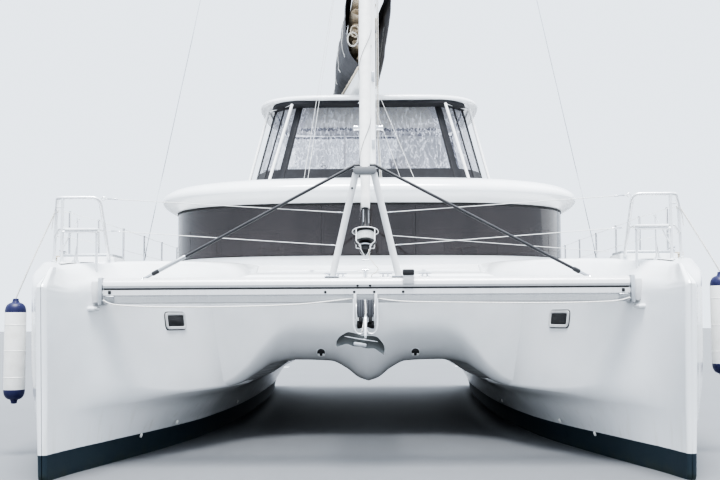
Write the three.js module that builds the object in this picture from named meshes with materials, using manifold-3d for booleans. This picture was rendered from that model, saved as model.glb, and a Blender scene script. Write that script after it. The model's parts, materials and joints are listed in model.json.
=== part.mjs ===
// A cruising sailing catamaran with a flying bridge, afloat.
// Millimetres. The bow points along -Y, the port side is +X, +Z is up.
// The origin lies on the waterline, on the centreline, halfway along the hulls.
import * as THREE from "three";
import { mergeVertices } from "three/addons/utils/BufferGeometryUtils.js";
import Module from "manifold-3d";

const wasm = await Module();
wasm.setup();

// Driving dimensions
const GAP = 0.3; // between two pieces that touch
const STERN = 6995;
const DECK = 2300; // side deck above the water
const PLATFORM_HALF = 1560; // the bridge deck between the hulls
const FOREDECK = 2150;
const SALOON_FLOOR = 1300;
const COCKPIT_FLOOR = 1350;
const ROOF_UNDER = 3200;
const ROOF_TOP = 3650;
const FLY_FLOOR = 3700;
const HARDTOP_UNDER = 5180;
const BEAM_Y = -5960; // forward crossbeam
const BEAM_TOP = 1970;
const BEAM_HALF = 2900; // before its ends are trimmed to the hulls
const MAST_Y = -500;
const MAST_TOP = 22400;
const MAST_HALF_WIDTH = 125;
const MAST_HALF_LENGTH = 170;
const HOUNDS = 18900;
const BOOM_Z = 5560; // boom's centre
const BOOM_ANGLE = 9; // degrees that the boom lies to starboard
const GOOSENECK_Y = -240;
const CHAINPLATE = [3800, 500];
const RUDDER_Y = 5900;
const DRIVE_Y = 4400;
const SHAFT_Z = -880;

const WHITE = { color: 0xf2f4f5, roughness: 0.25, metalness: 0 };
const GREY_CLOTH = { color: 0x3b3d42, roughness: 0.9, metalness: 0 };
const STEEL = { color: 0xd4d8dc, roughness: 0.2, metalness: 1 };
const ALLOY = { color: 0xe4e7ea, roughness: 0.35, metalness: 0.4 };
const TINTED = { color: 0x2b2d33, roughness: 0.05, metalness: 0, transparent: true, opacity: 0.6 };
const BLACK = { color: 0x17181a, roughness: 0.5, metalness: 0 };
const SAIL = { color: 0xf4f3ee, roughness: 0.85, metalness: 0 };
const NET = { color: 0xd9dcdc, roughness: 0.9, metalness: 0 };
const BRONZE = { color: 0x8d7a4f, roughness: 0.35, metalness: 1 };
const UPHOLSTERY = { color: 0xb9b4a8, roughness: 0.95, metalness: 0 };
const TEAK = { color: 0x9a7350, roughness: 0.7, metalness: 0 };

// Solids

function toSolid(geometry) {
  const loose = geometry.index ? geometry.toNonIndexed() : geometry;
  const bare = new THREE.BufferGeometry();
  bare.setAttribute("position", loose.getAttribute("position").clone());
  const merged = mergeVertices(bare, 1e-3);
  return new wasm.Manifold(new wasm.Mesh({
    numProp: 3,
    vertProperties: merged.attributes.position.array,
    triVerts: new Uint32Array(merged.index.array),
  }));
}

function toGeometry(solid) {
  const mesh = solid.getMesh();
  const geometry = new THREE.BufferGeometry();
  geometry.setAttribute("position", new THREE.BufferAttribute(mesh.vertProperties, 3));
  geometry.setIndex(new THREE.BufferAttribute(mesh.triVerts, 1));
  geometry.computeVertexNormals();
  return geometry;
}

const join = (...pieces) => toGeometry(pieces.map(toSolid).reduce((a, b) => a.add(b)));
const cut = (base, ...tools) =>
  toGeometry(tools.map(toSolid).reduce((a, b) => a.subtract(b), toSolid(base)));
const common = (a, b) => toGeometry(toSolid(a).intersect(toSolid(b)));

// What is left of a piece above the thing that carries it.
const seatedOn = (piece, support) => cut(piece, support.clone().translate(0, 0, GAP));

function otherSide(geometry) {
  const copy = geometry.clone().scale(-1, 1, 1);
  const index = Array.from(copy.index.array);
  for (let i = 0; i < index.length; i += 3) [index[i + 1], index[i + 2]] = [index[i + 2], index[i + 1]];
  copy.setIndex(index);
  return copy;
}

const block = ([x0, x1], [y0, y1], [z0, z1]) =>
  new THREE.BoxGeometry(x1 - x0, y1 - y0, z1 - z0)
    .translate((x0 + x1) / 2, (y0 + y1) / 2, (z0 + z1) / 2);

const outlineShape = (points) => new THREE.Shape(points.map(([a, b]) => new THREE.Vector2(a, b)));

const extruded = (points, depth) =>
  new THREE.ExtrudeGeometry(outlineShape(points), { depth, bevelEnabled: false });

// A plan outline of [x, y] points between two heights.
const slab = (points, z0, z1) => extruded(points, z1 - z0).translate(0, 0, z0);

// A side outline of [y, z] points between two x.
function sideProfile(points, x0, x1) {
  const turn = new THREE.Matrix4().makeBasis(
    new THREE.Vector3(0, 1, 0), new THREE.Vector3(0, 0, 1), new THREE.Vector3(1, 0, 0));
  return extruded(points, x1 - x0).applyMatrix4(turn).translate(x0, 0, 0);
}

// A front outline of [x, z] points between two y.
function frontProfile(points, y0, y1) {
  const turn = new THREE.Matrix4().makeBasis(
    new THREE.Vector3(1, 0, 0), new THREE.Vector3(0, 0, 1), new THREE.Vector3(0, -1, 0));
  return extruded(points, y1 - y0).applyMatrix4(turn).translate(0, y1, 0);
}

// A round bar between two points.
function rod(from, to, radius, sides = 8) {
  const a = new THREE.Vector3(...from);
  const b = new THREE.Vector3(...to);
  const along = b.clone().sub(a);
  const turn = new THREE.Quaternion().setFromUnitVectors(
    new THREE.Vector3(0, 1, 0), along.clone().normalize());
  const middle = a.clone().add(b).multiplyScalar(0.5);
  return new THREE.CylinderGeometry(radius, radius, along.length(), sides)
    .applyQuaternion(turn)
    .translate(middle.x, middle.y, middle.z);
}

// A tube through a route's points, mitred at each bend.
function bentTube(route, radius, sides = 8) {
  const points = route.map((p) => new THREE.Vector3(...p));
  const along = points.slice(1).map((p, i) => p.clone().sub(points[i]).normalize());
  const upright = Math.abs(along[0].z) > 0.9;
  const across = new THREE.Vector3(upright ? 1 : 0, 0, upright ? 0 : 1).cross(along[0]).normalize();
  const third = along[0].clone().cross(across);
  let offsets = Array.from({ length: sides }, (_, k) => {
    const t = (2 * Math.PI * k) / sides;
    return across.clone().multiplyScalar(radius * Math.cos(t)).addScaledVector(third, radius * Math.sin(t));
  });
  return skin(points.map((p, i) => {
    const before = along[Math.max(i - 1, 0)];
    const after = along[Math.min(i, along.length - 1)];
    const normal = before.clone().add(after);
    const mitred = offsets.map((o) => o.clone().addScaledVector(before, -o.dot(normal) / before.dot(normal)));
    offsets = mitred.map((o) => o.clone().addScaledVector(after, -o.dot(after)));
    return mitred.map((o) => p.clone().add(o).toArray());
  }));
}

// A closed skin over rings of equally many [x, y, z] points, each end closed to its middle.
function skin(rings) {
  const count = rings[0].length;
  const middle = (ring) => [0, 1, 2].map((axis) => ring.reduce((sum, p) => sum + p[axis], 0) / count);
  const positions = [...rings.flat(2), ...middle(rings[0]), ...middle(rings.at(-1))];
  const [firstMiddle, lastMiddle] = [rings.length * count, rings.length * count + 1];
  const lastRing = (rings.length - 1) * count;
  const index = [];
  for (let j = 0; j < count; j++) {
    const k = (j + 1) % count;
    for (let row = 0; row < lastRing; row += count) {
      index.push(row + j, row + k, row + count + k);
      index.push(row + j, row + count + k, row + count + j);
    }
    index.push(k, j, firstMiddle);
    index.push(lastRing + j, lastRing + k, lastMiddle);
  }
  const geometry = new THREE.BufferGeometry();
  geometry.setAttribute("position", new THREE.Float32BufferAttribute(positions, 3));
  geometry.setIndex(index);
  if (signedVolume(geometry) < 0) {
    for (let i = 0; i < index.length; i += 3) [index[i + 1], index[i + 2]] = [index[i + 2], index[i + 1]];
    geometry.setIndex(index);
  }
  return geometry;
}

function signedVolume(geometry) {
  const p = geometry.getAttribute("position");
  const at = (i) => new THREE.Vector3().fromBufferAttribute(p, geometry.index.getX(i));
  let total = 0;
  for (let i = 0; i < geometry.index.count; i += 3) total += at(i).dot(at(i + 1).cross(at(i + 2))) / 6;
  return total;
}

// A convex outline moved inwards by a distance.
function inset(points, distance) {
  const count = points.length;
  return points.map((p, i) => {
    const before = points[(i + count - 1) % count];
    const after = points[(i + 1) % count];
    const edge = (a, b) => new THREE.Vector2(b[0] - a[0], b[1] - a[1]).normalize();
    const [u, v] = [edge(before, p), edge(p, after)];
    const inward = new THREE.Vector2(-u.y - v.y, u.x + v.x);
    const scale = distance / (1 + u.dot(v));
    return [p[0] + inward.x * scale, p[1] + inward.y * scale];
  });
}

// Hull lines

// One row a station, from the stem to the transom, for the port hull:
// y, and x of the inner side under the deck edge (upper), at the chine (chine) and just above the
// water (foot), x of the outer side just above the water (outerFoot) and at its widest (outer),
// z of the canoe body's bottom (keel) and of the deck (deck), and the width (bevel) and depth
// (drop) of the bevel along the deck's inner edge.
const columns = ["y", "upper", "chine", "foot", "outerFoot", "outer", "keel", "deck", "bevel", "drop"];
const stations = [
  [-6860, 3035, 3035, 3040, 3120, 3125, -260, 2050, 20, 200],
  [-6650, 3005, 2995, 3000, 3165, 3220, -360, 2070, 70, 220],
  [-6400, 2960, 2930, 2950, 3220, 3330, -430, 2090, 120, 240],
  [-5900, 2820, 2720, 2820, 3320, 3500, -540, 2140, 170, 240],
  [-5300, 2570, 2400, 2670, 3440, 3690, -610, 2180, 180, 240],
  [-4700, 2290, 2080, 2520, 3550, 3850, -650, 2220, 180, 240],
  [-4100, 2010, 1820, 2380, 3630, 3940, -670, 2250, 180, 220],
  [-3500, 1780, 1660, 2260, 3680, 3970, -680, 2275, 180, 190],
  [-2960, 1600, 1562, 2180, 3710, 3980, -690, 2290, 180, 150],
  [-2600, PLATFORM_HALF, PLATFORM_HALF, 2140, 3720, 3980, -690, DECK, 150, 150],
  [-2000, PLATFORM_HALF, PLATFORM_HALF, 2080, 3730, 3980, -700, DECK, 10, 60],
  [-600, PLATFORM_HALF, PLATFORM_HALF, 1990, 3740, 3980, -700, DECK, 10, 60],
  [1000, PLATFORM_HALF, PLATFORM_HALF, 1960, 3740, 3980, -690, DECK, 10, 60],
  [3500, PLATFORM_HALF, PLATFORM_HALF, 1980, 3700, 3980, -560, DECK, 10, 60],
  [5300, PLATFORM_HALF, PLATFORM_HALF, 2060, 3640, 3960, -330, DECK, 10, 60],
  [6200, PLATFORM_HALF, PLATFORM_HALF, 2120, 3590, 3930, -180, DECK, 10, 60],
  [STERN, 1680, 1680, 2200, 3530, 3880, -60, DECK, 10, 60],
].map((row) => Object.fromEntries(row.map((value, i) => [columns[i], value])));

const CHINE_Z = 700;
const FOOT_Z = 220;
const OUTER_KNUCKLE_DROP = 120;
const STEM_RAKE = 135;

// A station's values anywhere along the hull, by straight lines between the rows.
function hullAt(y) {
  const next = stations.findIndex((s) => s.y >= y);
  if (next <= 0) return stations[0];
  const [a, b] = [stations[next - 1], stations[next]];
  const t = (y - a.y) / (b.y - a.y);
  return Object.fromEntries(columns.map((c) => [c, a[c] + (b[c] - a[c]) * t]));
}

const keelX = (s) => (s.foot + s.outerFoot) / 2;

function hullSection(s) {
  const middle = keelX(s);
  const between = (a, b, t) => a + (b - a) * t;
  const bow = THREE.MathUtils.clamp((-5300 - s.y) / 1560, 0, 1);
  const points = [
    [s.upper + s.bevel, s.deck],
    [s.upper, s.deck - s.drop],
    [between(s.upper, s.chine, 0.6), 1200],
    [s.chine, CHINE_Z],
    [between(s.chine, s.foot, 0.55), 560],
    [s.foot, FOOT_Z],
    [between(s.foot, middle, 0.05), -120],
    [between(s.foot, middle, 0.4), s.keel * 0.75],
    [middle, s.keel],
    [between(s.outerFoot, middle, 0.4), s.keel * 0.75],
    [between(s.outerFoot, middle, 0.05), -120],
    [s.outerFoot, FOOT_Z],
    [between(s.outerFoot, s.outer, 0.6), 560],
    [s.outer, 950],
    [s.outer, s.deck - OUTER_KNUCKLE_DROP],
    [s.outer - Math.min(90, s.bevel * 4), s.deck],
  ];
  // The stem rakes forward above the water, its forefoot curves aft, and its top slopes back.
  return points.map(([x, z], i) => {
    const rake = -STEM_RAKE * THREE.MathUtils.clamp(z / 1850, 0, 1);
    const forefoot = z < 0 ? -z * 1.1 : 0;
    const brow = i === 0 || i === points.length - 1 ? 300 : 0;
    return [x, s.y + bow * (rake + forefoot + brow), z];
  });
}

const hatch = { x: [2840, 3400], y: [-5340, -4820], top: 2235, lid: 35 };
const engineWell = { x: [2560, 3260], y: [3980, 4830], floor: 120 };
const steps = [ // treads of the transom stairs: y of the riser, height
  [5200, 1370],
  [5560, 1080],
  [5920, 770],
  [6280, 450],
];

function hull() {
  const body = skin(stations.map(hullSection));
  const keel = skin([
    [-600, 1500, 110, -1400],
    [-1350, 1250, 70, -900],
  ].map(([z, aft, half, fore]) => {
    const x = keelX(hullAt(0));
    const length = aft - fore;
    return [[0, 0], [0.12, 0.8], [0.35, 1], [0.75, 0.55], [1, 0.06], [1, -0.06], [0.75, -0.55], [0.35, -1], [0.12, -0.8]]
      .map(([t, w]) => [x + w * half, fore + t * length, z]);
  }));
  const rudderX = keelX(hullAt(RUDDER_Y));
  const rudderBoss = rod([rudderX, RUDDER_Y, -60], [rudderX, RUDDER_Y, -290], 75, 12);
  const coaming = block([hatch.x[0] - 40, hatch.x[1] + 40], [hatch.y[0] - 40, hatch.y[1] + 40],
    [2000, hatch.top]);
  const peakLocker = block([hatch.x[0] + 40, hatch.x[1] - 40], [hatch.y[0] + 40, hatch.y[1] - 40],
    [1500, hatch.top + 50]);
  const cockpitSide = block([PLATFORM_HALF - 100, 2480], [2700, 5300], [COCKPIT_FLOOR, DECK + 100]);
  const engineRoom = block(engineWell.x, engineWell.y, [engineWell.floor, DECK + 100]);
  const treads = steps.map(([y, z]) => block([1700, 3560], [y, STERN + 200], [z, DECK + 400]));
  const quarter = sideProfile(
    [[5150, DECK + 1], [5900, 1750], [STERN + 100, 1000], [STERN + 100, DECK + 400], [5150, DECK + 400]],
    1000, 4200);
  const driveX = keelX(hullAt(DRIVE_Y));
  const legHole = block([driveX - 60, driveX + 60], [DRIVE_Y - 160, DRIVE_Y + 160], [-900, 200]);
  return cut(join(body, keel, rudderBoss, coaming),
    peakLocker, cockpitSide, engineRoom, quarter, legHole, ...treads);
}

// The platform between the hulls: nacelle, foredeck, saloon floor and cockpit.

const BRIDGE_FORE = -3290;
const BRIDGE_AFT = 6200;
const lockers = { x: [170, 1330], y: [-2890, -2440], floor: 1250 };

// The concave corner between the front of the platform and the hull's inner side.
function shoulder() {
  const outline = [[950, -3290], [1200, -3320], [1430, -3410], [1620, -3580], [1790, -3850], [1960, -4200]];
  const levels = [[2060, 0], [1300, 0], [1030, 90], [860, 230], [790, 400]];
  const rings = levels.map(([z, back]) => [
    ...outline.map(([x, y], i) => [x + back * 0.6 * (i / 5), Math.min(y + back, BRIDGE_FORE + 80), z]),
    [2350, -4200, z], [2350, -3150, z], [950, -3150, z],
  ]);
  const side = hullGeometry.clone().translate(-GAP, 0, 0);
  return cut(common(skin(rings), block([900, 2400], [-4250, -3180], [0, 3000])), side);
}

function bridgedeck() {
  const side = PLATFORM_HALF - GAP;
  const deckLine = [
    [BRIDGE_FORE, 2060], [-3180, 2120], [-2950, FOREDECK], [-2380, FOREDECK], [-1975, DECK],
    [-1800, DECK], [-1800, SALOON_FLOOR], [2600, SALOON_FLOOR],
    [2600, COCKPIT_FLOOR], [5450, COCKPIT_FLOOR], [5450, 1800], [6020, 1800], [6020, 2180],
    [BRIDGE_AFT, 2180], [BRIDGE_AFT, 300], [BRIDGE_FORE, 300],
  ];
  const decks = sideProfile(deckLine, -side, side);
  // Each row: y, and the height of the underside at the nacelle's keel, its flank, the two
  // arches, the shoulder and the chine.
  const undersides = [
    [-3300, 1400, 1410, 1440, 1500, 1500, 1400, 1300],
    [-3250, 1180, 1190, 1230, 1320, 1330, 1220, 1100],
    [-3180, 1020, 1040, 1110, 1190, 1200, 1090, 960],
    [-3000, 800, 850, 950, 1040, 1050, 950, 820],
    [-2750, 700, 760, 875, 968, 985, 860, 705],
    [1500, 780, 820, 900, 970, 985, 860, 705],
    [BRIDGE_AFT + 10, 1000, 1000, 1000, 1000, 1000, 900, 705],
  ];
  const across = [0, 140, 300, 500, 1000, 1290, side];
  const lower = skin(undersides.map(([y, ...heights]) => {
    const half = across.map((x, i) => [x, y, heights[i]]);
    const mirrored = half.slice(1).reverse().map(([x, , z]) => [-x, y, z]);
    return [...mirrored, ...half, [side, y, 3000], [-side, y, 3000]];
  }));
  const wells = [1, -1].map((sign) =>
    block(lockers.x.map((x) => x * sign).sort((a, b) => a - b), lockers.y, [lockers.floor, FOREDECK + 50]));
  const corner = shoulder();
  return cut(join(common(decks, lower), corner, otherSide(corner)), ...wells);
}

// Cabin

const CABIN = { halfWidth: 3080, nose: 2200, centreY: 300, power: 2.8, aft: 2600 };
const SILL = 2460;
const WINDOW_TOP = 3130;

// The rounded front of the cabin in plan, port to starboard, moved outwards by an offset.
function cabinFront(offset, parts = 20) {
  return Array.from({ length: parts + 1 }, (_, i) => {
    const t = (Math.PI * i) / parts;
    const round = (v) => Math.sign(v) * Math.abs(v) ** (2 / CABIN.power);
    return [
      (CABIN.halfWidth + offset) * round(Math.cos(t)),
      CABIN.centreY - (CABIN.nose + offset) * round(Math.sin(t)),
    ];
  });
}

const cabinOutline = (offset, aft = CABIN.aft) =>
  [[CABIN.halfWidth + offset, aft], ...cabinFront(offset), [-CABIN.halfWidth - offset, aft]];

const cabinBand = (outer, inner, z0, z1, aft) =>
  slab([...cabinOutline(outer, aft), ...cabinOutline(inner, aft).reverse()], z0, z1);

function cabinWall() {
  const wall = cabinBand(-16, -90, DECK + GAP, ROOF_UNDER - GAP, CABIN.aft - GAP);
  const centre = block([-660, 660], [-2400, -1500], [SILL, WINDOW_TOP]);
  const corners = [1, -1].map((s) =>
    slab([[740, -2500], [3500, -2500], [3500, -560], [2500, -560], [740, -1300]]
      .map(([x, y]) => [x * s, y]), SILL, WINDOW_TOP));
  const sides = [1, -1].map((s) =>
    block([Math.min(2700 * s, 3500 * s), Math.max(2700 * s, 3500 * s)], [-440, 2330], [SILL, WINDOW_TOP]));
  return cut(wall, centre, ...corners, ...sides);
}

function glass() {
  const pane = cabinBand(0, -15.4, SILL - 15, ROOF_UNDER - 30, 2420);
  const front = common(pane, block([-4000, 4000], [-3000, -503], [0, 5000]));
  const port = common(pane, block([1000, 4000], [-497, 3000], [0, 5000]));
  return { front, port };
}

const door = { x: [-1140, 140], slide: 1180, top: 3130 };

function aftBulkhead() {
  const inner = PLATFORM_HALF - 1;
  const outer = CABIN.halfWidth - 90;
  const shell = frontProfile([
    [-inner, COCKPIT_FLOOR + GAP], [inner, COCKPIT_FLOOR + GAP], [inner, DECK + GAP], [outer, DECK + GAP],
    [outer, ROOF_UNDER - GAP], [-outer, ROOF_UNDER - GAP], [-outer, DECK + GAP], [-inner, DECK + GAP],
  ], CABIN.aft, CABIN.aft + 60);
  const doorway = block([door.x[0] + 40, door.x[1] - 40], [2500, 2700], [COCKPIT_FLOOR - 50, door.top - 50]);
  const window = block([220, 1380], [2500, 2700], [1500, door.top - 50]);
  const sideWindows = [1, -1].map((s) =>
    block([Math.min(1700 * s, 2800 * s), Math.max(1700 * s, 2800 * s)], [2500, 2700], [SILL, WINDOW_TOP]));
  const track = block([door.x[0] - 60, door.x[1] + door.slide + 60], [CABIN.aft + 50, CABIN.aft + 110],
    [door.top + GAP, ROOF_UNDER - GAP]);
  return join(cut(shell, doorway, window, ...sideWindows), track);
}

function saloonDoor() {
  const panel = block(door.x, [CABIN.aft + 60 + GAP, CABIN.aft + 100], [COCKPIT_FLOOR + GAP, door.top]);
  const handle = bentTube([[-1060, 2690, 2150], [-1060, 2740, 2150], [-1060, 2740, 2450], [-1060, 2690, 2450]], 12);
  return join(panel, handle);
}

// Roof: front as the cabin, straight sides and a rounded after end.

function roofOutline(offset) {
  const tail = { centreY: 4300, length: 1400, power: 4.5 };
  const aft = Array.from({ length: 9 }, (_, i) => {
    const t = (Math.PI * i) / 8;
    const round = (v) => Math.sign(v) * Math.abs(v) ** (2 / tail.power);
    return [
      -(CABIN.halfWidth + offset) * round(Math.cos(t)),
      tail.centreY + (tail.length + offset) * round(Math.sin(t)),
    ];
  });
  return [...cabinFront(offset), ...aft];
}

const roofEdge = [ // offset from the glass, height
  [30, ROOF_UNDER], [170, 3280], [230, 3360], [190, 3450], [20, 3555], [-350, 3615], [-900, ROOF_TOP],
];
const stairwell = { x: [-2470, -1900], y: [3150, 4350] };

function roof() {
  const shell = skin(roofEdge.map(([offset, z]) => roofOutline(offset).map(([x, y]) => [x, y, z])));
  return cut(shell, block(stairwell.x, stairwell.y, [3000, 4000]));
}

function roofPillar() {
  return sideProfile([[4940, DECK + GAP], [5180, DECK + GAP], [5130, ROOF_UNDER - GAP], [4900, ROOF_UNDER - GAP]],
    2530, 2610);
}

// Inside the saloon, seen through the glass

function saloonSeating() {
  const z = SALOON_FLOOR + GAP;
  const plinth = block([200, 1540], [-1700, 900], [z, z + 80]);
  const seats = [
    block([250, 1540], [-1700, -1150], [z + 60, z + 450]),
    block([1000, 1540], [-1200, 900], [z + 60, z + 450]),
    block([1400, 1540], [-1700, 900], [z + 400, z + 850]),
  ];
  const leg = block([430, 570], [-500, -100], [z + 60, z + 650]);
  const top = block([150, 900], [-900, 450], [z + 640, z + 690]);
  return join(plinth, ...seats, leg, top);
}

function galley() {
  const z = SALOON_FLOOR + GAP;
  const counter = block([-1540, -940], [-1300, 1500], [z, z + 900]);
  const return_ = block([-1540, -300], [-1700, -1150], [z, z + 900]);
  const fridge = block([-1540, -940], [1450, 2100], [z, z + 1400]);
  return join(counter, return_, fridge);
}

function cockpitTable() {
  const z = COCKPIT_FLOOR + GAP;
  return join(
    block([-150, 150], [4100, 4500], [z, z + 30]),
    rod([0, 4300, z + 10], [0, 4300, z + 680], 60, 12),
    block([-800, 800], [3900, 4700], [z + 670, z + 720]));
}

function flyStairs() {
  const [x0, x1] = stairwell.x;
  const treads = Array.from({ length: 6 }, (_, i) =>
    block([x0 + 10, x1 - 10], [3320 + i * 190, 3590 + i * 190], [3230 - i * 300 - 25, 3230 - i * 300]));
  const stringer = sideProfile(
    [[3300, 3260], [3480, 3260], [4660, COCKPIT_FLOOR + GAP], [4460, COCKPIT_FLOOR + GAP]], x1 - 60, x1 - 12);
  return join(stringer, ...treads);
}

// Flying bridge

const FLY = { halfWidth: 2050, fore: 180, aft: 4250 };

function flyOutline(margin) {
  const w = FLY.halfWidth - margin;
  const [f, a] = [FLY.fore + margin, FLY.aft - margin];
  return [
    [w, a], [-w, a], [-w, 960 + margin], [-1830 + margin * 0.8, 470 + margin * 0.9], [-1480 + margin * 0.5, f],
    [1480 - margin * 0.5, f], [1830 - margin * 0.8, 470 + margin * 0.9], [w, 960 + margin],
  ];
}

function flybridge() {
  const z = FLY_FLOOR;
  const base = slab(flyOutline(0), ROOF_TOP + GAP, z);
  const coaming = cut(slab(flyOutline(200), z - 10, z + 250), slab(flyOutline(280), z - 20, z + 300));
  const gate = block([-2200, -1700], [3200, 4020], [z, z + 400]);
  const stairs = block(stairwell.x, stairwell.y, [ROOF_TOP - 10, z + 400]);
  const helmBench = block([350, 1450], [2150, 2650], [z - 10, z + 480]);
  const helmBack = block([350, 1450], [2600, 2700], [z + 400, z + 850]);
  const sofa = [
    block([-1860, -1250], [1000, 3000], [z - 10, z + 420]),
    block([-1500, 1500], [3400, 3900], [z - 10, z + 420]),
    block([-1500, 1500], [3860, 3960], [z + 300, z + 700]),
  ];
  return join(cut(join(base, coaming), gate, stairs), helmBench, helmBack, ...sofa);
}

function helmConsole() {
  const z = FLY_FLOOR + GAP;
  return sideProfile(
    [[950, z], [1400, z], [1400, z + 620], [1330, z + 860], [1050, z + 1020], [980, z + 980]], 480, 1320);
}

const wheel = { centre: [900, 1400, FLY_FLOOR + 430], radius: 330 };

function helmWheel() {
  const [x, y, z] = wheel.centre;
  const rim = new THREE.TorusGeometry(wheel.radius, 16, 6, 28).rotateX(Math.PI / 2).translate(x, y + 110, z);
  const spokes = Array.from({ length: 5 }, (_, i) => {
    const t = (2 * Math.PI * i) / 5;
    return rod([x, y + 110, z], [x + wheel.radius * Math.sin(t), y + 110, z + wheel.radius * Math.cos(t)], 9, 6);
  });
  const hub = rod([x, y + 125, z], [x, y + GAP, z], 45, 12);
  return join(rim, hub, ...spokes);
}

function hardtop() {
  const edge = [[-90, HARDTOP_UNDER], [0, 5225], [0, 5275], [-100, 5325], [-500, 5350]];
  const centreY = 2250;
  const ring = (offset, z) => Array.from({ length: 24 }, (_, i) => {
    const t = (2 * Math.PI * i) / 24;
    const round = (v) => Math.sign(v) * Math.abs(v) ** (2 / 4);
    return [(1950 + offset) * round(Math.cos(t)), centreY + (1760 + offset) * round(Math.sin(t)), z];
  });
  return skin(edge.map(([offset, z]) => ring(offset, z)));
}

const posts = [ // foot x, y and head x, y of each hardtop post
  [1690, 90, 1300, 610],
  [2110, 760, 1760, 1210],
  [2110, 3350, 1770, 3480],
];

function hardtopFrame() {
  const top = HARDTOP_UNDER - 15;
  const bars = posts.map(([x0, y0, x1, y1]) => rod([x0, y0, ROOF_TOP - 40], [x1, y1, top], 26));
  const rail = bentTube(posts.map(([, , x, y]) => [x, y, top]), 26);
  const above = block([0, 3000], [0, 5000], [HARDTOP_UNDER - GAP, HARDTOP_UNDER + 100]);
  return cut(join(rail, ...bars), above);
}

// Clear curtains with cloth borders round the flying bridge.
const curtain = {
  foot: [[2000, 4200], [-2000, 4200], [-2000, 920], [-1810, 500], [-1460, 240], [1460, 240], [1810, 500], [2000, 920]],
  head: [[1640, 3880], [-1640, 3880], [-1640, 1180], [-1450, 900], [-1150, 745], [1150, 745], [1450, 900], [1640, 1180]],
  thickness: 24,
};

function enclosure() {
  const z0 = FLY_FLOOR + GAP;
  const z1 = HARDTOP_UNDER - GAP;
  const ring = (points, z) => points.map(([x, y]) => [x, y, z]);
  const outside = skin([ring(curtain.foot, z0), ring(curtain.head, z1)]);
  const hollow = (grow) => [
    ring(inset(curtain.foot, curtain.thickness), z0 - grow),
    ring(inset(curtain.head, curtain.thickness), z1 + grow),
  ];
  const doorway = block([-2100, -1500], [3200, 4000], [z0 - 10, 4950]);
  return cut(outside, skin(hollow(1)), doorway);
}

// Bow gear

function crossbeam() {
  const depth = 110;
  const tube = sideProfile([
    [-depth, 1865], [-depth, 1905], [-85, 1945], [-40, BEAM_TOP], [40, BEAM_TOP], [85, 1945], [depth, 1905], [depth, 1865],
  ].map(([y, z]) => [BEAM_Y + y, z]), -BEAM_HALF, BEAM_HALF);
  const rail = sideProfile([[-60, 1700], [-100, 1770], [-100, 1850], [-90, 1870], [90, 1870], [100, 1850], [100, 1770], [60, 1700]]
    .map(([y, z]) => [BEAM_Y + y, z]), -BEAM_HALF, BEAM_HALF);
  const ends = [block([2745, BEAM_HALF], [BEAM_Y - 125, BEAM_Y + 125], [1680, BEAM_TOP + 5]),
    block([-BEAM_HALF, -2745], [BEAM_Y - 125, BEAM_Y + 125], [1680, BEAM_TOP + 5])];
  const tackPlate = block([-12, 12], [BEAM_Y - 70, BEAM_Y + 70], [BEAM_TOP - 20, 2060]);
  const link = rod(onForestay(2010), onForestay(2040 + (DRUM_FOOT - 1) * stayRise), 12, 6);
  const side = hullGeometry.clone().translate(-GAP, 0, 0);
  return cut(join(tube, rail, ...ends, tackPlate, link), side, otherSide(side));
}

const STRIKER_TOP = 3080;

function strikerFrame() {
  const legs = [1, -1].map((s) =>
    rod([350 * s, BEAM_Y, BEAM_TOP - 40], [95 * s, BEAM_Y, STRIKER_TOP - 20], 37));
  const head = frontProfile([[-115, 3045], [115, 3045], [125, 3085], [95, 3120], [-95, 3120], [-125, 3085]],
    BEAM_Y - 60, BEAM_Y + 60);
  return cut(join(...legs, head), crossbeam().translate(0, 0, GAP));
}

function strikerStay() {
  const over = STRIKER_TOP + 65;
  const route = [[-2380, BEAM_Y, BEAM_TOP - 40], [-110, BEAM_Y, over], [110, BEAM_Y, over], [2380, BEAM_Y, BEAM_TOP - 40]];
  return cut(bentTube(route, 16), crossbeam().translate(0, 0, GAP), strikerFrame().translate(0, 0, GAP));
}

// The beam from the forward crossbeam aft to the bridge deck, with the anchor roller at its end.
function bowSpine() {
  const beam = block([-110, 110], [BEAM_Y - 60, BRIDGE_FORE - GAP], [1580, 1700 - GAP]);
  const cheek = (x) => sideProfile([
    [-6130, 1690], [-6140, 1520], [-6090, 1400], [-5990, 1370], [-5900, 1420], [-5860, 1600], [-5860, 1690],
  ], x, x + 10);
  const roller = (y, z) => rod([-90, y, z], [90, y, z], 38, 10);
  return join(beam, cheek(-100), cheek(90), roller(-6040, 1470), roller(-5930, 1620));
}

function anchor() {
  const shank = sideProfile([
    [-6290, 1330], [-6225, 1330], [-6130, 1512], [-5960, 1545], [-5560, 1580], [-5560, 1640], [-6010, 1572], [-6180, 1560],
  ], -14, 14);
  // half of the fluke: across, fore and aft, and height over its middle
  const fluke = [
    [0, -6265, 75], [70, -6280, 88], [135, -6300, 92], [200, -6310, 45], [245, -6300, 0],
    [246, -6270, -80], [140, -6230, -30], [60, -6225, -42], [0, -6225, -36],
  ];
  const half = (s) => skin([0, 16].map((lift) => fluke.map(([x, y, z]) => [s * x, y + lift, z])));
  const blade = join(half(1), half(-1)).rotateY(THREE.MathUtils.degToRad(9.5)).translate(-46, 0, 1285);
  return cut(join(shank, blade), bowSpine().translate(0, 0, -GAP), bowSpine().translate(0, 0, GAP));
}

function trampoline() {
  const outer = [-5300, -4100, -3500].map((y) => [hullAt(y).upper - 45, y]);
  const net = slab([[110 + GAP, BEAM_Y + 110 + GAP], [2700, BEAM_Y + 110 + GAP], ...outer, [1500, BRIDGE_FORE - GAP], [110 + GAP, BRIDGE_FORE - GAP]],
    1862, 1874);
  return cut(net, bridgeGeometry.clone().translate(0, -GAP, 0));
}

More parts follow.
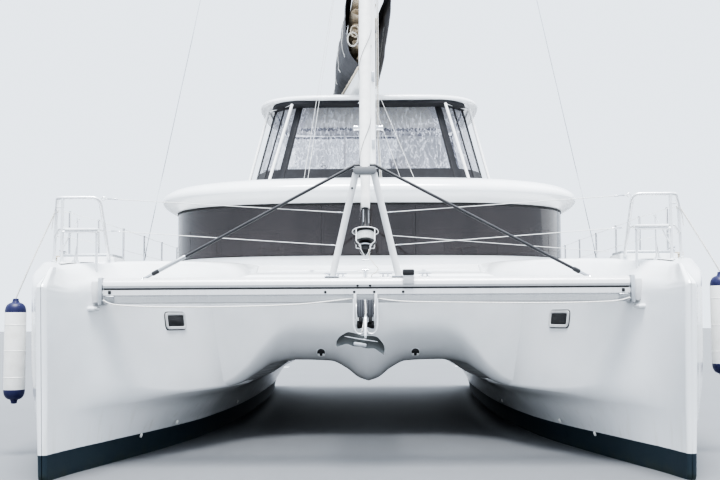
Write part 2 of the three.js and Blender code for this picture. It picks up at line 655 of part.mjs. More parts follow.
// The pulpit stands on the bow above the crossbeam: its rail runs across the deck and aft along
// the outer edge, and its inner leg leans aft.
const pulpitRail = { y: -5900, top: 2830, middle: 2500, inner: 2820, outer: 3270, aft: [3580, -4920] };

function pulpit() {
  const { y, top, middle, inner, outer, aft: [aftX, aftY] } = pulpitRail;
  const innerLeg = (z) => {
    const t = (top - z) / (top - 2180);
    return [inner + 30 * t, y + 560 * t, z];
  };
  const topRail = bentTube([innerLeg(2140), innerLeg(top), [outer, y, top], [aftX, aftY, top], [aftX + 20, aftY, 2150]], 16, 6);
  const midRail = bentTube([innerLeg(middle), [outer - 30, y, middle], [aftX + 10, aftY, middle]], 14, 6);
  const frontPost = rod([outer - 55, y, 2080], [outer - 55, y, top], 16, 6);
  const seatPost = rod([inner + 60, y + 130, 1850], [inner + 60, y + 130, middle], 14, 6);
  const seat = block([inner, outer - 60], [y - 40, y + 210], [middle - 22, middle]);
  return seatedOn(join(topRail, midRail, frontPost, seatPost, seat), hullGeometry);
}

function guardrail() {
  const places = [-3600, -2150, -700, 750, 2200, 3650, 5100];
  const foot = places.map((y) => {
    const s = hullAt(y);
    return [s.outer - 150, y, s.deck];
  });
  const stanchions = foot.map(([x, y, z]) => rod([x, y, z - 40], [x, y, z + 650], 13, 6));
  const [x, y] = pulpitRail.aft;
  const wires = [[320, pulpitRail.middle], [640, pulpitRail.top - 25]].map(([up, z]) =>
    bentTube([[x + 5, y, z], ...foot.map(([fx, fy, fz]) => [fx, fy, fz + up])], 5, 5));
  return cut(seatedOn(join(...stanchions, ...wires), hullGeometry), pulpitGeometry.clone().translate(0, GAP, 0));
}

// Rig

const mastSection = (wide, long) => Array.from({ length: 12 }, (_, i) => {
  const t = (2 * Math.PI * i) / 12;
  return [wide * Math.cos(t), MAST_Y + long * Math.sin(t)];
});

function mast() {
  const tube = slab(mastSection(MAST_HALF_WIDTH, MAST_HALF_LENGTH), ROOF_TOP + GAP, MAST_TOP);
  const step = block([-150, 150], [MAST_Y - 200, MAST_Y + 200], [ROOF_TOP + GAP, ROOF_TOP + 60]);
  const hounds = block([-145, 145], [MAST_Y - 190, MAST_Y + 60], [HOUNDS - 60, HOUNDS + 60]);
  const bracket = [BOOM_Z + 110, BOOM_Z - 160].map((z) =>
    block([-40, 40], [MAST_Y + 100, GOOSENECK_Y + 35], [z, z + 30]));
  return join(tube, step, hounds, ...bracket);
}

function spreader() {
  const bar = rod([60, MAST_Y + 5, 12200], [1080, MAST_Y + 340, 12260], 24, 6);
  return cut(bar, mastGeometry.clone().translate(GAP, 0, 0), mastGeometry);
}

const staySlope = (HOUNDS - 2040) / (MAST_Y - 170 - BEAM_Y);
const stayRise = staySlope / Math.hypot(1, staySlope);
const DRUM_FOOT = 175; // along the stay from its tack
const onForestay = (z) => [0, BEAM_Y + (z - 2040) / staySlope, z];

// A body turned about the forestay: radius and height above its tack.
function aboutStay(profile, sides) {
  const dir = new THREE.Vector3(0, 1, staySlope).normalize();
  const turn = new THREE.Quaternion().setFromUnitVectors(new THREE.Vector3(0, 1, 0), dir);
  const [x, y, z] = onForestay(2040);
  return new THREE.LatheGeometry(profile.map(([r, h]) => new THREE.Vector2(r, h)), sides)
    .applyQuaternion(turn)
    .translate(x, y, z);
}

const furler = () => aboutStay([
  [0, DRUM_FOOT], [52, DRUM_FOOT], [66, 200], [66, 290], [40, 310], [40, 330], [112, 335], [112, 350], [70, 360], [70, 440],
  [112, 450], [112, 465], [38, 475], [30, 520], [24, 700], [0, 700],
], 14);

const furledJib = () => aboutStay([
  [0, 700 + GAP], [34, 700 + GAP], [48, 900], [62, 1400], [72, 3000], [66, 9000], [46, 14000], [26, 16900], [0, 16900],
], 10);

const shroud = () => cut(
  rod([CHAINPLATE[0] + 30, CHAINPLATE[1], DECK - 60], [138, MAST_Y + 20, HOUNDS], 9, 6),
  block([2000, 5000], [-1000, 2000], [0, DECK + GAP]),
  block([-145 - GAP, 145 + GAP], [MAST_Y - 190, MAST_Y + 100], [HOUNDS - 100, HOUNDS + 100]));

const BOOM_END = 5750;
const BOOM_PIN_Y = GOOSENECK_Y + 150;

// A swivel on an upright pin, with a cross drum that the boom's cheeks straddle.
function gooseneck() {
  const y = BOOM_PIN_Y;
  return join(
    rod([0, GOOSENECK_Y, BOOM_Z - 130 + GAP], [0, GOOSENECK_Y, BOOM_Z + 110 - GAP], 22, 10),
    block([-22, 22], [GOOSENECK_Y, y], [BOOM_Z - 30, BOOM_Z + 30]),
    rod([-38, y, BOOM_Z], [38, y, BOOM_Z], 36, 12));
}

function boom() {
  const start = BOOM_PIN_Y + 60;
  const spar = frontProfile([
    [-70, -140], [70, -140], [105, -90], [105, 90], [70, 140], [-70, 140], [-105, 90], [-105, -90],
  ].map(([x, z]) => [x, BOOM_Z + z]), start, BOOM_END);
  const cheeks = [38 + GAP, -52 - GAP].map((x) =>
    block([x, x + 14], [BOOM_PIN_Y - 36, start + 20], [BOOM_Z - 36, BOOM_Z + 36]));
  return join(spar, ...cheeks);
}

// The open lazy bag with the lowered sail in it.
function sailBag() {
  const z0 = BOOM_Z + 140 + GAP;
  // the port side flares more than the starboard side
  const section = (y, port, half, height) => [
    [-88, 0], [88, 0], [port * 0.85, 0.25], [port, 0.55], [port * 0.8, 1], [port * 0.5, 0.84],
    [-half * 0.5, 0.84], [-half * 0.8, 1], [-half, 0.55], [-half * 0.85, 0.25],
  ].map(([x, up]) => [x, y, z0 + up * height]);
  return skin([
    section(120, 470, 350, 1350), section(1300, 390, 320, 860), section(2500, 260, 240, 460),
    section(3500, 160, 160, 260), section(5600, 130, 130, 190),
  ]);
}

// Turned with the boom about the mast's after face.
const swung = (geometry) => geometry
  .translate(0, -GOOSENECK_Y, 0)
  .rotateZ(THREE.MathUtils.degToRad(BOOM_ANGLE))
  .translate(0, GOOSENECK_Y, 0);

// Under water

function rudder() {
  const x = keelX(hullAt(RUDDER_Y));
  const blade = skin([[-300, 5660, 530, 34], [-1150, 5760, 340, 20]].map(([z, fore, chord, half]) =>
    [[0, 0], [0.2, 1], [0.6, 0.7], [1, 0.1], [1, -0.1], [0.6, -0.7], [0.2, -1]]
      .map(([t, w]) => [x + w * half, fore + t * chord, z])));
  const stock = rod([x, RUDDER_Y, -320], [x, RUDDER_Y, -290 - GAP], 30, 12);
  return join(blade, stock);
}

function drive() {
  const x = keelX(hullAt(DRIVE_Y));
  const floor = engineWell.floor + GAP;
  const engine = block([x - 225, x + 225], [DRIVE_Y - 380, DRIVE_Y + 380], [floor, floor + 700]);
  const leg = block([x - 50, x + 50], [DRIVE_Y - 140, DRIVE_Y + 130], [SHAFT_Z, floor + 10]);
  const gearcase = rod([x, DRIVE_Y - 200, SHAFT_Z], [x, DRIVE_Y + 230, SHAFT_Z], 62, 12);
  return join(engine, leg, gearcase);
}

function propeller() {
  const x = keelX(hullAt(DRIVE_Y));
  const y = DRIVE_Y + 230 + GAP;
  const hub = rod([x, y, SHAFT_Z], [x, y + 110, SHAFT_Z], 48, 12);
  const blades = [0, 1, 2].map((i) => {
    const blade = new THREE.BoxGeometry(120, 12, 190)
      .translate(0, 0, 135)
      .rotateZ(0.5)
      .rotateY((2 * Math.PI * i) / 3)
      .translate(x, y + 55, SHAFT_Z);
    return blade;
  });
  return join(hub, ...blades);
}

// Lids

const engineLid = () => block([engineWell.x[0] - 40, engineWell.x[1] + 40],
  [engineWell.y[0] - 40, engineWell.y[1] + 40], [DECK + GAP, DECK + 40]);
const lockerLid = () => block([lockers.x[0] - 40, lockers.x[1] + 40],
  [lockers.y[0] - 40, lockers.y[1] + 40], [FOREDECK + GAP, FOREDECK + 35]);
const bowHatch = () => block([hatch.x[0] - 20, hatch.x[1] + 20], [hatch.y[0] - 20, hatch.y[1] + 20],
  [hatch.top + GAP, hatch.top + hatch.lid]);

// A fender against the hull's side, on a line from the pulpit's after leg.
const FENDER_X = 4035;

function fender(top) {
  const [legX, y] = pulpitRail.aft;
  const body = new THREE.LatheGeometry([
    [0, 0], [30, 0], [65, -60], [120, -130], [120, -1070], [60, -1150], [30, -1200], [0, -1200],
  ].reverse().map(([r, h]) => new THREE.Vector2(r, h)), 12).rotateX(Math.PI / 2).translate(FENDER_X, y, top);
  const line = rod([FENDER_X, y, top - 5], [legX, y, pulpitRail.top - 30], 7, 5);
  return cut(join(body, line), pulpitGeometry.clone().translate(GAP, 0, 0), pulpitGeometry);
}

// Assembly

const boat = new THREE.Group();

function add(name, geometry, finish, mirrored = false) {
  const mesh = new THREE.Mesh(geometry, new THREE.MeshStandardMaterial(finish));
  mesh.name = name;
  if (mirrored) mesh.scale.x = -1;
  boat.add(mesh);
}

// Like pieces on both sides: the starboard one is the port one mirrored.
function addPair(name, geometry, finish) {
  add(`${name}_port`, geometry, finish);
  add(`${name}_stbd`, geometry, finish, true);
}

const hullGeometry = hull();
const bridgeGeometry = bridgedeck();
const pulpitGeometry = pulpit();
const mastGeometry = mast();
const panes = glass();

addPair("hull", hullGeometry, WHITE);
add("bridgedeck", bridgeGeometry, WHITE);
add("crossbeam", crossbeam(), ALLOY);
add("striker_frame", strikerFrame(), ALLOY);
add("striker_stay", strikerStay(), BLACK);
add("bow_spine", bowSpine(), ALLOY);
add("anchor", anchor(), STEEL);
addPair("trampoline", trampoline(), NET);
add("cabin_wall", cabinWall(), WHITE);
add("glass_front", panes.front, TINTED);
addPair("glass", panes.port, TINTED);
add("aft_bulkhead", aftBulkhead(), WHITE);
add("saloon_door", saloonDoor(), TINTED);
add("roof", roof(), WHITE);
addPair("roof_pillar", roofPillar(), WHITE);
add("saloon_seating", saloonSeating(), UPHOLSTERY);
add("galley", galley(), TEAK);
add("cockpit_table", cockpitTable(), TEAK);
add("fly_stairs", flyStairs(), WHITE);
add("flybridge", flybridge(), WHITE);
add("helm_console", helmConsole(), WHITE);
add("helm_wheel", helmWheel(), STEEL);
add("hardtop", hardtop(), WHITE);
addPair("hardtop_frame", seatedOn(hardtopFrame(), roof()), WHITE);
add("enclosure", enclosure(), GREY_CLOTH);
add("mast", mastGeometry, ALLOY);
addPair("spreader", spreader(), ALLOY);
add("gooseneck", swung(gooseneck()), STEEL);
add("boom", swung(boom()), ALLOY);
add("sail_bag", swung(sailBag()), GREY_CLOTH);
add("furler", furler(), BLACK);
add("furled_jib", furledJib(), SAIL);
addPair("shroud", shroud(), STEEL);
addPair("pulpit", pulpitGeometry, STEEL);
addPair("guardrail", guardrail(), STEEL);
addPair("rudder", rudder(), WHITE);
addPair("drive", drive(), ALLOY);
addPair("propeller", propeller(), BRONZE);
addPair("engine_lid", engineLid(), WHITE);
addPair("locker_lid", lockerLid(), WHITE);
addPair("bow_hatch", bowHatch(), WHITE);
add("fender_port", fender(2045), SAIL);
add("fender_stbd", fender(1785), SAIL, true);

export default boat;
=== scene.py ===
# Sailing catamaran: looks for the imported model.
# Metres. The bows point along -Y, port is +X, up is +Z, and the water is at Z 0.
import json
import math

import bmesh
import bpy
import numpy as np
from mathutils import Matrix, Vector, noise


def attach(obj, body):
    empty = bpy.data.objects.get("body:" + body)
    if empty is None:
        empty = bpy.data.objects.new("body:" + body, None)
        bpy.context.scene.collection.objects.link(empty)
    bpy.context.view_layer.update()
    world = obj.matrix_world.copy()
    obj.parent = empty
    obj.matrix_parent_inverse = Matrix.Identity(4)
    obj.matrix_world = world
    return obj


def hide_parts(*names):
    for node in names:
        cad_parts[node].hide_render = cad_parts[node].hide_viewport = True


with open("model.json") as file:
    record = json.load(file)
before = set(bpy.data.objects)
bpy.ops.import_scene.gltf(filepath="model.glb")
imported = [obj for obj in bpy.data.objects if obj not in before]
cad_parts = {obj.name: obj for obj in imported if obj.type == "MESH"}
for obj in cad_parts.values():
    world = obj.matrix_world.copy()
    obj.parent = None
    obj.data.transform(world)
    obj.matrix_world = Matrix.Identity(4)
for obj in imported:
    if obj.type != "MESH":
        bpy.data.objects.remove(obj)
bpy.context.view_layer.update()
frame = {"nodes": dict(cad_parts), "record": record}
print("frame loaded:", len(frame["nodes"]), "nodes")


# Shapes

def between(a, b, t):
    return a + (b - a) * t


def clamp(value, low=0.0, high=1.0):
    return max(low, min(high, value))


def ease(t):
    t = clamp(t)
    return t * t * (3 - 2 * t)


# a curve through the rows of a table that never overshoots them
def faired(xs, ys, at):
    xs, ys = np.asarray(xs, float), np.asarray(ys, float)
    h = np.diff(xs)
    d = np.diff(ys) / h
    m = np.concatenate([[d[0]], np.zeros(len(xs) - 2), [d[-1]]])
    for i in range(1, len(xs) - 1):
        if d[i - 1] * d[i] > 0:
            w1, w2 = 2 * h[i] + h[i - 1], h[i] + 2 * h[i - 1]
            m[i] = (w1 + w2) / (w1 / d[i - 1] + w2 / d[i])
    at = clamp(at, xs[0], xs[-1])
    i = int(np.clip(np.searchsorted(xs, at, side="right") - 1, 0, len(xs) - 2))
    t = (at - xs[i]) / h[i]
    low = (1 + 2 * t) * (1 - t) ** 2 * ys[i] + t * (1 - t) ** 2 * h[i] * m[i]
    return float(low + t * t * (3 - 2 * t) * ys[i + 1] + t * t * (t - 1) * h[i] * m[i + 1])


# each corner becomes a short curve that starts and ends the soft distance away from it
def softened(points, soft, steps=4, closed=True):
    out = []
    points = [Vector(p) for p in points]
    for i, p in enumerate(points):
        if not closed and i in (0, len(points) - 1):
            out.append(p)
            continue
        before, after = points[i - 1], points[(i + 1) % len(points)]
        reach = soft[i] if hasattr(soft, "__len__") else soft
        a = p + (before - p).normalized() * min(reach, (before - p).length * 0.48)
        b = p + (after - p).normalized() * min(reach, (after - p).length * 0.48)
        out += [a.lerp(p, t).lerp(p.lerp(b, t), t) for t in np.linspace(0, 1, steps + 1)]
    return out


# a smooth curve through points
def throughPoints(points, steps=8, closed=False):
    p = [Vector(q) for q in points]
    count = len(p)
    out = []
    for i in range(count if closed else count - 1):
        a, b, c, d = (p[k % count] if closed else p[min(max(k, 0), count - 1)]
            for k in range(i - 1, i + 3))
        for t in np.linspace(0, 1, steps, endpoint=False):
            out.append(0.5 * (2 * b + (c - a) * t + (2 * a - 5 * b + 4 * c - d) * t * t
                + (3 * b - 3 * c + d - a) * t ** 3))
    return out if closed else out + [p[-1]]


# one column of a table, faired at a place along its first column
def fromRows(rows, column, at):
    return faired([row[0] for row in rows], [row[column] for row in rows], at)


def roundTurn(count):
    return np.linspace(0, 2 * math.pi, count, endpoint=False)


def lengthOf(path):
    return sum((Vector(b) - Vector(a)).length for a, b in zip(path, path[1:]))


# the same number of evenly spaced points along a line
def spaced(points, count):
    p = np.array([tuple(q) for q in points])
    run = np.concatenate([[0], np.cumsum(np.linalg.norm(np.diff(p, axis=0), axis=1))])
    at = np.linspace(0, run[-1], count)
    return [Vector([np.interp(a, run, p[:, k]) for k in range(p.shape[1])]) for a in at]


def inset(points, distance):
    out = []
    area = sum(a[0] * b[1] - b[0] * a[1] for a, b in zip(points, points[1:] + points[:1]))
    side = 1 if area > 0 else -1
    for i, p in enumerate(points):
        a, b = Vector(points[i - 1][:2]), Vector(points[(i + 1) % len(points)][:2])
        p = Vector(p[:2])
        u, v = (p - a).normalized(), (b - p).normalized()
        inward = Vector((-u.y - v.y, u.x + v.x)) * side
        out.append(tuple(p + inward * distance / max(0.3, 1 + u.dot(v))))
    return out


def roundedBox(x0, x1, y0, y1, radius, steps=4):
    return [tuple(p) for p in softened([(x0, y0), (x1, y0), (x1, y1), (x0, y1)], radius, steps)]


def superOval(halfX, halfY, power, count, centre=(0, 0)):
    out = []
    for i in range(count):
        t = 2 * math.pi * i / count
        c, s = math.cos(t), math.sin(t)
        out.append((centre[0] + halfX * math.copysign(abs(c) ** (2 / power), c),
            centre[1] + halfY * math.copysign(abs(s) ** (2 / power), s)))
    return out


# collects faces, with flat coordinates in metres and a finish number for each
class Shape:
    def __init__(self):
        self.points, self.faces, self.flat, self.finish = [], [], [], []

    def skin(self, rows, closed=True, caps=True, finish=0):
        grid = np.array([[tuple(p) for p in row] for row in rows], float)
        count, start = grid.shape[1], len(self.points)
        self.points += [tuple(p) for p in grid.reshape(-1, 3)]
        ring = np.concatenate([grid, grid[:, :1]], axis=1)
        steps = np.linalg.norm(np.diff(ring, axis=1), axis=2)
        u = np.concatenate([np.zeros((len(rows), 1)), np.cumsum(steps, axis=1)], axis=1)
        v = np.concatenate([[0], np.cumsum(np.linalg.norm(np.diff(grid, axis=0), axis=2).mean(axis=1))])
        for i in range(len(rows) - 1):
            low, high = start + i * count, start + (i + 1) * count
            for j in range(count if closed else count - 1):
                k = (j + 1) % count
                self.faces.append((low + j, low + k, high + k, high + j))
                self.flat.append(((u[i][j], v[i]), (u[i][j + 1], v[i]), (u[i + 1][j + 1], v[i + 1]),
                    (u[i + 1][j], v[i + 1])))
                self.finish.append(finish)
        if closed and caps:
            for row in (0, len(rows) - 1):
                ids = [start + row * count + j for j in range(count)]
                self.faces.append(tuple(reversed(ids) if row == 0 else ids))
                self.flat.append(tuple((self.points[i][0], self.points[i][1]) for i in self.faces[-1]))
                self.finish.append(finish)
        return self

    def tube(self, route, radius, sides=10, closed=False, caps=True, finish=0):
        p = [Vector(q) for q in route]
        count = len(p)
        radii = radius if hasattr(radius, "__len__") else [radius] * count
        ways = [(p[(i + 1) % count] - p[i]).normalized() for i in range(count if closed else count - 1)]
        across = ways[0].orthogonal().normalized()
        rows = []
        for i in range(count):
            if closed:
                before, after = ways[i - 1], ways[i]
            else:
                before, after = ways[max(i - 1, 0)], ways[min(i, count - 2)]
            middle = (before + after).normalized()
            across = (across - across.dot(middle) * middle).normalized()
            other = middle.cross(across)
            stretch = 1 / max(0.5, middle.dot(before))
            rows.append([p[i] + (across * math.cos(t) + other * math.sin(t)) * radii[i] * stretch
                for t in roundTurn(sides)])
        if closed:
            rows.append(rows[0])
        return self.skin(rows, True, caps and not closed, finish)

    # a tube along straight runs with soft bends between them
    def bent(self, route, soft, steps, radius, sides=10, finish=0):
        return self.tube(softened(route, soft, steps, False), radius, sides, finish=finish)

    # a body turned about a line: pairs of radius and distance along it
    def turned(self, profile, start, way, sides=20, finish=0):
        start, way = Vector(start), Vector(way).normalized()
        across = way.orthogonal().normalized()
        other = way.cross(across)
        rows = [[start + way * h + (across * math.cos(t) + other * math.sin(t)) * max(r, 1e-4)
            for t in roundTurn(sides)] for r, h in profile]
        return self.skin(rows, True, True, finish)

    # a plate with an outline in plan and rounded edges, placed by a matrix
    def plate(self, outline, z0, z1, edge=0.004, steps=2, place=None, finish=0):
        outline = [tuple(p)[:2] for p in outline]
        rows = []
        for side, z in ((1, z0), (-1, z1)):
            part = []
            for t in np.linspace(0, math.pi / 2, steps + 1):
                ring = inset(outline, edge * (1 - math.sin(t)))
                part.append([(x, y, z + side * edge * (1 - math.cos(t))) for x, y in ring])
            rows += part if side == 1 else part[::-1]
        if place is not None:
            rows = [[place @ Vector(p) for p in row] for row in rows]
        return self.skin(rows, True, True, finish)

    # a plate with a rounded box for its outline: X from and to, Y from and to, radius
    def slab(self, box, *rest, **more):
        return self.plate(roundedBox(*box), *rest, **more)

    def block(self, low, high, edge=0.006, finish=0, place=None):
        radius = min(edge, (high[0] - low[0]) * 0.45, (high[1] - low[1]) * 0.45)
        outline = roundedBox(low[0], high[0], low[1], high[1], radius, 2)
        return self.plate(outline, low[2], high[2], min(edge, (high[2] - low[2]) * 0.45), 2, place,
            finish)

    def add(self, other, place=None, finish=None):
        start = len(self.points)
        self.points += [tuple(place @ Vector(p)) if place is not None else p for p in other.points]
        self.faces += [tuple(i + start for i in f) for f in other.faces]
        self.flat += other.flat
        self.finish += other.finish if finish is None else [finish] * len(other.finish)
        return self

    def mirrored(self):
        out = Shape()
        out.points = [(-x, y, z) for x, y, z in self.points]
        out.faces = [tuple(reversed(f)) for f in self.faces]
        out.flat = [tuple(reversed(f)) for f in self.flat]
        out.finish = list(self.finish)
        return out

    def area(self):
        total = 0.0
        for face in self.faces:
            p, q, r, s = (Vector(self.points[k]) for k in face)
            total += (r - p).cross(s - q).length / 2
        return total

    def mesh(self, name, finishes=()):
        mesh = bpy.data.meshes.new(name)
        mesh.from_pydata(self.points, [], self.faces)
        layer = mesh.uv_layers.new(name="flat")
        layer.data.foreach_set("uv", np.array([c for f in self.flat for c in f], np.float32).ravel())
        for finish in finishes:
            mesh.materials.append(finish)
        mesh.polygons.foreach_set("material_index", self.finish)
        bm = bmesh.new()
        bm.from_mesh(mesh)
        bmesh.ops.remove_doubles(bm, verts=bm.verts, dist=1e-5)
        bmesh.ops.recalc_face_normals(bm, faces=bm.faces)
        bm.to_mesh(mesh)
        bm.free()
        return mesh


def onSide(shape, side):
    return shape if side == "port" else shape.mirrored()


# a frame whose X runs one way and whose Z faces another, at a point
def facing(point, along, out):
    z = Vector(out).normalized()
    x = (Vector(along) - Vector(along).dot(z) * z).normalized()
    y = z.cross(x)
    return Matrix(((x.x, y.x, z.x, point[0]), (x.y, y.y, z.y, point[1]), (x.z, y.z, z.z, point[2]),
        (0, 0, 0, 1)))


def carved(mesh, cutters):
    scene = bpy.context.scene.collection
    work = bpy.data.objects.new("work", mesh)
    scene.objects.link(work)
    tools = []
    for i, cutter in enumerate(cutters):
        tool = bpy.data.objects.new(f"cutter{i}", cutter.mesh(f"cutter{i}"))
        scene.objects.link(tool)
        modifier = work.modifiers.new(f"cut{i}", "BOOLEAN")
        modifier.operation, modifier.solver, modifier.object = "DIFFERENCE", "EXACT", tool
        tools.append(tool)
    result = bpy.data.meshes.new_from_object(work.evaluated_get(bpy.context.evaluated_depsgraph_get()))
    for obj in [work, *tools]:
        bpy.data.objects.remove(obj)
    return result


def piece(name, source, finishes, body="boat", replaces=(), sharp=32):
    finishes = finishes if isinstance(finishes, (list, tuple)) else [finishes]
    mesh = source.mesh(name, finishes) if isinstance(source, Shape) else source
    mesh.name = name
    mesh.shade_smooth()
    mesh.set_sharp_from_angle(angle=math.radians(sharp))
    obj = bpy.data.objects.new(name, mesh)
    bpy.context.scene.collection.objects.link(obj)
    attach(obj, body)
    if replaces:
        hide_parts(*replaces)
    return obj


# the same piece on both sides: "{}" in a name stands for port or stbd
def pair(name, source, finishes, body="boat", replaces=(), sharp=32):
    for side in ("port", "stbd"):
        piece(name.format(side), onSide(source, side), finishes, body.format(side),
            [n.format(side) for n in replaces], sharp)


# Finishes

class Wire:
    def __init__(self, finish, socket):
        self.finish, self.socket = finish, socket

    def maths(self, operation, *values):
        return self.finish.node("ShaderNodeMath", {"operation": operation}, dict(enumerate(values)))

    def __add__(self, other):
        return self.maths("ADD", self, other)

    def __radd__(self, other):
        return self.maths("ADD", other, self)

    def __sub__(self, other):
        return self.maths("SUBTRACT", self, other)

    def __rsub__(self, other):
        return self.maths("SUBTRACT", other, self)

    def __mul__(self, other):
        return self.maths("MULTIPLY", self, other)

    def __rmul__(self, other):
        return self.maths("MULTIPLY", other, self)

    def __truediv__(self, other):
        return self.maths("DIVIDE", self, other)

    def __rtruediv__(self, other):
        return self.maths("DIVIDE", other, self)

    def __pow__(self, other):
        return self.maths("POWER", self, other)

    def __gt__(self, other):
        return self.maths("GREATER_THAN", self, other)

    def __lt__(self, other):
        return self.maths("LESS_THAN", self, other)

    def wave(self):
        return self.maths("SINE", self)

    def size(self):
        return self.maths("ABSOLUTE", self)

    def part(self):
        return self.maths("FRACT", self)

    def most(self, other):
        return self.maths("MAXIMUM", self, other)

    def least(self, other):
        return self.maths("MINIMUM", self, other)

    # 0 below a, 1 above b, smooth between
    def step(self, a, b):
        return self.finish.node("ShaderNodeMapRange", {"interpolation_type": "SMOOTHSTEP"},
            {0: self, 1: a, 2: b, 3: 0.0, 4: 1.0})


class Finish:
    def __init__(self, name):
        self.material = bpy.data.materials.new(name)
        self.material.use_nodes = True
        self.tree = self.material.node_tree
        self.tree.nodes.clear()
        self.output = self.tree.nodes.new("ShaderNodeOutputMaterial")

    def node(self, kind, settings=None, values=None, out=0):
        made = self.tree.nodes.new(kind)
        for key, value in (settings or {}).items():
            if key == "stops":
                ramp = made.color_ramp
                while len(ramp.elements) < len(value):
                    ramp.elements.new(0.5)
                for element, (at, colour) in zip(ramp.elements, value):
                    element.position, element.color = at, (*colour, 1.0)
            else:
                setattr(made, key, value)
        for key, value in (values or {}).items():
            if isinstance(value, Wire):
                self.tree.links.new(value.socket, made.inputs[key])
            elif hasattr(value, "__len__") and len(value) == 3 and made.inputs[key].type == "RGBA":
                made.inputs[key].default_value = (*value, 1.0)
            else:
                made.inputs[key].default_value = value
        return Wire(self, made.outputs[out])

    def place(self):
        return self.node("ShaderNodeTexCoord", out="Object")

    def flat(self):
        return self.node("ShaderNodeTexCoord", out="UV")

    def axes(self, vector):
        split = self.node("ShaderNodeSeparateXYZ", None, {0: vector})
        return [Wire(self, split.socket.node.outputs[i]) for i in range(3)]

    def vector(self, x, y, z):
        return self.node("ShaderNodeCombineXYZ", None, {0: x, 1: y, 2: z})

    def scaled(self, vector, scale):
        return self.node("ShaderNodeVectorMath", {"operation": "MULTIPLY"}, {0: vector, 1: scale})

    def noise(self, vector, scale, detail=3.0, roughness=0.5):
        return self.node("ShaderNodeTexNoise", None,
            {"Vector": vector, "Scale": scale, "Detail": detail, "Roughness": roughness})

    def blend(self, factor, a, b):
        return self.node("ShaderNodeMix", {"data_type": "RGBA"}, {0: factor, 6: a, 7: b}, 2)

    def ramp(self, value, stops):
        return self.node("ShaderNodeValToRGB", {"stops": stops}, {0: value})

    def bump(self, height, strength=0.3, distance=0.002, under=None):
        values = {"Strength": strength, "Distance": distance, "Height": height}
        if under is not None:
            values["Normal"] = under
        return self.node("ShaderNodeBump", None, values)

    def shade(self, **sockets):
        names = {k: k[0].upper() + "".join(" " + c if c.isupper() else c for c in k[1:]) for k in sockets}
        names = {k: v.replace("Ior", "IOR") for k, v in names.items()}
        skin = self.node("ShaderNodeBsdfPrincipled", None, {names[k]: v for k, v in sockets.items()})
        self.tree.links.new(skin.socket, self.output.inputs["Surface"])
        return self.material


# fine scratches and smears that vary a surface's roughness
def wear(f, where, base, spread, scale=3.0):
    broad = f.noise(where, scale, 4, 0.6)
    fine = f.noise(f.scaled(where, (40, 40, 9)), 3, 3, 0.6)
    return base + (broad - 0.5) * spread + (fine - 0.5) * spread * 0.6


gelcoatLook = {"white": (0.8, 0.81, 0.82), "shade": (0.72, 0.74, 0.75),
    "bottomPaint": (0.009, 0.022, 0.033), "slime": (0.022, 0.034, 0.027), "paintTop": 0.25}


def gelcoat():
    look = gelcoatLook
    f = Finish("white gelcoat")
    where = f.place()
    z = f.axes(where)[2]
    cloudy = f.noise(where, 0.7, 4, 0.55)
    streaks = f.noise(f.scaled(where, (7, 7, 0.5)), 1.4, 4, 0.6)
    nearWater = 1 - z.step(look["paintTop"], look["paintTop"] + 0.5)
    stain = nearWater * streaks.step(0.5, 0.78) * 0.3
    clean = f.blend(cloudy.step(0.35, 0.7), look["white"], look["shade"])
    topsides = f.blend(stain, clean, (0.5, 0.47, 0.36))
    growth = f.noise(where, 5, 5, 0.7)
    waterEdge = (1 - z.step(0.0, 0.15)) * growth.step(0.35, 0.65)
    bottom = f.blend(waterEdge * 0.7, look["bottomPaint"], look["slime"])
    edge = z + (f.noise(where, 9, 2) - 0.5) * 0.006
    painted = 1 - edge.step(look["paintTop"] - 0.004, look["paintTop"] + 0.004)
    peel = f.noise(where, 55, 2, 0.5)
    ripple = f.noise(where, 1.6, 2, 0.4)
    height = peel * 0.25 + ripple * 0.5 + growth * painted * 2.0
    roughness = wear(f, where, 0.2, 0.12) + painted * 0.42
    return f.shade(baseColor=f.blend(painted, topsides, bottom), roughness=roughness,
        normal=f.bump(height, 0.1, 0.004), coatRoughness=0.08, coatWeight=(1 - painted) * 0.35)


# moulded grip for walking: small raised diamonds
def deckGrip():
    f = Finish("deck grip")
    where = f.place()
    x, y = f.axes(where)[:2]
    a, b = (x + y) * 420.0, (x - y) * 420.0
    diamond = (a.wave() * b.wave()).step(-0.2, 0.5)
    dirt = f.noise(where, 6, 5, 0.65)
    colour = f.blend(diamond * 0.5 + dirt.step(0.45, 0.8) * 0.4, (0.7, 0.71, 0.71), (0.6, 0.61, 0.61))
    return f.shade(baseColor=colour, roughness=wear(f, where, 0.62, 0.15),
        normal=f.bump(diamond, 0.35, 0.0012))


# panes: dark and glossy, seen through a little
def pane(name, colour, alpha, roughness=0.03):
    f = Finish(name)
    where = f.place()
    film = f.noise(f.scaled(where, (1.5, 1.5, 0.6)), 1.3, 4, 0.6)
    salt = f.noise(where, 25, 3, 0.6).step(0.6, 0.8)
    ripple = f.noise(where, 2.2, 2, 0.4)
    return f.shade(baseColor=f.blend(film.step(0.3, 0.75), colour, tuple(c * 1.6 for c in colour)),
        roughness=roughness + salt * 0.04 + film * 0.03, alpha=clamp(alpha) + film * 0.04,
        normal=f.bump(ripple, 0.05, 0.01), coatWeight=0.4, coatRoughness=0.02, specularIorLevel=0.55)


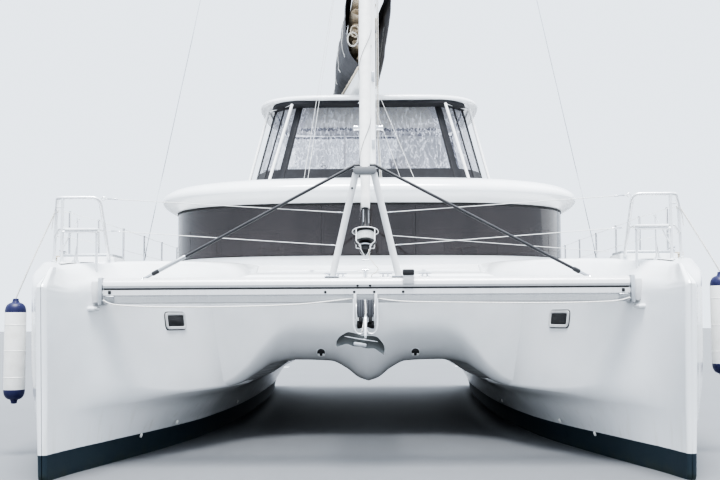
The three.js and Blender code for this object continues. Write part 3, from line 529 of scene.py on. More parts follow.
# clear sheet vinyl, milky in patches, with painted highlights along its folds and dark streaks of painted
# shade
def clearVinyl():
    f = Finish("clear vinyl")
    where = f.place()
    creases = f.noise(f.scaled(where, (10, 10, 0.9)), 1.5, 5, 0.55)
    broad = f.noise(f.scaled(where, (3.0, 3.0, 0.9)), 1.2, 3, 0.5)
    fine = f.noise(f.scaled(where, (30, 30, 5)), 1.2, 3, 0.6)
    # painted light: the fold lines are painted near white as highlights, and thin streaks are painted near
    # black as shade
    fold = 1 - (creases - 0.5).size().step(0.0, 0.03)
    paintedShadeStreak = 1 - (fine - 0.56).size().step(0.0, 0.04)
    milk = broad.step(0.4, 0.8)
    colour = f.blend(fold * 0.8, f.blend(milk, (0.18, 0.185, 0.225), (0.27, 0.28, 0.33)),
        (0.78, 0.8, 0.86))
    colour = f.blend(paintedShadeStreak * 0.6, colour, (0.06, 0.065, 0.09))
    height = creases * 0.6 + fine * 0.1
    return f.shade(baseColor=colour, roughness=0.2 + fine * 0.08,
        alpha=0.42 + milk * 0.12 + fold * 0.26 + paintedShadeStreak * 0.12, normal=f.bump(height, 0.35, 0.02),
        specularIorLevel=0.35)


# woven cloth, its threads along the flat coordinates
def cloth(name, colour, shade, thread=900.0, roughness=0.88, sheen=0.25, faded=None, crease=0.5):
    f = Finish(name)
    where, flat = f.place(), f.flat()
    u, v = f.axes(flat)[:2]
    warp, weft = (u * thread).wave(), (v * thread).wave()
    weave = (warp * weft) * 0.5 + 0.5
    folds = f.noise(f.scaled(where, (2.2, 2.2, 1.2)), 1.8, 5, 0.6)
    mottle = f.noise(where, 9, 5, 0.6)
    base = f.blend(mottle.step(0.3, 0.75), colour, shade)
    if faded:
        base = f.blend(folds.step(0.5, 0.8) * 0.5, base, faded)
    tint = f.blend(weave * 0.25, base, tuple(c * 0.6 for c in colour))
    return f.shade(baseColor=tint, roughness=roughness + (mottle - 0.5) * 0.12, sheenWeight=sheen,
        sheenRoughness=0.5, normal=f.bump(folds * crease * 12 + weave * 0.25, 0.6, 0.003))


# laid rope: strands that wind round the flat coordinates, with painted shade in the grooves between them
def ropeLay(name, colour, shade, pitch=26.0, fleck=None):
    f = Finish(name)
    flat, where = f.flat(), f.place()
    u, v = f.axes(flat)[:2]
    strand = ((v * 6.28 * pitch) + (u * 400)).wave()
    cross = ((v * 6.28 * pitch) - (u * 400)).wave()
    braid = strand.most(cross)
    grime = f.noise(where, 14, 4, 0.6)
    # the grooves between the strands get the darker colour as painted shade, the raised strands the
    # lighter one
    colourNow = f.blend(braid.step(-0.3, 0.9), shade, colour)
    colourNow = f.blend(grime.step(0.45, 0.8) * 0.4, colourNow, tuple(c * 0.7 for c in shade))
    if fleck:
        colourNow = f.blend((strand > 0.86) * (grime > 0.5), colourNow, fleck)
    return f.shade(baseColor=colourNow, roughness=0.82, normal=f.bump(braid, 0.8, 0.0012),
        sheenWeight=0.2)


def metal(name, colour, shade, roughness, grain=(30, 30, 30), metallic=1.0, bump=0.04, spots=0.0):
    f = Finish(name)
    where = f.place()
    brushed = f.noise(f.scaled(where, grain), 4, 3, 0.6)
    tarnish = f.noise(where, 4, 5, 0.65)
    colourNow = f.blend(tarnish.step(0.45, 0.8), colour, shade)
    if spots:
        colourNow = f.blend(f.noise(where, 28, 4, 0.7).step(0.63, 0.72) * spots, colourNow,
            (0.3, 0.17, 0.08))
    return f.shade(baseColor=colourNow, metallic=metallic,
        roughness=roughness + (brushed - 0.5) * 0.12 + tarnish * 0.06,
        normal=f.bump(brushed, bump, 0.001))


def plastic(name, colour, shade, roughness=0.4, grain=120.0, bump=0.12, coat=0.0):
    f = Finish(name)
    where = f.place()
    pebble = f.noise(where, grain, 3, 0.55)
    dust = f.noise(where, 5, 5, 0.6)
    return f.shade(baseColor=f.blend(dust.step(0.4, 0.8), colour, shade), coatWeight=coat,
        roughness=wear(f, where, roughness, 0.16), normal=f.bump(pebble, bump, 0.0012))


def painted(name, colour, shade, roughness=0.3):
    f = Finish(name)
    where = f.place()
    peel = f.noise(where, 70, 2, 0.5)
    runs = f.noise(f.scaled(where, (9, 9, 0.8)), 1.5, 5, 0.65)
    chips = f.noise(where, 34, 4, 0.7).step(0.7, 0.74)
    base = f.blend(runs.step(0.45, 0.85) * 0.6, colour, shade)
    return f.shade(baseColor=f.blend(chips * 0.5, base, tuple(c * 0.6 for c in shade)),
        roughness=wear(f, where, roughness, 0.14), normal=f.bump(peel + chips * -0.8, 0.06, 0.002),
        coatWeight=0.2, coatRoughness=0.1)


# planks with dark seams along Y, and grain in them
def teak(name="oiled teak", plank=0.055, along=1):
    f = Finish(name)
    where = f.place()
    parts = f.axes(where)
    across = parts[1 - along] / plank
    seam = ((across.part() - 0.5).size() - 0.44).step(0.0, 0.02)
    board = f.noise(f.vector(across.maths("FLOOR", across), 0.0, 0.0), 7.3, 0)
    stretch = (14, 1.2, 14) if along == 1 else (1.2, 14, 14)
    grain = f.noise(f.scaled(where, stretch), 5, 6, 0.65)
    wood = f.blend(grain.step(0.3, 0.75), (0.36, 0.2, 0.1), (0.5, 0.32, 0.18))
    wood = f.blend(board.step(0.3, 0.7) * 0.4, wood, (0.42, 0.33, 0.24))
    return f.shade(baseColor=f.blend(seam, wood, (0.015, 0.015, 0.016)), roughness=0.55 + grain * 0.2,
        normal=f.bump(grain * 0.4 - seam, 0.4, 0.0015))


# knotless netting: cords along both diagonals with holes between them
def netting():
    f = Finish("bow netting")
    where = f.place()
    x, y = f.axes(where)[:2]
    mesh = 0.026
    u, v = ((x + y) / mesh).part() - 0.5, ((x - y) / mesh).part() - 0.5
    cord = 1 - (0.5 - u.size()).least(0.5 - v.size()).step(0.1, 0.13)
    twist = ((x * 900.0) + (y * 500.0)).wave()
    dirt = f.noise(where, 4, 4, 0.6)
    return f.shade(baseColor=f.blend(dirt.step(0.4, 0.8), (0.66, 0.67, 0.67), (0.5, 0.5, 0.48)),
        roughness=0.85, alpha=cord, normal=f.bump(twist, 0.4, 0.001))


white = gelcoat()
grip = deckGrip()
tinted = pane("tinted glass", (0.03, 0.025, 0.026), 0.72)
portPane = plastic("smoked port", (0.008, 0.008, 0.01), (0.014, 0.014, 0.017), 0.22, 60.0, 0.02)
vinyl = clearVinyl()
greyCanvas = cloth("grey canvas", (0.022, 0.022, 0.026), (0.032, 0.033, 0.037), sheen=0.04,
    faded=(0.046, 0.047, 0.053))
bagCanvas = cloth("bag canvas", (0.04, 0.04, 0.046), (0.06, 0.061, 0.069), sheen=0.08,
    faded=(0.1, 0.1, 0.112), crease=0.9)
sailcloth = cloth("folded sailcloth", (0.7, 0.62, 0.5), (0.58, 0.49, 0.37), 500.0, 0.75, 0.1,
    (0.84, 0.79, 0.7), 1.0)
jibCloth = cloth("rolled sailcloth", (0.8, 0.8, 0.78), (0.7, 0.7, 0.69), 500.0, 0.7, 0.1)
blindCloth = cloth("blind cloth", (0.8, 0.78, 0.72), (0.72, 0.7, 0.64), 600.0, 0.85, 0.1, crease=0.3)
seatCloth = cloth("seat cloth", (0.4, 0.385, 0.35), (0.33, 0.315, 0.29), 1100.0, 0.9, 0.3, crease=0.15)
paleLeather = plastic("pale seat vinyl", (0.62, 0.6, 0.56), (0.54, 0.52, 0.48), 0.5, 260.0, 0.3)
mastPaint = painted("spar paint", (0.8, 0.8, 0.79), (0.68, 0.68, 0.68), 0.32)
# the white spar paint again, made grey as painted shade; it is used on the beam, the striker, the roller
# straps and the port frames
shadedSparPaint = painted("spar paint with painted shade", (0.58, 0.585, 0.59), (0.48, 0.485, 0.49), 0.28)
greyAlloy = metal("brushed alloy", (0.52, 0.54, 0.56), (0.42, 0.44, 0.46), 0.38, (6, 60, 60), 0.85, 0.1)
stainless = metal("polished stainless", (0.66, 0.67, 0.69), (0.54, 0.55, 0.57), 0.16, (50, 50, 8), 1.0,
    0.03, 0.25)
brightTube = metal("bright tube", (0.8, 0.81, 0.82), (0.7, 0.71, 0.72), 0.34, (20, 20, 20), 0.55, 0.03)
greyRod = metal("grey rod", (0.17, 0.175, 0.19), (0.1, 0.105, 0.115), 0.45, (12, 12, 12), 0.6, 0.1)
galvanised = metal("worn galvanising", (0.15, 0.16, 0.16), (0.09, 0.1, 0.1), 0.4, (12, 12, 12), 0.9,
    0.25, 0.5)
bronzeCast = metal("cast bronze", (0.4, 0.28, 0.14), (0.22, 0.2, 0.12), 0.38, (18, 18, 18), 1.0, 0.2)
blackRod = plastic("black rod", (0.03, 0.031, 0.035), (0.055, 0.056, 0.06), 0.36, 90.0, 0.08, 0.2)
blackPlastic = plastic("black plastic", (0.018, 0.018, 0.02), (0.032, 0.032, 0.034), 0.42)
rubber = plastic("black rubber", (0.014, 0.014, 0.015), (0.03, 0.03, 0.03), 0.65, 60.0, 0.2)
navyPaint = plastic("bottom paint", gelcoatLook["bottomPaint"], gelcoatLook["slime"], 0.62, 30.0, 0.2)
navyVinyl = plastic("navy fender end", (0.01, 0.012, 0.065), (0.02, 0.022, 0.085), 0.45, 80.0, 0.1)
whiteVinyl = plastic("white fender", (0.78, 0.77, 0.74), (0.66, 0.64, 0.6), 0.42, 40.0, 0.1)
paintGrey = painted("engine paint", (0.28, 0.3, 0.31), (0.2, 0.21, 0.22), 0.42)
headPaint = painted("striker head paint", (0.17, 0.176, 0.184), (0.12, 0.125, 0.13), 0.5)
whiteRope = ropeLay("white rope", (0.82, 0.81, 0.78), (0.62, 0.6, 0.56))
thinLine = ropeLay("thin white line", (0.84, 0.84, 0.82), (0.66, 0.66, 0.64), 40.0)
dockRope = ropeLay("worn rope", (0.66, 0.6, 0.5), (0.46, 0.4, 0.32), 18.0)
teakDeck = teak()
joinery = teak("oak joinery", 0.3, 1)
net = netting()
print("finishes:", len(bpy.data.materials))


# Hulls

columnNames = ["y", "upper", "chine", "foot", "outerFoot", "outer", "keel", "deck", "bevel", "drop"]
hullRows = [
    (-6.86, 3.035, 3.035, 3.040, 3.120, 3.125, -0.26, 2.050, 0.02, 0.20),
    (-6.65, 3.005, 2.995, 3.000, 3.165, 3.220, -0.36, 2.070, 0.07, 0.22),
    (-6.40, 2.960, 2.930, 2.950, 3.220, 3.330, -0.43, 2.090, 0.12, 0.24),
    (-5.90, 2.820, 2.720, 2.820, 3.320, 3.500, -0.54, 2.140, 0.17, 0.24),
    (-5.30, 2.570, 2.400, 2.670, 3.440, 3.690, -0.61, 2.180, 0.18, 0.24),
    (-4.70, 2.290, 2.080, 2.520, 3.550, 3.850, -0.65, 2.220, 0.18, 0.24),
    (-4.10, 2.010, 1.820, 2.380, 3.630, 3.940, -0.67, 2.250, 0.18, 0.22),
    (-3.50, 1.780, 1.660, 2.260, 3.680, 3.970, -0.68, 2.275, 0.18, 0.19),
    (-2.96, 1.600, 1.562, 2.180, 3.710, 3.980, -0.69, 2.290, 0.18, 0.15),
    (-2.60, 1.560, 1.560, 2.140, 3.720, 3.980, -0.69, 2.300, 0.15, 0.15),
    (-2.00, 1.560, 1.560, 2.080, 3.730, 3.980, -0.70, 2.300, 0.01, 0.06),
    (-0.60, 1.560, 1.560, 1.990, 3.740, 3.980, -0.70, 2.300, 0.01, 0.06),
    (1.00, 1.560, 1.560, 1.960, 3.740, 3.980, -0.69, 2.300, 0.01, 0.06),
    (3.50, 1.560, 1.560, 1.980, 3.700, 3.980, -0.56, 2.300, 0.01, 0.06),
    (5.30, 1.560, 1.560, 2.060, 3.640, 3.960, -0.33, 2.300, 0.01, 0.06),
    (6.20, 1.560, 1.560, 2.120, 3.590, 3.930, -0.18, 2.300, 0.01, 0.06),
    (6.995, 1.680, 1.680, 2.200, 3.530, 3.880, -0.06, 2.300, 0.01, 0.06),
]
hullSizes = {
    "chine": 0.70, "foot": 0.22, "rake": 0.135, "stemRadius": 0.044,
    "hatch": (2.84, 3.40, -5.34, -4.82, 2.235), "engineWell": (2.56, 3.26, 3.98, 4.83, 0.12),
    "treads": ((5.20, 1.37), (5.56, 1.08), (5.92, 0.77), (6.28, 0.45)),
    "cockpitSide": (2.48, 2.70, 5.30, 1.35), "driveSlot": ((2.785, 4.24, -1.0), (2.905, 4.56, 0.3)),
    "stern": ((5.15, 2.301), (5.9, 1.75), (7.3, 0.95), (7.3, 2.8), (5.15, 2.8)), "rudderAt": 5.9,
    # the fin keel from its root down: height, fore end, after end and half its thickness
    "fin": ((-0.60, -1.40, 1.50, 0.11), (-0.9, -1.28, 1.42, 0.10), (-1.25, -0.98, 1.30, 0.075),
        (-1.335, -0.88, 1.25, 0.055), (-1.35, -0.80, 1.18, 0.03)),
}


def hullAt(y):
    return {n: fromRows(hullRows, i, y) for i, n in enumerate(columnNames)}


# x of the hull's inner side at a height
def innerSide(y, z):
    s = hullAt(y)
    return float(np.interp(z, [hullSizes["chine"], 1.2, s["deck"] - s["drop"]],
        [s["chine"], between(s["upper"], s["chine"], 0.6), s["upper"]]))


def outerSide(y, z):
    s = hullAt(y)
    return float(np.interp(z, [0.22, 0.56, 0.95],
        [s["outerFoot"], between(s["outerFoot"], s["outer"], 0.6), s["outer"]]))


def hullRing(y, squeeze=1.0, push=0.0):
    s = hullAt(y)
    middle = (s["foot"] + s["outerFoot"]) / 2
    bow = clamp((-5.3 - y) / 1.56)
    soft = between(0.03, 0.3, ease((-4.6 - y) / 2.2))
    outerDrop = between(0.12, s["drop"], clamp((-6.1 - y) / 0.6))
    corners = [(s["upper"] + s["bevel"], s["deck"], 0.02 + s["bevel"] * 0.35),
        (s["upper"], s["deck"] - s["drop"], 0.02 + s["bevel"] * 0.5),
        (between(s["upper"], s["chine"], 0.6), 1.2, 0.25), (s["chine"], hullSizes["chine"], soft),
        (between(s["chine"], s["foot"], 0.55), 0.56, 0.12), (s["foot"], hullSizes["foot"], 0.16),
        (between(s["foot"], middle, 0.05), -0.12, 0.25),
        (between(s["foot"], middle, 0.4), s["keel"] * 0.75, 0.25), (middle, s["keel"], 0.12),
        (between(s["outerFoot"], middle, 0.4), s["keel"] * 0.75, 0.25),
        (between(s["outerFoot"], middle, 0.05), -0.12, 0.25), (s["outerFoot"], hullSizes["foot"], 0.16),
        (between(s["outerFoot"], s["outer"], 0.6), 0.56, 0.2), (s["outer"], 0.95, 0.35),
        (s["outer"], s["deck"] - outerDrop, 0.05), (s["outer"] - min(0.09, s["bevel"] * 4), s["deck"],
        0.04),]
    ring = []
    for x, z in softened([c[:2] for c in corners], [c[2] for c in corners], 4):
        drop = s["drop"] if x < middle else outerDrop
        brow = 0.3 * clamp((z - s["deck"] + drop) / drop) ** 1.4
        forefoot = max(0.0, -z * 1.1)
        lean = bow * (forefoot + brow - hullSizes["rake"] * clamp(z / 1.85))
        ring.append((middle + (x - middle) * squeeze, y + lean - push, z))
    return ring


def finSection(count=24):
    out = []
    for i in range(count):
        a = 2 * math.pi * i / count
        t = 0.5 - 0.5 * math.cos(a)
        out.append((t, math.sin(a) * (1.35 - 0.7 * t) * 0.9))
    return out


def middleOfFoot(y):
    s = hullAt(y)
    return (s["foot"] + s["outerFoot"]) / 2


def makeHulls():
    size = hullSizes
    r = size["stemRadius"]
    first = hullRows[0][0] + r
    ys = list(np.linspace(first, -2.0, 44)) + list(np.linspace(-2.0, 6.995, 27))[1:]
    rings = [hullRing(first, math.cos(a), r * math.sin(a)) for a in (1.5, 1.2, 0.9, 0.6, 0.3)]
    hull = Shape().skin(rings + [hullRing(float(y)) for y in ys])
    x0, x1, y0, y1, top = size["hatch"]
    wells = [Shape().slab((x0 + 0.04, x1 - 0.04, y0 + 0.04, y1 - 0.04, 0.05), 1.5, top + 0.2, 0.001),
        Shape().slab((1.46, *size["cockpitSide"][:3], 0.1, 5), size["cockpitSide"][3], 2.6, 0.001),
        Shape().slab((*size["engineWell"][:4], 0.06), size["engineWell"][4], 2.6, 0.001),
        Shape().block(*size["driveSlot"], 0.02),]
    curve = softened(size["stern"], [0.01, 0.5, 0.01, 0.01, 0.01], 6)
    wells.append(Shape().skin([[(x, p[0], p[1]) for p in curve] for x in (1.0, 4.2)]))
    for y, z in size["treads"]:
        wells.append(Shape().slab((1.7, 3.56, y, 7.4, 0.09, 5), z, 2.9, 0.001))
    finX = middleOfFoot(0)
    extras = Shape().skin([[(finX + w * half, fore + t * (aft - fore), z) for t, w in finSection()]
        for z, fore, aft, half in size["fin"]])
    stock = (middleOfFoot(size["rudderAt"]), size["rudderAt"], -0.06)
    extras.turned([(0.075, 0), (0.075, 0.2), (0.055, 0.23), (0.0, 0.23)], stock, (0, 0, -1), 20)
    rim = ((0, 2.05), (0, top - 0.012), (0.004, top - 0.003), (0.012, top), (0.037, top),
        (0.04, top - 0.01), (0.04, 2.0))
    rows = []
    for grow, z in ((0.04 - i, z) for i, z in rim):
        rows.append([(x, y, z) for x, y in roundedBox(x0 - grow, x1 + grow, y0 - grow, y1 + grow, 0.07,
            5)])
    extras.skin(rows, True, False)
    for side in ("port", "stbd"):
        mesh = carved(onSide(hull, side).mesh("hull work", [white]),
            [onSide(well, side) for well in wells])
        piece(f"hull_moulding_{side}", mesh, [white], replaces=[f"hull_{side}"], sharp=28)
    pair("hull_appendages_{}", extras, [white])
    print("hulls done")


# panels of grip on the side decks and bows, with smooth waterways between them
gripSizes = {"lift": 0.0014, "corner": 0.07, "gap": 0.07, "length": 1.25, "outer": 0.26, "start": -6.15,
    "end": 5.05, "hatch": (-5.46, -4.7), "treadX": (1.86, 3.46)}


def gripPanel(shape, y0, y1, innerX, outerX, height):
    size = gripSizes
    rows = []
    count = max(6, int((y1 - y0) / 0.12))
    ends = [y0 + size["corner"] * k for k in (0.0, 0.08, 0.3, 0.6)]
    middle = list(np.linspace(y0 + size["corner"], y1 - size["corner"], count))
    ys = ends + middle + [y0 + y1 - y for y in ends[::-1]]
    for y in ys:
        near = min(y - y0, y1 - y)
        pull = 0.0
        if near < size["corner"]:
            pull = size["corner"] * (1 - math.sqrt(max(0.0, 1 - (1 - near / size["corner"]) ** 2)))
        a, b = innerX(y) + pull, outerX(y) - pull
        rows.append([(between(a, b, t), y, height(y) + size["lift"] * (1.0 if 0 < t < 1 else 0.3))
            for t in (0.0, 0.03, 0.5, 0.97, 1.0)])
    shape.skin(rows, False)


def makeGrip():
    size = gripSizes
    shape = Shape()

    def innerEdge(v, start):
        if start > -2.3:
            return 3.36 if start > 3.7 else 2.6 if start > 2.6 else 3.16
        return max(hullAt(v)["upper"] + hullAt(v)["bevel"], 1.7) + 0.08

    y, end = size["start"], 0.0
    a, b = size["hatch"]
    while end < size["end"]:
        end = min(y + size["length"], size["end"])
        for p0, p1 in ((y, min(end, a)), (max(y, b), end)):
            if p1 - p0 > 0.2:
                gripPanel(shape, p0, p1 - size["gap"], lambda v: innerEdge(v, p0),
                    lambda v: hullAt(v)["outer"] - size["outer"], lambda v: hullAt(v)["deck"])
        y = end
    treads = hullSizes["treads"]
    ends = [row[0] - 0.02 for row in treads[1:]] + [6.9]
    for (y0, z), y1 in zip(treads, ends):
        gripPanel(shape, y0 + 0.05, y1, lambda v: size["treadX"][0], lambda v: size["treadX"][1],
            lambda v: z)
    pair("deck_grip_{}", shape, [grip])


# Bridge between the hulls: rounded front with two arches and a nacelle, merging into the hulls

bridgeSizes = {"front": -3.29, "aft": 6.2, "half": 1.5597, "fillet": (0.8, -4.35), "deckEdge": 2.06,
    "deck": 2.15}
bridgeLip = [  # x along the front, height of the underside, how tall and how deep its rounding is
    (0.00, 0.700, 0.74, 0.56),
    (0.12, 0.740, 0.72, 0.56),
    (0.30, 0.875, 0.62, 0.55),
    (0.50, 0.968, 0.54, 0.54),
    (0.95, 0.985, 0.52, 0.54),
    (1.12, 0.945, 0.50, 0.50),
    (1.34, 0.800, 0.42, 0.36),
    (1.56, 0.712, 0.24, 0.16),
    (1.75, 0.700, 0.10, 0.05),
    (2.20, 0.700, 0.03, 0.02),
]
underRows = [  # y, then the underside's height at each x of underAcross
    (-2.72, 0.70, 0.74, 0.875, 0.968, 0.985, 0.945, 0.80, 0.712),
    (1.50, 0.78, 0.81, 0.90, 0.970, 0.985, 0.945, 0.80, 0.712),
    (6.20, 1.00, 1.00, 1.00, 1.000, 1.000, 0.970, 0.85, 0.712),
]
underAcross = (0.0, 0.12, 0.3, 0.5, 0.95, 1.12, 1.34, 1.56)


def frontLine(s, z):
    size = bridgeSizes
    start, end = size["fillet"]
    if s < 0.5:
        return Vector((start * s / 0.5, size["front"])), Vector((0, 1))
    t = (s - 0.5) / 0.5
    a = Vector((start, size["front"]))
    c = Vector((innerSide(size["front"], z) + 0.01, size["front"]))
    b = Vector((innerSide(end, z) + 0.012, end))
    p = (1 - t) ** 2 * a + 2 * t * (1 - t) * c + t * t * b
    way = ((1 - t) * (c - a) + t * (b - c)).normalized()
    return p, Vector((-way.y, way.x))


def bridgeColumn(s):
    size = bridgeSizes
    lipX = frontLine(s, 0.9)[0].x
    bottom, tall, deep = (fromRows(bridgeLip, i, lipX) for i in (1, 2, 3))
    top, inward = frontLine(s, size["deckEdge"])
    buried = ease((top.x - 1.5) / 0.25)
    edge = size["deckEdge"] - 0.02 * buried
    deckX = min(top.x, 1.58)
    aftZ = between(size["deck"], edge, buried)
    column = []
    for t in (0.0, 0.35, 0.7, 0.9):
        p = Vector((deckX, -2.95)).lerp(top + inward * 0.035, t)
        column.append((p.x, p.y, between(aftZ, edge + 0.03 * (1 - buried), t ** 1.8)))
    for a in (0.3, 0.6, 0.9, 1.2):
        p = top + inward * 0.035 * (1 - math.sin(a))
        column.append((p.x, p.y, edge - 0.035 + 0.045 * math.cos(a)))
    for t in np.linspace(0.06, 1, 8):
        z = between(edge - 0.03, bottom + tall, t)
        p = frontLine(s, z)[0]
        column.append((p.x, p.y, z))
    for a in np.linspace(0, math.pi / 2, 12)[1:]:
        z = bottom + tall * (1 - math.sin(a))
        p, way = frontLine(s, z)
        p = p + way * deep * (1 - math.cos(a))
        column.append((p.x, p.y, z))
    x = min(lipX, size["half"])
    for y in (-2.5, -1.5, 0.0, 1.5, 3.0, 4.6, 6.2):
        heights = [faired(underAcross, row[1:], x) for row in underRows]
        column.append((x, y, faired([row[0] for row in underRows], heights, y)))
    return column


def makeBridge():
    size = bridgeSizes
    halfColumns = [bridgeColumn(float(s)) for s in np.linspace(0, 1, 46)]
    across = [[(-x, y, z) for x, y, z in c] for c in halfColumns[:0:-1]] + halfColumns
    front = Shape().skin([list(row) for row in zip(*across)], False)
    piece("bridge_front", front, [white], replaces=["bridgedeck"], sharp=60)

    half = size["half"]
    foredeck = softened([(-2.951, 1.2), (-2.951, 2.15), (-2.38, 2.15), (-1.975, 2.3), (-1.8, 2.3),
        (-1.8, 1.2)], [0.001, 0.001, 0.12, 0.06, 0.001, 0.001], 4)
    base = Shape().skin([[(x, p[0], p[1]) for p in foredeck] for x in (-half, half)])
    wells = [Shape().slab((a, b, -2.89, -2.44, 0.05), 1.25, 2.4, 0.001)
        for a, b in ((0.17, 1.33), (-1.33, -0.17))]
    piece("foredeck_moulding", carved(base.mesh("foredeck work", [white]), wells), [white],
        sharp=30)

    floors = Shape()
    floors.block((-half, -1.8, 1.16), (half, 2.6, 1.3), 0.003, 1)
    floors.block((-half, 2.6, 1.1), (half, 5.45, 1.35), 0.003)
    floors.skin([[(x, p[0], p[1]) for p in softened([(5.45, 1.05), (5.45, 1.8), (6.02, 1.8),
        (6.02, 2.18), (6.2, 2.18), (6.2, 1.02)], [0.001, 0.03, 0.05, 0.04, 0.06, 0.02], 4)]
        for x in (-half, half)])
    piece("cockpit_moulding", floors, [white, joinery], sharp=35)
    print("bridge done")


makeHulls()
makeGrip()
makeBridge()


# Small makers

# side outlines of Y and Z, given thickness along X, and front outlines of X and Z, thick along Y
sideways = facing((0, 0, 0), (0, 1, 0), (1, 0, 0))
frontways = facing((0, 0, 0), (1, 0, 0), (0, -1, 0))


def cutPlate(shape, place, outline, low, high, edge, soft, finish):
    points = softened(outline, soft, 3) if soft else outline
    return shape.plate(points, low, high, edge, 2, place, finish)


def sidePlate(shape, outline, x0, x1, edge=0.004, soft=0.0, finish=0):
    return cutPlate(shape, sideways, outline, x0, x1, edge, soft, finish)


def frontPlate(shape, outline, y0, y1, edge=0.004, soft=0.0, finish=0):
    return cutPlate(shape, frontways, outline, -y1, -y0, edge, soft, finish)


def bolt(shape, point, out, radius=0.01, finish=0):
    profile = [(radius, -0.004), (radius, 0.4 * radius), (radius * 0.75, 0.62 * radius),
        (radius * 0.3, 0.7 * radius)]
    return shape.turned(profile, point, out, 10, finish)


# a rope, with its own real length
def rope(name, path, diameter, finish, body="boat"):
    obj = piece(name, Shape().tube(path, diameter / 2, 8), finish, body, sharp=60)
    return obj


def ringAt(shape, centre, out, radius, wire, finish=0, steps=20, sides=8):
    place = facing(centre, Vector(out).orthogonal(), out)
    path = [place @ Vector((radius * math.cos(t), radius * math.sin(t), 0)) for t in roundTurn(steps)]
    return shape.tube(path, wire, sides, True, False, finish)


# Forward beam, striker and forestay

bow = {
    "y": -5.96, "top": 1.97, "end": 2.733, "plate": (2.735, 2.778), "tackZ": 2.04,
    "staySlope": 16.86 / 5.29, "footX": 0.35, "headX": 0.095, "headZ": 3.08, "legRadius": 0.036,
    "rodRadius": 0.016, "rodEnd": (2.33, 1.955), "rodTop": 3.145, "turnbuckle": (1.886, 2.27),
    "strap": (2.775, 2.86), "bracket": (2.615, 2.705), "socket": (2.79, 2.96),
    "bolts": ((-0.416, 1.81), (-0.116, 1.81), (0.091, 1.81), (0.391, 1.81), (-0.081, 1.877),
        (0.049, 1.877)),
}
beamSide = [  # half of the beam's section from its top down: how far from the middle, and below the top
    (0.000, 0.000), (0.045, -0.004), (0.080, -0.022), (0.103, -0.056), (0.109, -0.085), (0.100, -0.108),
    (0.082, -0.114), (0.082, -0.124), (0.101, -0.129), (0.103, -0.183), (0.090, -0.187), (0.090, -0.192),
    (0.097, -0.197), (0.074, -0.260), (0.060, -0.270), (0.000, -0.270),
]
stayWay = Vector((0, 1, bow["staySlope"])).normalized()


def sided(side, name):
    return sorted(side * x for x in bow[name])


def onStay(height):
    return Vector((0, bow["y"], bow["tackZ"])) + stayWay * height


def makeBeam():
    y, top = bow["y"], bow["top"]
    ring = [(y - a, top + b) for a, b in beamSide] + [(y + a, top + b) for a, b in beamSide[-2:0:-1]]
    beam = Shape().skin([[(x, p, q) for p, q in ring] for x in np.linspace(-bow["end"], bow["end"], 25)])
    for x, z in bow["bolts"]:
        bolt(beam, (x, y - 0.1, z), (0, -1, 0), 0.014, 2)
    for x in np.arange(-2.4, 2.5, 0.6):
        bolt(beam, (float(x), y + 0.1, 1.81), (0, 1, 0), 0.01, 1)
    for side in (-1, 1):
        a, b = sided(side, "plate")
        beam.block((a, y - 0.132, 1.686), (b, y + 0.132, top + 0.004), 0.014, 3)
        a, b = sided(side, "strap")
        beam.block((a, y - 0.1, 1.71), (b, y + 0.1, 1.94), 0.02)
        a, b = sided(side, "bracket")
        sidePlate(beam, [(y - 0.118, 1.782), (y - 0.06, 1.782), (y - 0.05, 1.7), (y - 0.075, 1.7)], a, b,
            0.004, 0.012, 3)
        beam.block((a + 0.03, y - 0.112, 1.8), (b - 0.03, y - 0.098, 1.835), 0.004, 2)
        for z in (1.73, 1.81, 1.9):
            for dy in (-0.105, 0.105):
                bolt(beam, (side * bow["plate"][0], y + dy, z), (-side, 0, 0), 0.011, 1)
    # tack fitting: a plate on the beam, two links and their pins
    sidePlate(beam, [(y - 0.07, top - 0.01), (y + 0.07, top - 0.01), (y + 0.045, 2.05), (y, 2.068),
        (y - 0.045, 2.05)], -0.009, 0.009, 0.003, 0.02, 1)
    for x in (-0.02, 0.014):
        beam.add(Shape().slab((-0.016, 0.016, -0.02, 0.135, 0.015), x, x + 0.006, 0.002,
            place=facing(onStay(0), (0, -1, 0.31), (1, 0, 0))), finish=1)
    for height in (0.0, 0.115):
        beam.turned([(0.011, -0.034), (0.011, -0.028), (0.008, -0.028), (0.008, 0.028), (0.011, 0.028),
            (0.011, 0.034)], onStay(height), (1, 0, 0), 12, 1)
    # cleats and a block on the beam
    for x, z in ((-0.26, top), (-0.36, top), (0.21, top), (0.62, top)):
        cleat(beam, (x, y - 0.02, z - 0.003), (1, 0, 0), 0.14, 1)
    beam.block((0.388, y - 0.13, 1.885), (0.505, y - 0.04, 2.045), 0.018)
    beam.block((0.386, y - 0.14, 1.978), (0.507, y - 0.1, 2.04), 0.012, 2)
    # a black strip along the groove in the beam's front: painted shade that stands in for the groove's
    # shadow
    beam.block((-2.72, y - 0.1005, 1.846), (2.72, y - 0.075, 1.857), 0.001, 2)
    piece("crossbeam_spar", beam, [shadedSparPaint, stainless, blackPlastic, greyAlloy],
        replaces=["crossbeam"])
    sockets = Shape()
    for side in (-1, 1):
        a, b = sided(side, "socket")
        sockets.block((a, y - 0.19, 1.625), (b, y + 0.17, 1.672), 0.03)
    piece("beam_sockets", sockets, white)


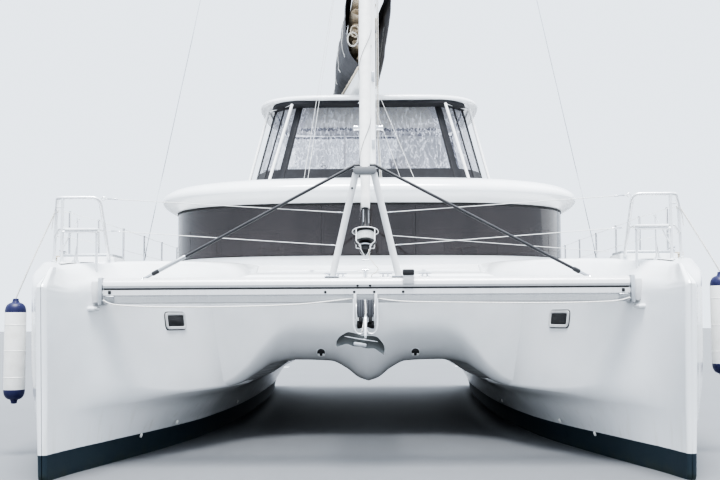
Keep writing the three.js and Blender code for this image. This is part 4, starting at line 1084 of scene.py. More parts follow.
# a horn cleat on two feet
def cleat(shape, point, way, length, finish=0):
    place = facing(point, way, (0, 0, 1))
    horn = throughPoints([(-0.5 * length, 0, 0.034), (-0.3 * length, 0, 0.037), (0.3 * length, 0, 0.037),
        (0.5 * length, 0, 0.034)], 4)
    count = len(horn)
    radii = [0.0085 * (0.55 + 0.45 * math.sin(math.pi * i / (count - 1)) ** 0.5) for i in range(count)]
    shape.tube([place @ p for p in horn], radii, 8, finish=finish)
    for x in (-0.16 * length, 0.16 * length):
        foot = [place @ Vector((x * k, 0, z)) for k, z in ((1.5, 0.0), (1.15, 0.012), (1.0, 0.036))]
        shape.tube(foot, [0.016, 0.01, 0.008], 8, finish=finish)
    shape.plate(superOval(0.42 * length, 0.02, 2.6, 20), 0.0, 0.005, 0.002, place=place, finish=finish)
    return shape


def makeStriker():
    y, r = bow["y"], bow["legRadius"]
    frameShape = Shape()
    for side in (-1, 1):
        foot = Vector((side * bow["footX"], y, bow["top"] - 0.01))
        head = Vector((side * bow["headX"], y, bow["headZ"] - 0.02))
        frameShape.tube([foot, foot.lerp(head, 0.02), foot.lerp(head, 0.5), head], [r * 1.25, r, r, r],
            20)
        frameShape.block((foot.x - 0.075, y - 0.07, bow["top"] - 0.006),
            (foot.x + 0.075, y + 0.07, bow["top"] + 0.008), 0.004, 1)
        for dx in (-0.055, 0.055):
            bolt(frameShape, (foot.x + dx, y - 0.045, bow["top"] + 0.006), (0, 0, 1), 0.009, 1)
    bolt(frameShape, (-0.135, y - 0.034, 2.9), (0, -1, 0), 0.012, 2)
    head = [(-0.105, 3.045), (0.105, 3.045), (0.128, 3.085), (0.1, 3.124), (-0.1, 3.124), (-0.128, 3.085)]
    frontPlate(frameShape, head, y - 0.062, y + 0.062, 0.012, 0.02, 3)
    for side in (-1, 1):
        a, b = sorted((side * 0.03, side * 0.115))
        frameShape.block((a, y - 0.036, 3.118), (b, y + 0.036, 3.134), 0.006, 3)
    piece("striker_tubes", frameShape, [shadedSparPaint, stainless, blackPlastic, headPaint],
        replaces=["striker_frame"])

    rods = Shape()
    endX, endZ = bow["rodEnd"]
    for side in (-1, 1):
        top = Vector((side * 0.11, y, bow["rodTop"]))
        end = Vector((side * endX, y - 0.03, endZ))
        way = (end - top).normalized()
        joint = top + way * ((end - top).length - 0.19)
        rods.tube([top + Vector((-side * 0.06, 0, 0.004)), top, joint], bow["rodRadius"], 14)
        rods.turned([(0.017, 0), (0.024, 0.008), (0.024, 0.07), (0.018, 0.08), (0.012, 0.082)], joint,
            way, 14)
        if side < 0:
            a, b = (joint + way * ((abs(x) - abs(joint.x)) / abs(way.x)) for x in bow["turnbuckle"])
            rods.turned([(0.017, 0), (0.021, 0.01), (0.021, (b - a).length - 0.13),
                (0.017, (b - a).length - 0.12)], a, way, 14, 2)
        for dy in (-0.016, 0.012):
            place = facing(joint + way * 0.07 + Vector((0, dy, 0)), way, (0, 1, 0))
            rods.slab((0.0, 0.135, -0.014, 0.014, 0.013), 0, 0.004, 0.001, place=place, finish=1)
        rods.turned([(0.012, -0.028), (0.012, 0.028)], end, (0, 1, 0), 12, 3)
        lug = [(y - 0.09, endZ - 0.03), (y + 0.02, endZ - 0.03), (y - 0.01, endZ + 0.024),
            (y - 0.05, endZ + 0.024)]
        sidePlate(rods, lug, side * endX - 0.005, side * endX + 0.005, 0.002, 0.012, 1)
    piece("striker_rods", rods, [blackRod, stainless, greyAlloy, blackPlastic],
        replaces=["striker_stay"])


furlerSizes = {"disc": 0.118, "spool": 0.082, "low": 0.305, "high": 0.43, "cage": 0.138, "wire": 0.0055,
    "tack": 0.7, "lay": 1.15, "sides": 30}
# height on the stay and radius of the rolled sail
jibRows = [(0.7, 0.047), (0.78, 0.05), (0.95, 0.053), (1.4, 0.062), (3.0, 0.072), (9.0, 0.066),
    (14.0, 0.046), (16.9, 0.024)]


def makeFurler():
    size = furlerSizes
    drum = Shape()
    low, high, r = size["low"], size["high"], size["disc"]
    drum.turned([(0.0, 0.176), (0.032, 0.176), (0.04, 0.186), (0.06, 0.212), (0.062, 0.238),
        (0.048, 0.246), (0.048, 0.268), (0.044, 0.29), (0.044, low), (r - 0.006, low + 0.001),
        (r, low + 0.006), (r - 0.004, low + 0.013), (size["spool"], low + 0.018),
        (size["spool"], high - 0.004), (r - 0.006, high), (r, high + 0.006), (r - 0.006, high + 0.014),
        (0.06, high + 0.018), (0.044, high + 0.03), (0.04, high + 0.07), (0.036, high + 0.08),
        (0.036, size["tack"])], onStay(0), stayWay, 36)
    drum.turned([(0.05, 0.262), (0.066, 0.268), (0.07, 0.28), (0.066, 0.292), (0.05, 0.298)], onStay(0),
        stayWay, 30, 1)
    for turn in range(3):
        t = 2 * math.pi * turn / 3
        place = facing(onStay(high + 0.1), (math.cos(t), math.sin(t), 0), stayWay)
        drum.add(Shape().block((0.03, -0.006, 0.0), (0.041, 0.006, 0.15), 0.003), place, 1)
    across = stayWay.orthogonal().normalized()
    other = stayWay.cross(across)

    def outward(t):
        return across * math.cos(t) + other * math.sin(t)

    coil = []
    for i in range(7 * 24):
        t = 2 * math.pi * i / 24
        wander = 0.004 * noise.noise(Vector((t * 0.9, 0, 3)))
        h = between(low + 0.026, high - 0.012, i / (7 * 24)) + wander
        coil.append(onStay(h) + outward(t) * (size["spool"] + 0.006 + wander))
    drum.tube(coil, 0.0075, 6, finish=2)
    piece("furling_drum", drum, [blackPlastic, stainless, thinLine], "headsail",
        ["furler"])

    cage = Shape()
    ringAt(cage, onStay(high + 0.004), stayWay, size["cage"], size["wire"], 0, 36)
    for k in range(4):
        t = math.pi / 2 * k
        out = outward(t)
        route = [onStay(high + 0.004) + out * size["cage"], onStay(0.285) + out * size["cage"],
            onStay(0.262) + out * 0.074, onStay(0.215) + out * 0.07, onStay(0.155) + out * 0.012]
        cage.bent(route, 0.012, 3, size["wire"], 8)
    piece("drum_cage", cage, painted("white wire", (0.85, 0.85, 0.84), (0.74, 0.74, 0.74)))

    # the rolled headsail: a spiral edge runs up it
    rows = []
    heights = list(np.arange(size["tack"], 6.0, 0.05)) + list(np.arange(6.0, 16.9, 0.16)) + [16.9]
    for h in heights:
        radius = fromRows(jibRows, 1, h)
        row = []
        for t in roundTurn(size["sides"]):
            wound = (t / (2 * math.pi) - (h - 0.8) / size["lay"]) % 1.0
            lump = 0.0035 * noise.noise(Vector((math.cos(t) * 0.8, math.sin(t) * 0.8, h * 1.7)))
            edge = radius * (0.93 + 0.1 * wound) + lump * ease((h - size["tack"]) / 0.2)
            row.append(onStay(h) + outward(t) * edge)
        rows.append(row)
    jib = Shape().skin(rows)
    line = []
    for h in np.linspace(0.72, 16.8, 420):
        radius = fromRows(jibRows, 1, h)
        line.append(onStay(h) + outward(2 * math.pi * (h - 0.8) / size["lay"]) * radius * 1.02)
    jib.tube(line, 0.0022, 5, finish=1)
    corners = Shape()
    for t, drop in ((2.4, 0.13), (0.6, 0.15)):
        out = outward(t)
        side = stayWay.cross(out)
        rows = []
        for up, half, lift in ((0.06, 0.03, 0.0), (-0.02, 0.022, 0.004), (-drop, 0.003, 0.012)):
            middle = onStay(size["tack"] + up) + out * (0.049 + lift)
            rows.append([middle + side * w for w in (-half, -half * 0.5, 0, half * 0.5, half)])
        corners.skin(rows, False)
    jib.add(corners)
    piece("rolled_headsail", jib, [jibCloth, blackPlastic], "headsail", ["furled_jib"],
        sharp=50)


def makeSpine():
    spine = Shape()
    aft = bridgeSizes["front"] - 0.001
    side = [(bow["y"] - 0.06, 1.585), (bow["y"] - 0.06, 1.697), (aft, 1.697), (aft, 1.582), (-4.0, 1.58)]
    sidePlate(spine, side, -0.11, 0.11, 0.02)
    outline = [(-6.13, 1.69), (-6.145, 1.52), (-6.09, 1.4), (-5.99, 1.37), (-5.9, 1.42), (-5.86, 1.6),
        (-5.86, 1.69)]
    for x0, x1 in ((-0.1, -0.09), (0.09, 0.1)):
        sidePlate(spine, outline, x0, x1, 0.003, 0.05, 1)
    for y, z in ((-6.04, 1.47), (-5.93, 1.62)):
        spine.turned([(0.02, -0.088), (0.04, -0.086), (0.04, -0.06), (0.022, -0.014), (0.022, 0.014),
            (0.04, 0.06), (0.04, 0.086), (0.02, 0.088)], (0, y, z), (1, 0, 0), 24, 2)
        spine.turned([(0.01, -0.112), (0.016, -0.11), (0.016, -0.101), (0.016, 0.101), (0.016, 0.11),
            (0.01, 0.112)], (0, y, z), (1, 0, 0), 14, 1)
    # white straps and polished bails that hang from the beam round the roller
    for side in (-1, 1):
        spine.block((side * 0.108 - 0.016, -6.085, 1.53), (side * 0.108 + 0.016, -6.06, 1.79), 0.006)
    for y, x0, x1 in ((-6.118, -0.122, 0.008), (-6.108, -0.004, 0.122)):
        bail = [(x0, y, 1.74), (x0, y, 1.46), (between(x0, x1, 0.12), y, 1.4),
            (between(x0, x1, 0.38), y, 1.375), (between(x0, x1, 0.62), y, 1.375),
            (between(x0, x1, 0.88), y, 1.4), (x1, y, 1.46), (x1, y, 1.56)]
        if x1 > 0.05:
            bail[0], bail[-1] = (x0, y, 1.56), (x1, y, 1.74)
        spine.bent(bail, 0.04, 4, 0.0105, 10, finish=1)
    spine.tube([(-0.004, -6.125, 1.73), (0.006, -6.13, 1.6), (-0.036, -6.135, 1.4)], 0.0085, 8, finish=5)
    for x0, x1 in ((-0.085, -0.016), (0.016, 0.078)):
        spine.block((x0, -6.098, 1.545), (x1, -6.05, 1.735), 0.012, 4)
        for k in (0.25, 0.5, 0.75):
            spine.block((between(x0, x1, k) - 0.003, -6.101, 1.55),
                (between(x0, x1, k) + 0.003, -6.096, 1.73), 0.002, 3)
        spine.block((x0 + 0.016, -6.102, 1.492), (x1 - 0.012, -6.045, 1.548), 0.012, 3)
    piece("bow_roller", spine, [shadedSparPaint, brightTube, rubber, blackPlastic, greyRod, whiteRope],
        replaces=["bow_spine"])


# the fluke, a bow tie with a dished face: across, the heights and depths of its two edges
fluke = {
    "across": (0.0, 0.07, 0.135, 0.20, 0.236, 0.246), "at": (-0.046, 0, 1.285), "tilt": 9.5,
    "up": (0.075, 0.088, 0.092, 0.052, 0.010, -0.022),
    "upY": (-6.265, -6.280, -6.300, -6.309, -6.300, -6.286),
    "low": (-0.036, -0.042, -0.031, -0.056, -0.074, -0.080),
    "lowY": (-6.225, -6.225, -6.230, -6.250, -6.264, -6.268),
}


def makeAnchor():
    anchor = Shape()
    sidePlate(anchor, [(-6.285, 1.335), (-6.225, 1.33), (-6.13, 1.512), (-5.96, 1.545), (-5.56, 1.585),
        (-5.56, 1.635), (-6.01, 1.574), (-6.18, 1.56)], -0.014, 0.014, 0.005, 0.03, 2)
    tilted = Matrix.Translation(fluke["at"]) @ Matrix.Rotation(math.radians(fluke["tilt"]), 4, "Y")
    across = fluke["across"]
    rows = []
    for x in np.linspace(-across[-1], across[-1], 45):
        up, upY, low, lowY = (faired(across, fluke[k], abs(float(x)))
            for k in ("up", "upY", "low", "lowY"))
        front, back = [], []
        for t in np.linspace(0, 1, 11):
            y = between(upY, lowY, t) + 0.022 * math.sin(math.pi * t)
            front.append(tilted @ Vector((x, y, between(up, low, t))))
            back.append(tilted @ Vector((x, y + 0.011, between(up, low, t))))
        rows.append(front + back[::-1])
    anchor.skin(rows)
    # a ridge across the fluke's face, polished so that it shows as a bright line: partly a real ridge,
    # partly a painted highlight
    ridge = [tilted @ Vector((x, -6.303 - 0.004 * (1 - abs(x) / 0.17), 0.041 + 0.012 * abs(x)))
        for x in np.linspace(-0.175, 0.165, 9)]
    anchor.tube(ridge, [0.003, 0.006, *[0.0065] * 5, 0.006, 0.003], 8, finish=1)
    anchor.block((-0.075, -6.268, -0.034), (0.06, -6.236, 0.006), 0.012, 2, tilted)
    anchor.turned([(0.012, -0.03), (0.012, 0.03)], (0, -5.6, 1.61), (1, 0, 0), 12, 1)
    piece("bower_anchor", anchor, [galvanised, stainless, greyAlloy], replaces=["anchor"],
        sharp=40)


# white rope slung under the beam from each end to the roller, and small line tails
slungRope = {
    "y": -6.086, "diameter": 0.014,
    "stbd": ((-2.722, 1.738), (-2.58, 1.688), (-2.11, 1.664), (-1.4, 1.663), (-0.7, 1.684),
        (-0.124, 1.742)),
    "port": ((2.722, 1.738), (2.58, 1.705), (2.3, 1.692), (1.85, 1.686), (1.13, 1.694), (0.42, 1.708),
        (0.124, 1.742)),
}


def makeSlungRope():
    for side in ("port", "stbd"):
        points = [(x, slungRope["y"], z) for x, z in slungRope[side]]
        points[-1] = (points[-1][0], slungRope["y"] + 0.045, points[-1][2])
        rope(f"slung_rope_{side}", throughPoints(points, 6), slungRope["diameter"], whiteRope)
    y = bow["y"] - 0.07
    tail = [(0.034, y + 0.082, 2.258), (0.05, y + 0.035, 2.17), (0.105, y - 0.005, 2.085),
        (0.134, y - 0.01, 2.05), (0.11, y - 0.01, 2.012), (0.072, y - 0.004, 1.992),
        (0.062, y + 0.03, 1.968)]
    rope("furling_tail", throughPoints(tail, 6), 0.007, dockRope)


makeBeam()
makeStriker()
makeFurler()
makeSpine()
makeAnchor()
makeSlungRope()
print("bow gear done")


# Trampolines, pulpits, guard rails and fenders

# Trampolines: height, inner edge and ends of the opening, and how far the net sags
netSizes = {"height": 1.868, "inner": 0.115, "aft": -3.294, "fore": -5.845, "sag": 0.035, "hem": 0.012}


def netEdge(y):
    return min(2.68, innerSide(y, 1.86) - 0.05)


def makeNets():
    size = netSizes
    ys = np.linspace(size["fore"], size["aft"], 40)
    rows = []
    for i, y in enumerate(ys):
        outer = min(netEdge(float(y)), 1.5 + 9 * max(0.0, size["aft"] - y + 0.02))
        row = []
        for t in np.linspace(0, 1, 40):
            dip = size["sag"] * math.sin(math.pi * t) * math.sin(math.pi * i / (len(ys) - 1))
            row.append((between(size["inner"], outer, float(t)), float(y), size["height"] - dip))
        rows.append(row)
    area = sum((a[-1][0] - a[0][0] + b[-1][0] - b[0][0]) / 2 * (b[0][1] - a[0][1])
        for a, b in zip(rows, rows[1:]))
    mesh = Shape().skin(rows, False)
    edge = [rows[0][0], rows[0][-1], *[r[-1] for r in rows[2:-1:3]], rows[-1][-1], rows[-1][0]]
    hem, lacing = Shape(), Shape()
    border = spaced([Vector(p) for p in edge + [edge[0]]], 150)[:-1]
    hem.tube(border, size["hem"], 8, True)
    middle = Vector((1.0, -4.6, size["height"]))
    zigzag = []
    for i, p in enumerate(spaced([Vector(q) for q in edge + [edge[0]]], 160)[:-1]):
        out = p - middle
        out.z = 0
        zigzag.append(p + out.normalized() * (0.028 if i % 2 else -0.004) + Vector((0, 0, 0.01)))
    lacing.tube(zigzag, 0.0025, 5, True)
    width = max(r[-1][0] for r in rows) - size["inner"]
    for side in ("port", "stbd"):
        sheet = piece(f"bow_net_{side}", onSide(mesh, side), net,
            replaces=[f"trampoline_{side}"])
        border = piece(f"net_hem_{side}", onSide(hem, side), jibCloth)
        lace = piece(f"net_lacing_{side}", onSide(lacing, side), thinLine)


pulpitSizes = {"y": -5.9, "top": 2.83, "middle": 2.5, "inner": 2.82, "outer": 3.27, "aft": (3.58, -4.92),
    "tube": 0.0185, "thin": 0.0145}


def innerLeg(z):
    size = pulpitSizes
    t = (size["top"] - z) / (size["top"] - 2.18)
    return (size["inner"] + 0.03 * t, size["y"] + 0.56 * t, z)


def deckFoot(shape, point, radius=0.034, finish=0):
    return shape.turned([(radius, -0.003), (radius, 0.004), (radius * 0.6, 0.01), (radius * 0.55, 0.03),
        (radius * 0.4, 0.032)], point, (0, 0, 1), 16, finish)


def makePulpits():
    size = pulpitSizes
    y, top, middle, inner, outer = (size[k] for k in ("y", "top", "middle", "inner", "outer"))
    ax, ay = size["aft"]
    rails = Shape()
    rail = [innerLeg(2.16), innerLeg(top), (outer, y, top), (ax, ay, top), (ax + 0.02, ay, 2.215)]
    rails.bent(rail, [0, 0.09, 0.07, 0.09, 0], 6, size["tube"], 12)
    rails.bent([innerLeg(middle), (outer - 0.03, y, middle), (ax + 0.01, ay, middle)], 0.06, 5,
        size["thin"], 10)
    rails.tube([(inner + 0.02, y - 0.005, middle - 0.035), (outer - 0.06, y - 0.005, middle - 0.035)],
        size["thin"], 10)
    rails.tube([(outer - 0.055, y, 2.12), (outer - 0.055, y, top)], 0.0165, 12)
    rails.tube([(outer - 0.055, y, 2.73), (outer + 0.005, y + 0.01, 2.73)], 0.009, 8)
    rails.tube([(inner + 0.06, y + 0.13, 1.93), (inner + 0.06, y + 0.13, middle)], size["thin"], 10)
    # the inverted V and the seat
    apex = Vector((outer - 0.215, y + 0.02, 2.6))
    rails.tube([(outer - 0.2, y + 0.06, 2.13), apex, (outer - 0.055, y, 2.27)], 0.01, 8)
    rails.tube([(outer - 0.165, y + 0.07, 2.13), (outer - 0.2, y + 0.05, 2.32)], 0.008, 8)
    rails.turned([(0.014, -0.016), (0.017, 0.0), (0.014, 0.016)], apex, (0, 1, 0), 12)
    for foot in ((outer - 0.055, y, 2.138), (ax + 0.02, ay, 2.208), innerLeg(2.185),
            (outer - 0.2, y + 0.06, 2.138), (outer - 0.165, y + 0.07, 2.138)):
        deckFoot(rails, foot)
    seat = roundedBox(inner + 0.01, outer - 0.075, y - 0.035, y + 0.205, 0.05)
    rails.plate(seat, middle - 0.022, middle + 0.004, 0.008, 3, finish=1)
    ringAt(rails, (inner - 0.035, y + 0.02, top - 0.01), (0, 1, 0), 0.018, 0.006)
    pair("pulpit_{}_rail", rails, [brightTube, white], replaces=["pulpit_{}"])


# guard lines from the pulpits to the striker
def makeBowLines():
    y, top, middle, inner = (pulpitSizes[k] for k in ("y", "top", "middle", "inner"))

    def legAt(side, z):
        t = (z - bow["top"]) / (bow["headZ"] - bow["top"])
        return between(bow["footX"], bow["headX"], t) * side

    for side, name in ((1, "port"), (-1, "stbd")):
        lines = Shape()
        for startZ, endZ, start in ((top - 0.01, 2.645, inner - 0.05), (middle, 2.3, inner - 0.02)):
            a = Vector((side * start, y + (0.02 if startZ > 2.6 else 0.3), startZ))
            b = Vector((legAt(side, endZ) + side * 0.03, bow["y"] - 0.005, endZ))
            way = (b - a).normalized()
            lines.tube([a, b], 0.0042, 8)
            lines.turned([(0.006, 0.0), (0.0095, 0.01), (0.0095, 0.1), (0.006, 0.11)], a + way * 0.03,
                way, 10, 1)
            lines.turned([(0.0045, 0.0), (0.007, 0.01), (0.007, 0.05), (0.0045, 0.06)], b - way * 0.08,
                way, 10, 1)
        if side > 0:
            lines.tube([(2.62, y + 0.25, 2.235), (2.3, y + 0.1, 2.25), (0.285, bow["y"], 2.4)], 0.0036, 8)
        piece(f"bow_guard_lines_{name}", lines, [thinLine, stainless])


railSizes = {"places": (-3.6, -2.15, -0.7, 0.75, 2.2, 3.65, 5.1), "inset": 0.15, "middle": 0.32,
    "top": 0.64}


def makeGuardRails():
    size = railSizes
    feet = [Vector((hullAt(y)["outer"] - size["inset"], y, hullAt(y)["deck"])) for y in size["places"]]
    posts = Shape()
    ax, ay = pulpitSizes["aft"]
    for foot in feet:
        deckFoot(posts, foot, 0.045)
        posts.turned([(0.0175, 0.0), (0.0175, 0.05), (0.0135, 0.055), (0.0135, 0.636), (0.016, 0.64),
            (0.016, 0.652), (0.01, 0.658)], foot, (0, 0, 1), 14)
        for up in (size["middle"], size["top"]):
            posts.turned([(0.009, -0.018), (0.009, 0.018)], foot + Vector((0, 0, up)), (0, 1, 0), 10)
    for up, startZ in ((size["middle"], pulpitSizes["middle"]),
            (size["top"], pulpitSizes["top"] - 0.025)):
        wire = [Vector((ax + 0.005, ay + 0.016, startZ))] + [foot + Vector((0, 0, up)) for foot in feet]
        route = []
        for a, b in zip(wire, wire[1:]):
            route += [a.lerp(b, t) - Vector((0, 0, 0.006 * math.sin(math.pi * t)))
                for t in (0.0, 0.25, 0.5, 0.75)]
        posts.tube(route + [wire[-1]], 0.0042, 8, finish=1)
        for a, b in ((wire[0], wire[1]), (wire[-1], wire[-2])):
            way = (b - a).normalized()
            posts.turned([(0.005, 0.01), (0.009, 0.02), (0.009, 0.12), (0.005, 0.13)], a, way, 10)
    pair("guard_rail_{}", posts, [stainless, thinLine], replaces=["guardrail_{}"])


fenderSizes = {"x": 4.035, "radius": 0.119, "length": 1.2, "tops": {"port": 2.045, "stbd": 1.785}}


def makeFenders():
    size = fenderSizes
    r = size["radius"]
    ax, ay = pulpitSizes["aft"]
    for side, top in size["tops"].items():
        body = Shape()
        profile = [(0.012, 0.0), (0.032, -0.004), (0.036, -0.03), (0.045, -0.045)]
        for a in np.linspace(0.25, math.pi / 2, 7):
            profile.append((0.045 + (r - 0.045) * math.sin(a) ** 0.9, -0.05 - 0.1 * (1 - math.cos(a))))
        cap = profile + [(r, -0.16)]
        barrel = [(r, -0.16), (r + 0.001, -0.165), (r + 0.001, -0.6), (r + 0.001, -1.035), (r, -1.04)]
        low = [(radius, -size["length"] - h) for radius, h in reversed(cap)]
        at = (size["x"], ay, top)
        for part, colour in ((cap, 1), (barrel, 0), (low, 1)):
            body.turned([(radius, -h) for radius, h in part], at, (0, 0, -1), 32, colour)
        for z in (-0.3, -0.6, -0.9):
            body.turned([(r - 0.002, -z - 0.008), (r + 0.004, -z), (r - 0.002, -z + 0.008)], at,
                (0, 0, -1), 32)
        eye = Vector((size["x"], ay, top + 0.002))
        knot = Vector((ax + 0.01, ay, pulpitSizes["top"] - 0.03))
        sag = Vector((0.015, 0.0, -0.02))
        line = [eye + (knot - eye) * t + sag * math.sin(math.pi * t) for t in np.linspace(0, 1, 10)]
        body.tube(line, 0.01, 8, finish=2)
        for k in range(3):
            ringAt(body, (ax, ay, pulpitSizes["top"] - 0.03 - 0.013 * k), (0.1 * k, 0.05, 1), 0.02,
                0.0065, 2, 12, 6)
        body.tube([knot + Vector((0.01, 0.015, 0)), knot + Vector((0.035, 0.02, -0.1)),
            knot + Vector((0.05, 0.02, -0.22))], 0.005, 6, finish=2)
        piece(f"hull_fender_{side}", onSide(body, side), [whiteVinyl, navyVinyl, whiteRope],
            replaces=[f"fender_{side}"])


# a rope laid in a round coil on the deck's edge, inboard of the pulpit's after leg
coilSizes = {"x": 3.6, "behind": 0.22, "z": 2.226, "turns": 6, "steps": 14, "radius": 0.085,
    "diameter": 0.012}


def makeCoils():
    size = coilSizes
    y = pulpitSizes["aft"][1] + size["behind"]
    coil = []
    for i in range(size["turns"] * size["steps"] + 1):
        t = 2 * math.pi * i / size["steps"]
        layer = i / size["steps"]
        radius = size["radius"] - 0.009 * (layer % 3)
        coil.append((size["x"] + radius * math.cos(t), y + radius * math.sin(t) * 0.9,
            size["z"] + 0.0135 * (layer / 3) * 2 + 0.002 * math.sin(3 * t)))
    for side, name in ((1, "port"), (-1, "stbd")):
        path = [(side * x, y, z) for x, y, z in coil]
        rope(f"deck_coil_{name}", path, size["diameter"], dockRope)


makeNets()
makePulpits()
makeBowLines()
makeGuardRails()
makeFenders()
makeCoils()
print("nets, pulpits, rails and fenders done")


# Cabin: curved glass on a white base, a thick rounded roof, the after bulkhead

cabin = {
    "half": 3.08, "nose": 2.2, "centre": 0.3, "power": 2.8, "aft": 2.6, "saloonFloor": 1.3003,
    "cockpitFloor": 1.3503, "deck": 2.3003, "sill": 2.46, "glassLow": 2.446, "glassHigh": 3.17,
    "under": 3.20, "thick": 0.0153, "split": 0.68, "corner": -0.50, "glassAft": 2.42, "frit": 0.045,
    "tailCentre": 4.3, "tail": 1.4, "tailPower": 4.5,
}
roofEdge = [(0.03, 3.2), (0.1, 3.232), (0.17, 3.275), (0.222, 3.33), (0.232, 3.372), (0.216, 3.425),
    (0.165, 3.475), (0.06, 3.532), (-0.12, 3.576), (-0.35, 3.612), (-0.62, 3.635), (-0.9, 3.65)]
stairwell = (-2.47, -1.9, 3.15, 4.35)


def rounded(value, power):
    return math.copysign(abs(value) ** (2 / power), value)


def cabinLine():
    size = cabin
    line = []
    for t in np.linspace(math.pi / 2, 0, 160):
        line.append(Vector((size["half"] * rounded(math.cos(t), size["power"]),
            size["centre"] - size["nose"] * rounded(math.sin(t), size["power"]))))
    line += [Vector((size["half"], y)) for y in np.linspace(size["centre"] + 0.05, size["aft"], 40)]
    return spaced(line, 400)


cabinHalf = cabinLine()
cabinRun = np.concatenate([[0], np.cumsum([(b - a).length for a, b in zip(cabinHalf, cabinHalf[1:])])])


# a point beside the cabin's outline, at a distance from its nose: positive runs round the port side
def besideCabin(distance, offset):
    d = min(abs(distance), cabinRun[-1])
    x = np.interp(d, cabinRun, [p.x for p in cabinHalf])
    y = np.interp(d, cabinRun, [p.y for p in cabinHalf])
    i = int(np.clip(np.searchsorted(cabinRun, d), 1, len(cabinHalf) - 1))
    way = (cabinHalf[i] - cabinHalf[i - 1]).normalized()
    side = 1 if distance >= 0 else -1
    return (side * (x + way.y * offset), y - way.x * offset)


def runTo(y):
    return float(np.interp(y, [p.y for p in cabinHalf], cabinRun))


def cabinStrip(shape, a, b, profile, finish=0, step=0.06):
    rows = []
    for d in np.linspace(a, b, max(3, int(abs(b - a) / step))):
        rows.append([(*besideCabin(float(d), offset), z) for offset, z in profile])
    return shape.skin(rows, True, True, finish)


def roofRing(offset, z):
    size = cabin
    ring = []
    for t in np.linspace(0, math.pi, 90):
        ring.append(((size["half"] + offset) * rounded(math.cos(t), size["power"]),
            size["centre"] - (size["nose"] + offset) * rounded(math.sin(t), size["power"]), z))
    for t in np.linspace(0, math.pi, 60):
        ring.append((-(size["half"] + offset) * rounded(math.cos(t), size["tailPower"]),
            size["tailCentre"] + (size["tail"] + offset) * rounded(math.sin(t), size["tailPower"]), z))
    return ring


def makeCabin():
    size = cabin
    corner, aft = runTo(size["corner"]), runTo(size["aft"] - 0.001)
    glassAft = runTo(size["glassAft"])
    wall = Shape()
    base = [(-0.016, size["deck"]), (-0.004, size["deck"]), (-0.012, size["deck"] + 0.02),
        (-0.017, size["deck"] + 0.05), (-0.017, size["sill"] - 0.03), (-0.017, size["sill"]),
        (-0.09, size["sill"]), (-0.09, size["deck"])]
    cabinStrip(wall, -aft, aft, base)
    cabinStrip(wall, -aft, aft, [(-0.017, 3.13), (-0.017, 3.1997), (-0.09, 3.1997), (-0.09, 3.13)], 1)
    mullions = [(size["split"] - 0.02, size["split"] + 0.06), (corner - 0.06, corner + 0.06),
        (glassAft - 0.1, aft)]
    for a, b in mullions:
        for side in (-1, 1):
            cabinStrip(wall, side * a, side * b, [(-0.017, size["sill"]), (-0.017, 3.13), (-0.09, 3.13),
                (-0.09, size["sill"])], 1)
    cabinStrip(wall, -glassAft, glassAft, [(-0.03, 3.168), (0.004, 3.168), (0.008, 3.176),
        (0.004, 3.1985), (-0.03, 3.1985)], 2)
    cabinStrip(wall, -glassAft, glassAft, [(-0.016, 2.437), (0.0015, 2.437), (0.0015, 2.4445),
        (-0.016, 2.4445)], 2)
    piece("cabin_shell", wall, [white, blackPlastic, rubber], replaces=["cabin_wall"],
        sharp=40)


def makeGlass():
    size = cabin
    corner, glassAft = runTo(size["corner"]), runTo(size["glassAft"])
    t = size["thick"]
    low, high = size["glassLow"], size["glassHigh"]
    joint = [(-0.001, low), (-0.001, high), (-t, high), (-t, low)]
    section = [(-0.002, low), (0.0, low + 0.002), (0.0, high - 0.002), (-0.002, high),
        (-t + 0.002, high), (-t, high - 0.002), (-t, low + 0.002), (-t + 0.002, low)]
    front = [(-corner + 0.004, -size["split"] - 0.004), (-size["split"] + 0.004, size["split"] - 0.004),
        (size["split"] + 0.004, corner - 0.004)]
    shape, frit = Shape(), Shape()

    def glaze(shape, frit, a, b):
        cabinStrip(shape, a, b, section)
        edge = size["frit"]
        inner = [(-t - 0.0008, z) for z in (low, high)] + [(-t - 0.0003, z) for z in (high, low)]
        cabinStrip(frit, a, a + edge, inner)
        cabinStrip(frit, b - edge, b, inner)
        for z0, z1 in ((low, low + edge), (high - edge * 0.7, high)):
            cabinStrip(frit, a + edge, b - edge, [(-t - 0.0008, z0), (-t - 0.0008, z1),
                (-t - 0.0003, z1), (-t - 0.0003, z0)])

    for a, b in front:
        glaze(shape, frit, a, b)
    for d in (-size["split"], size["split"], -corner, corner):
        cabinStrip(frit, d - 0.0045, d + 0.0045, joint)
    piece("windscreen", shape, tinted, replaces=["glass_front"])
    side, sideFrit = Shape(), Shape()
    middle = (corner + glassAft) / 2
    glaze(side, sideFrit, corner + 0.004, middle - 0.004)
    glaze(side, sideFrit, middle + 0.004, glassAft)
    cabinStrip(sideFrit, middle - 0.0045, middle + 0.0045, joint)
    pair("side_glass_{}", side, tinted, replaces=["glass_{}"])
    frit.add(sideFrit).add(sideFrit.mirrored())
    piece("glass_frit", frit, rubber)


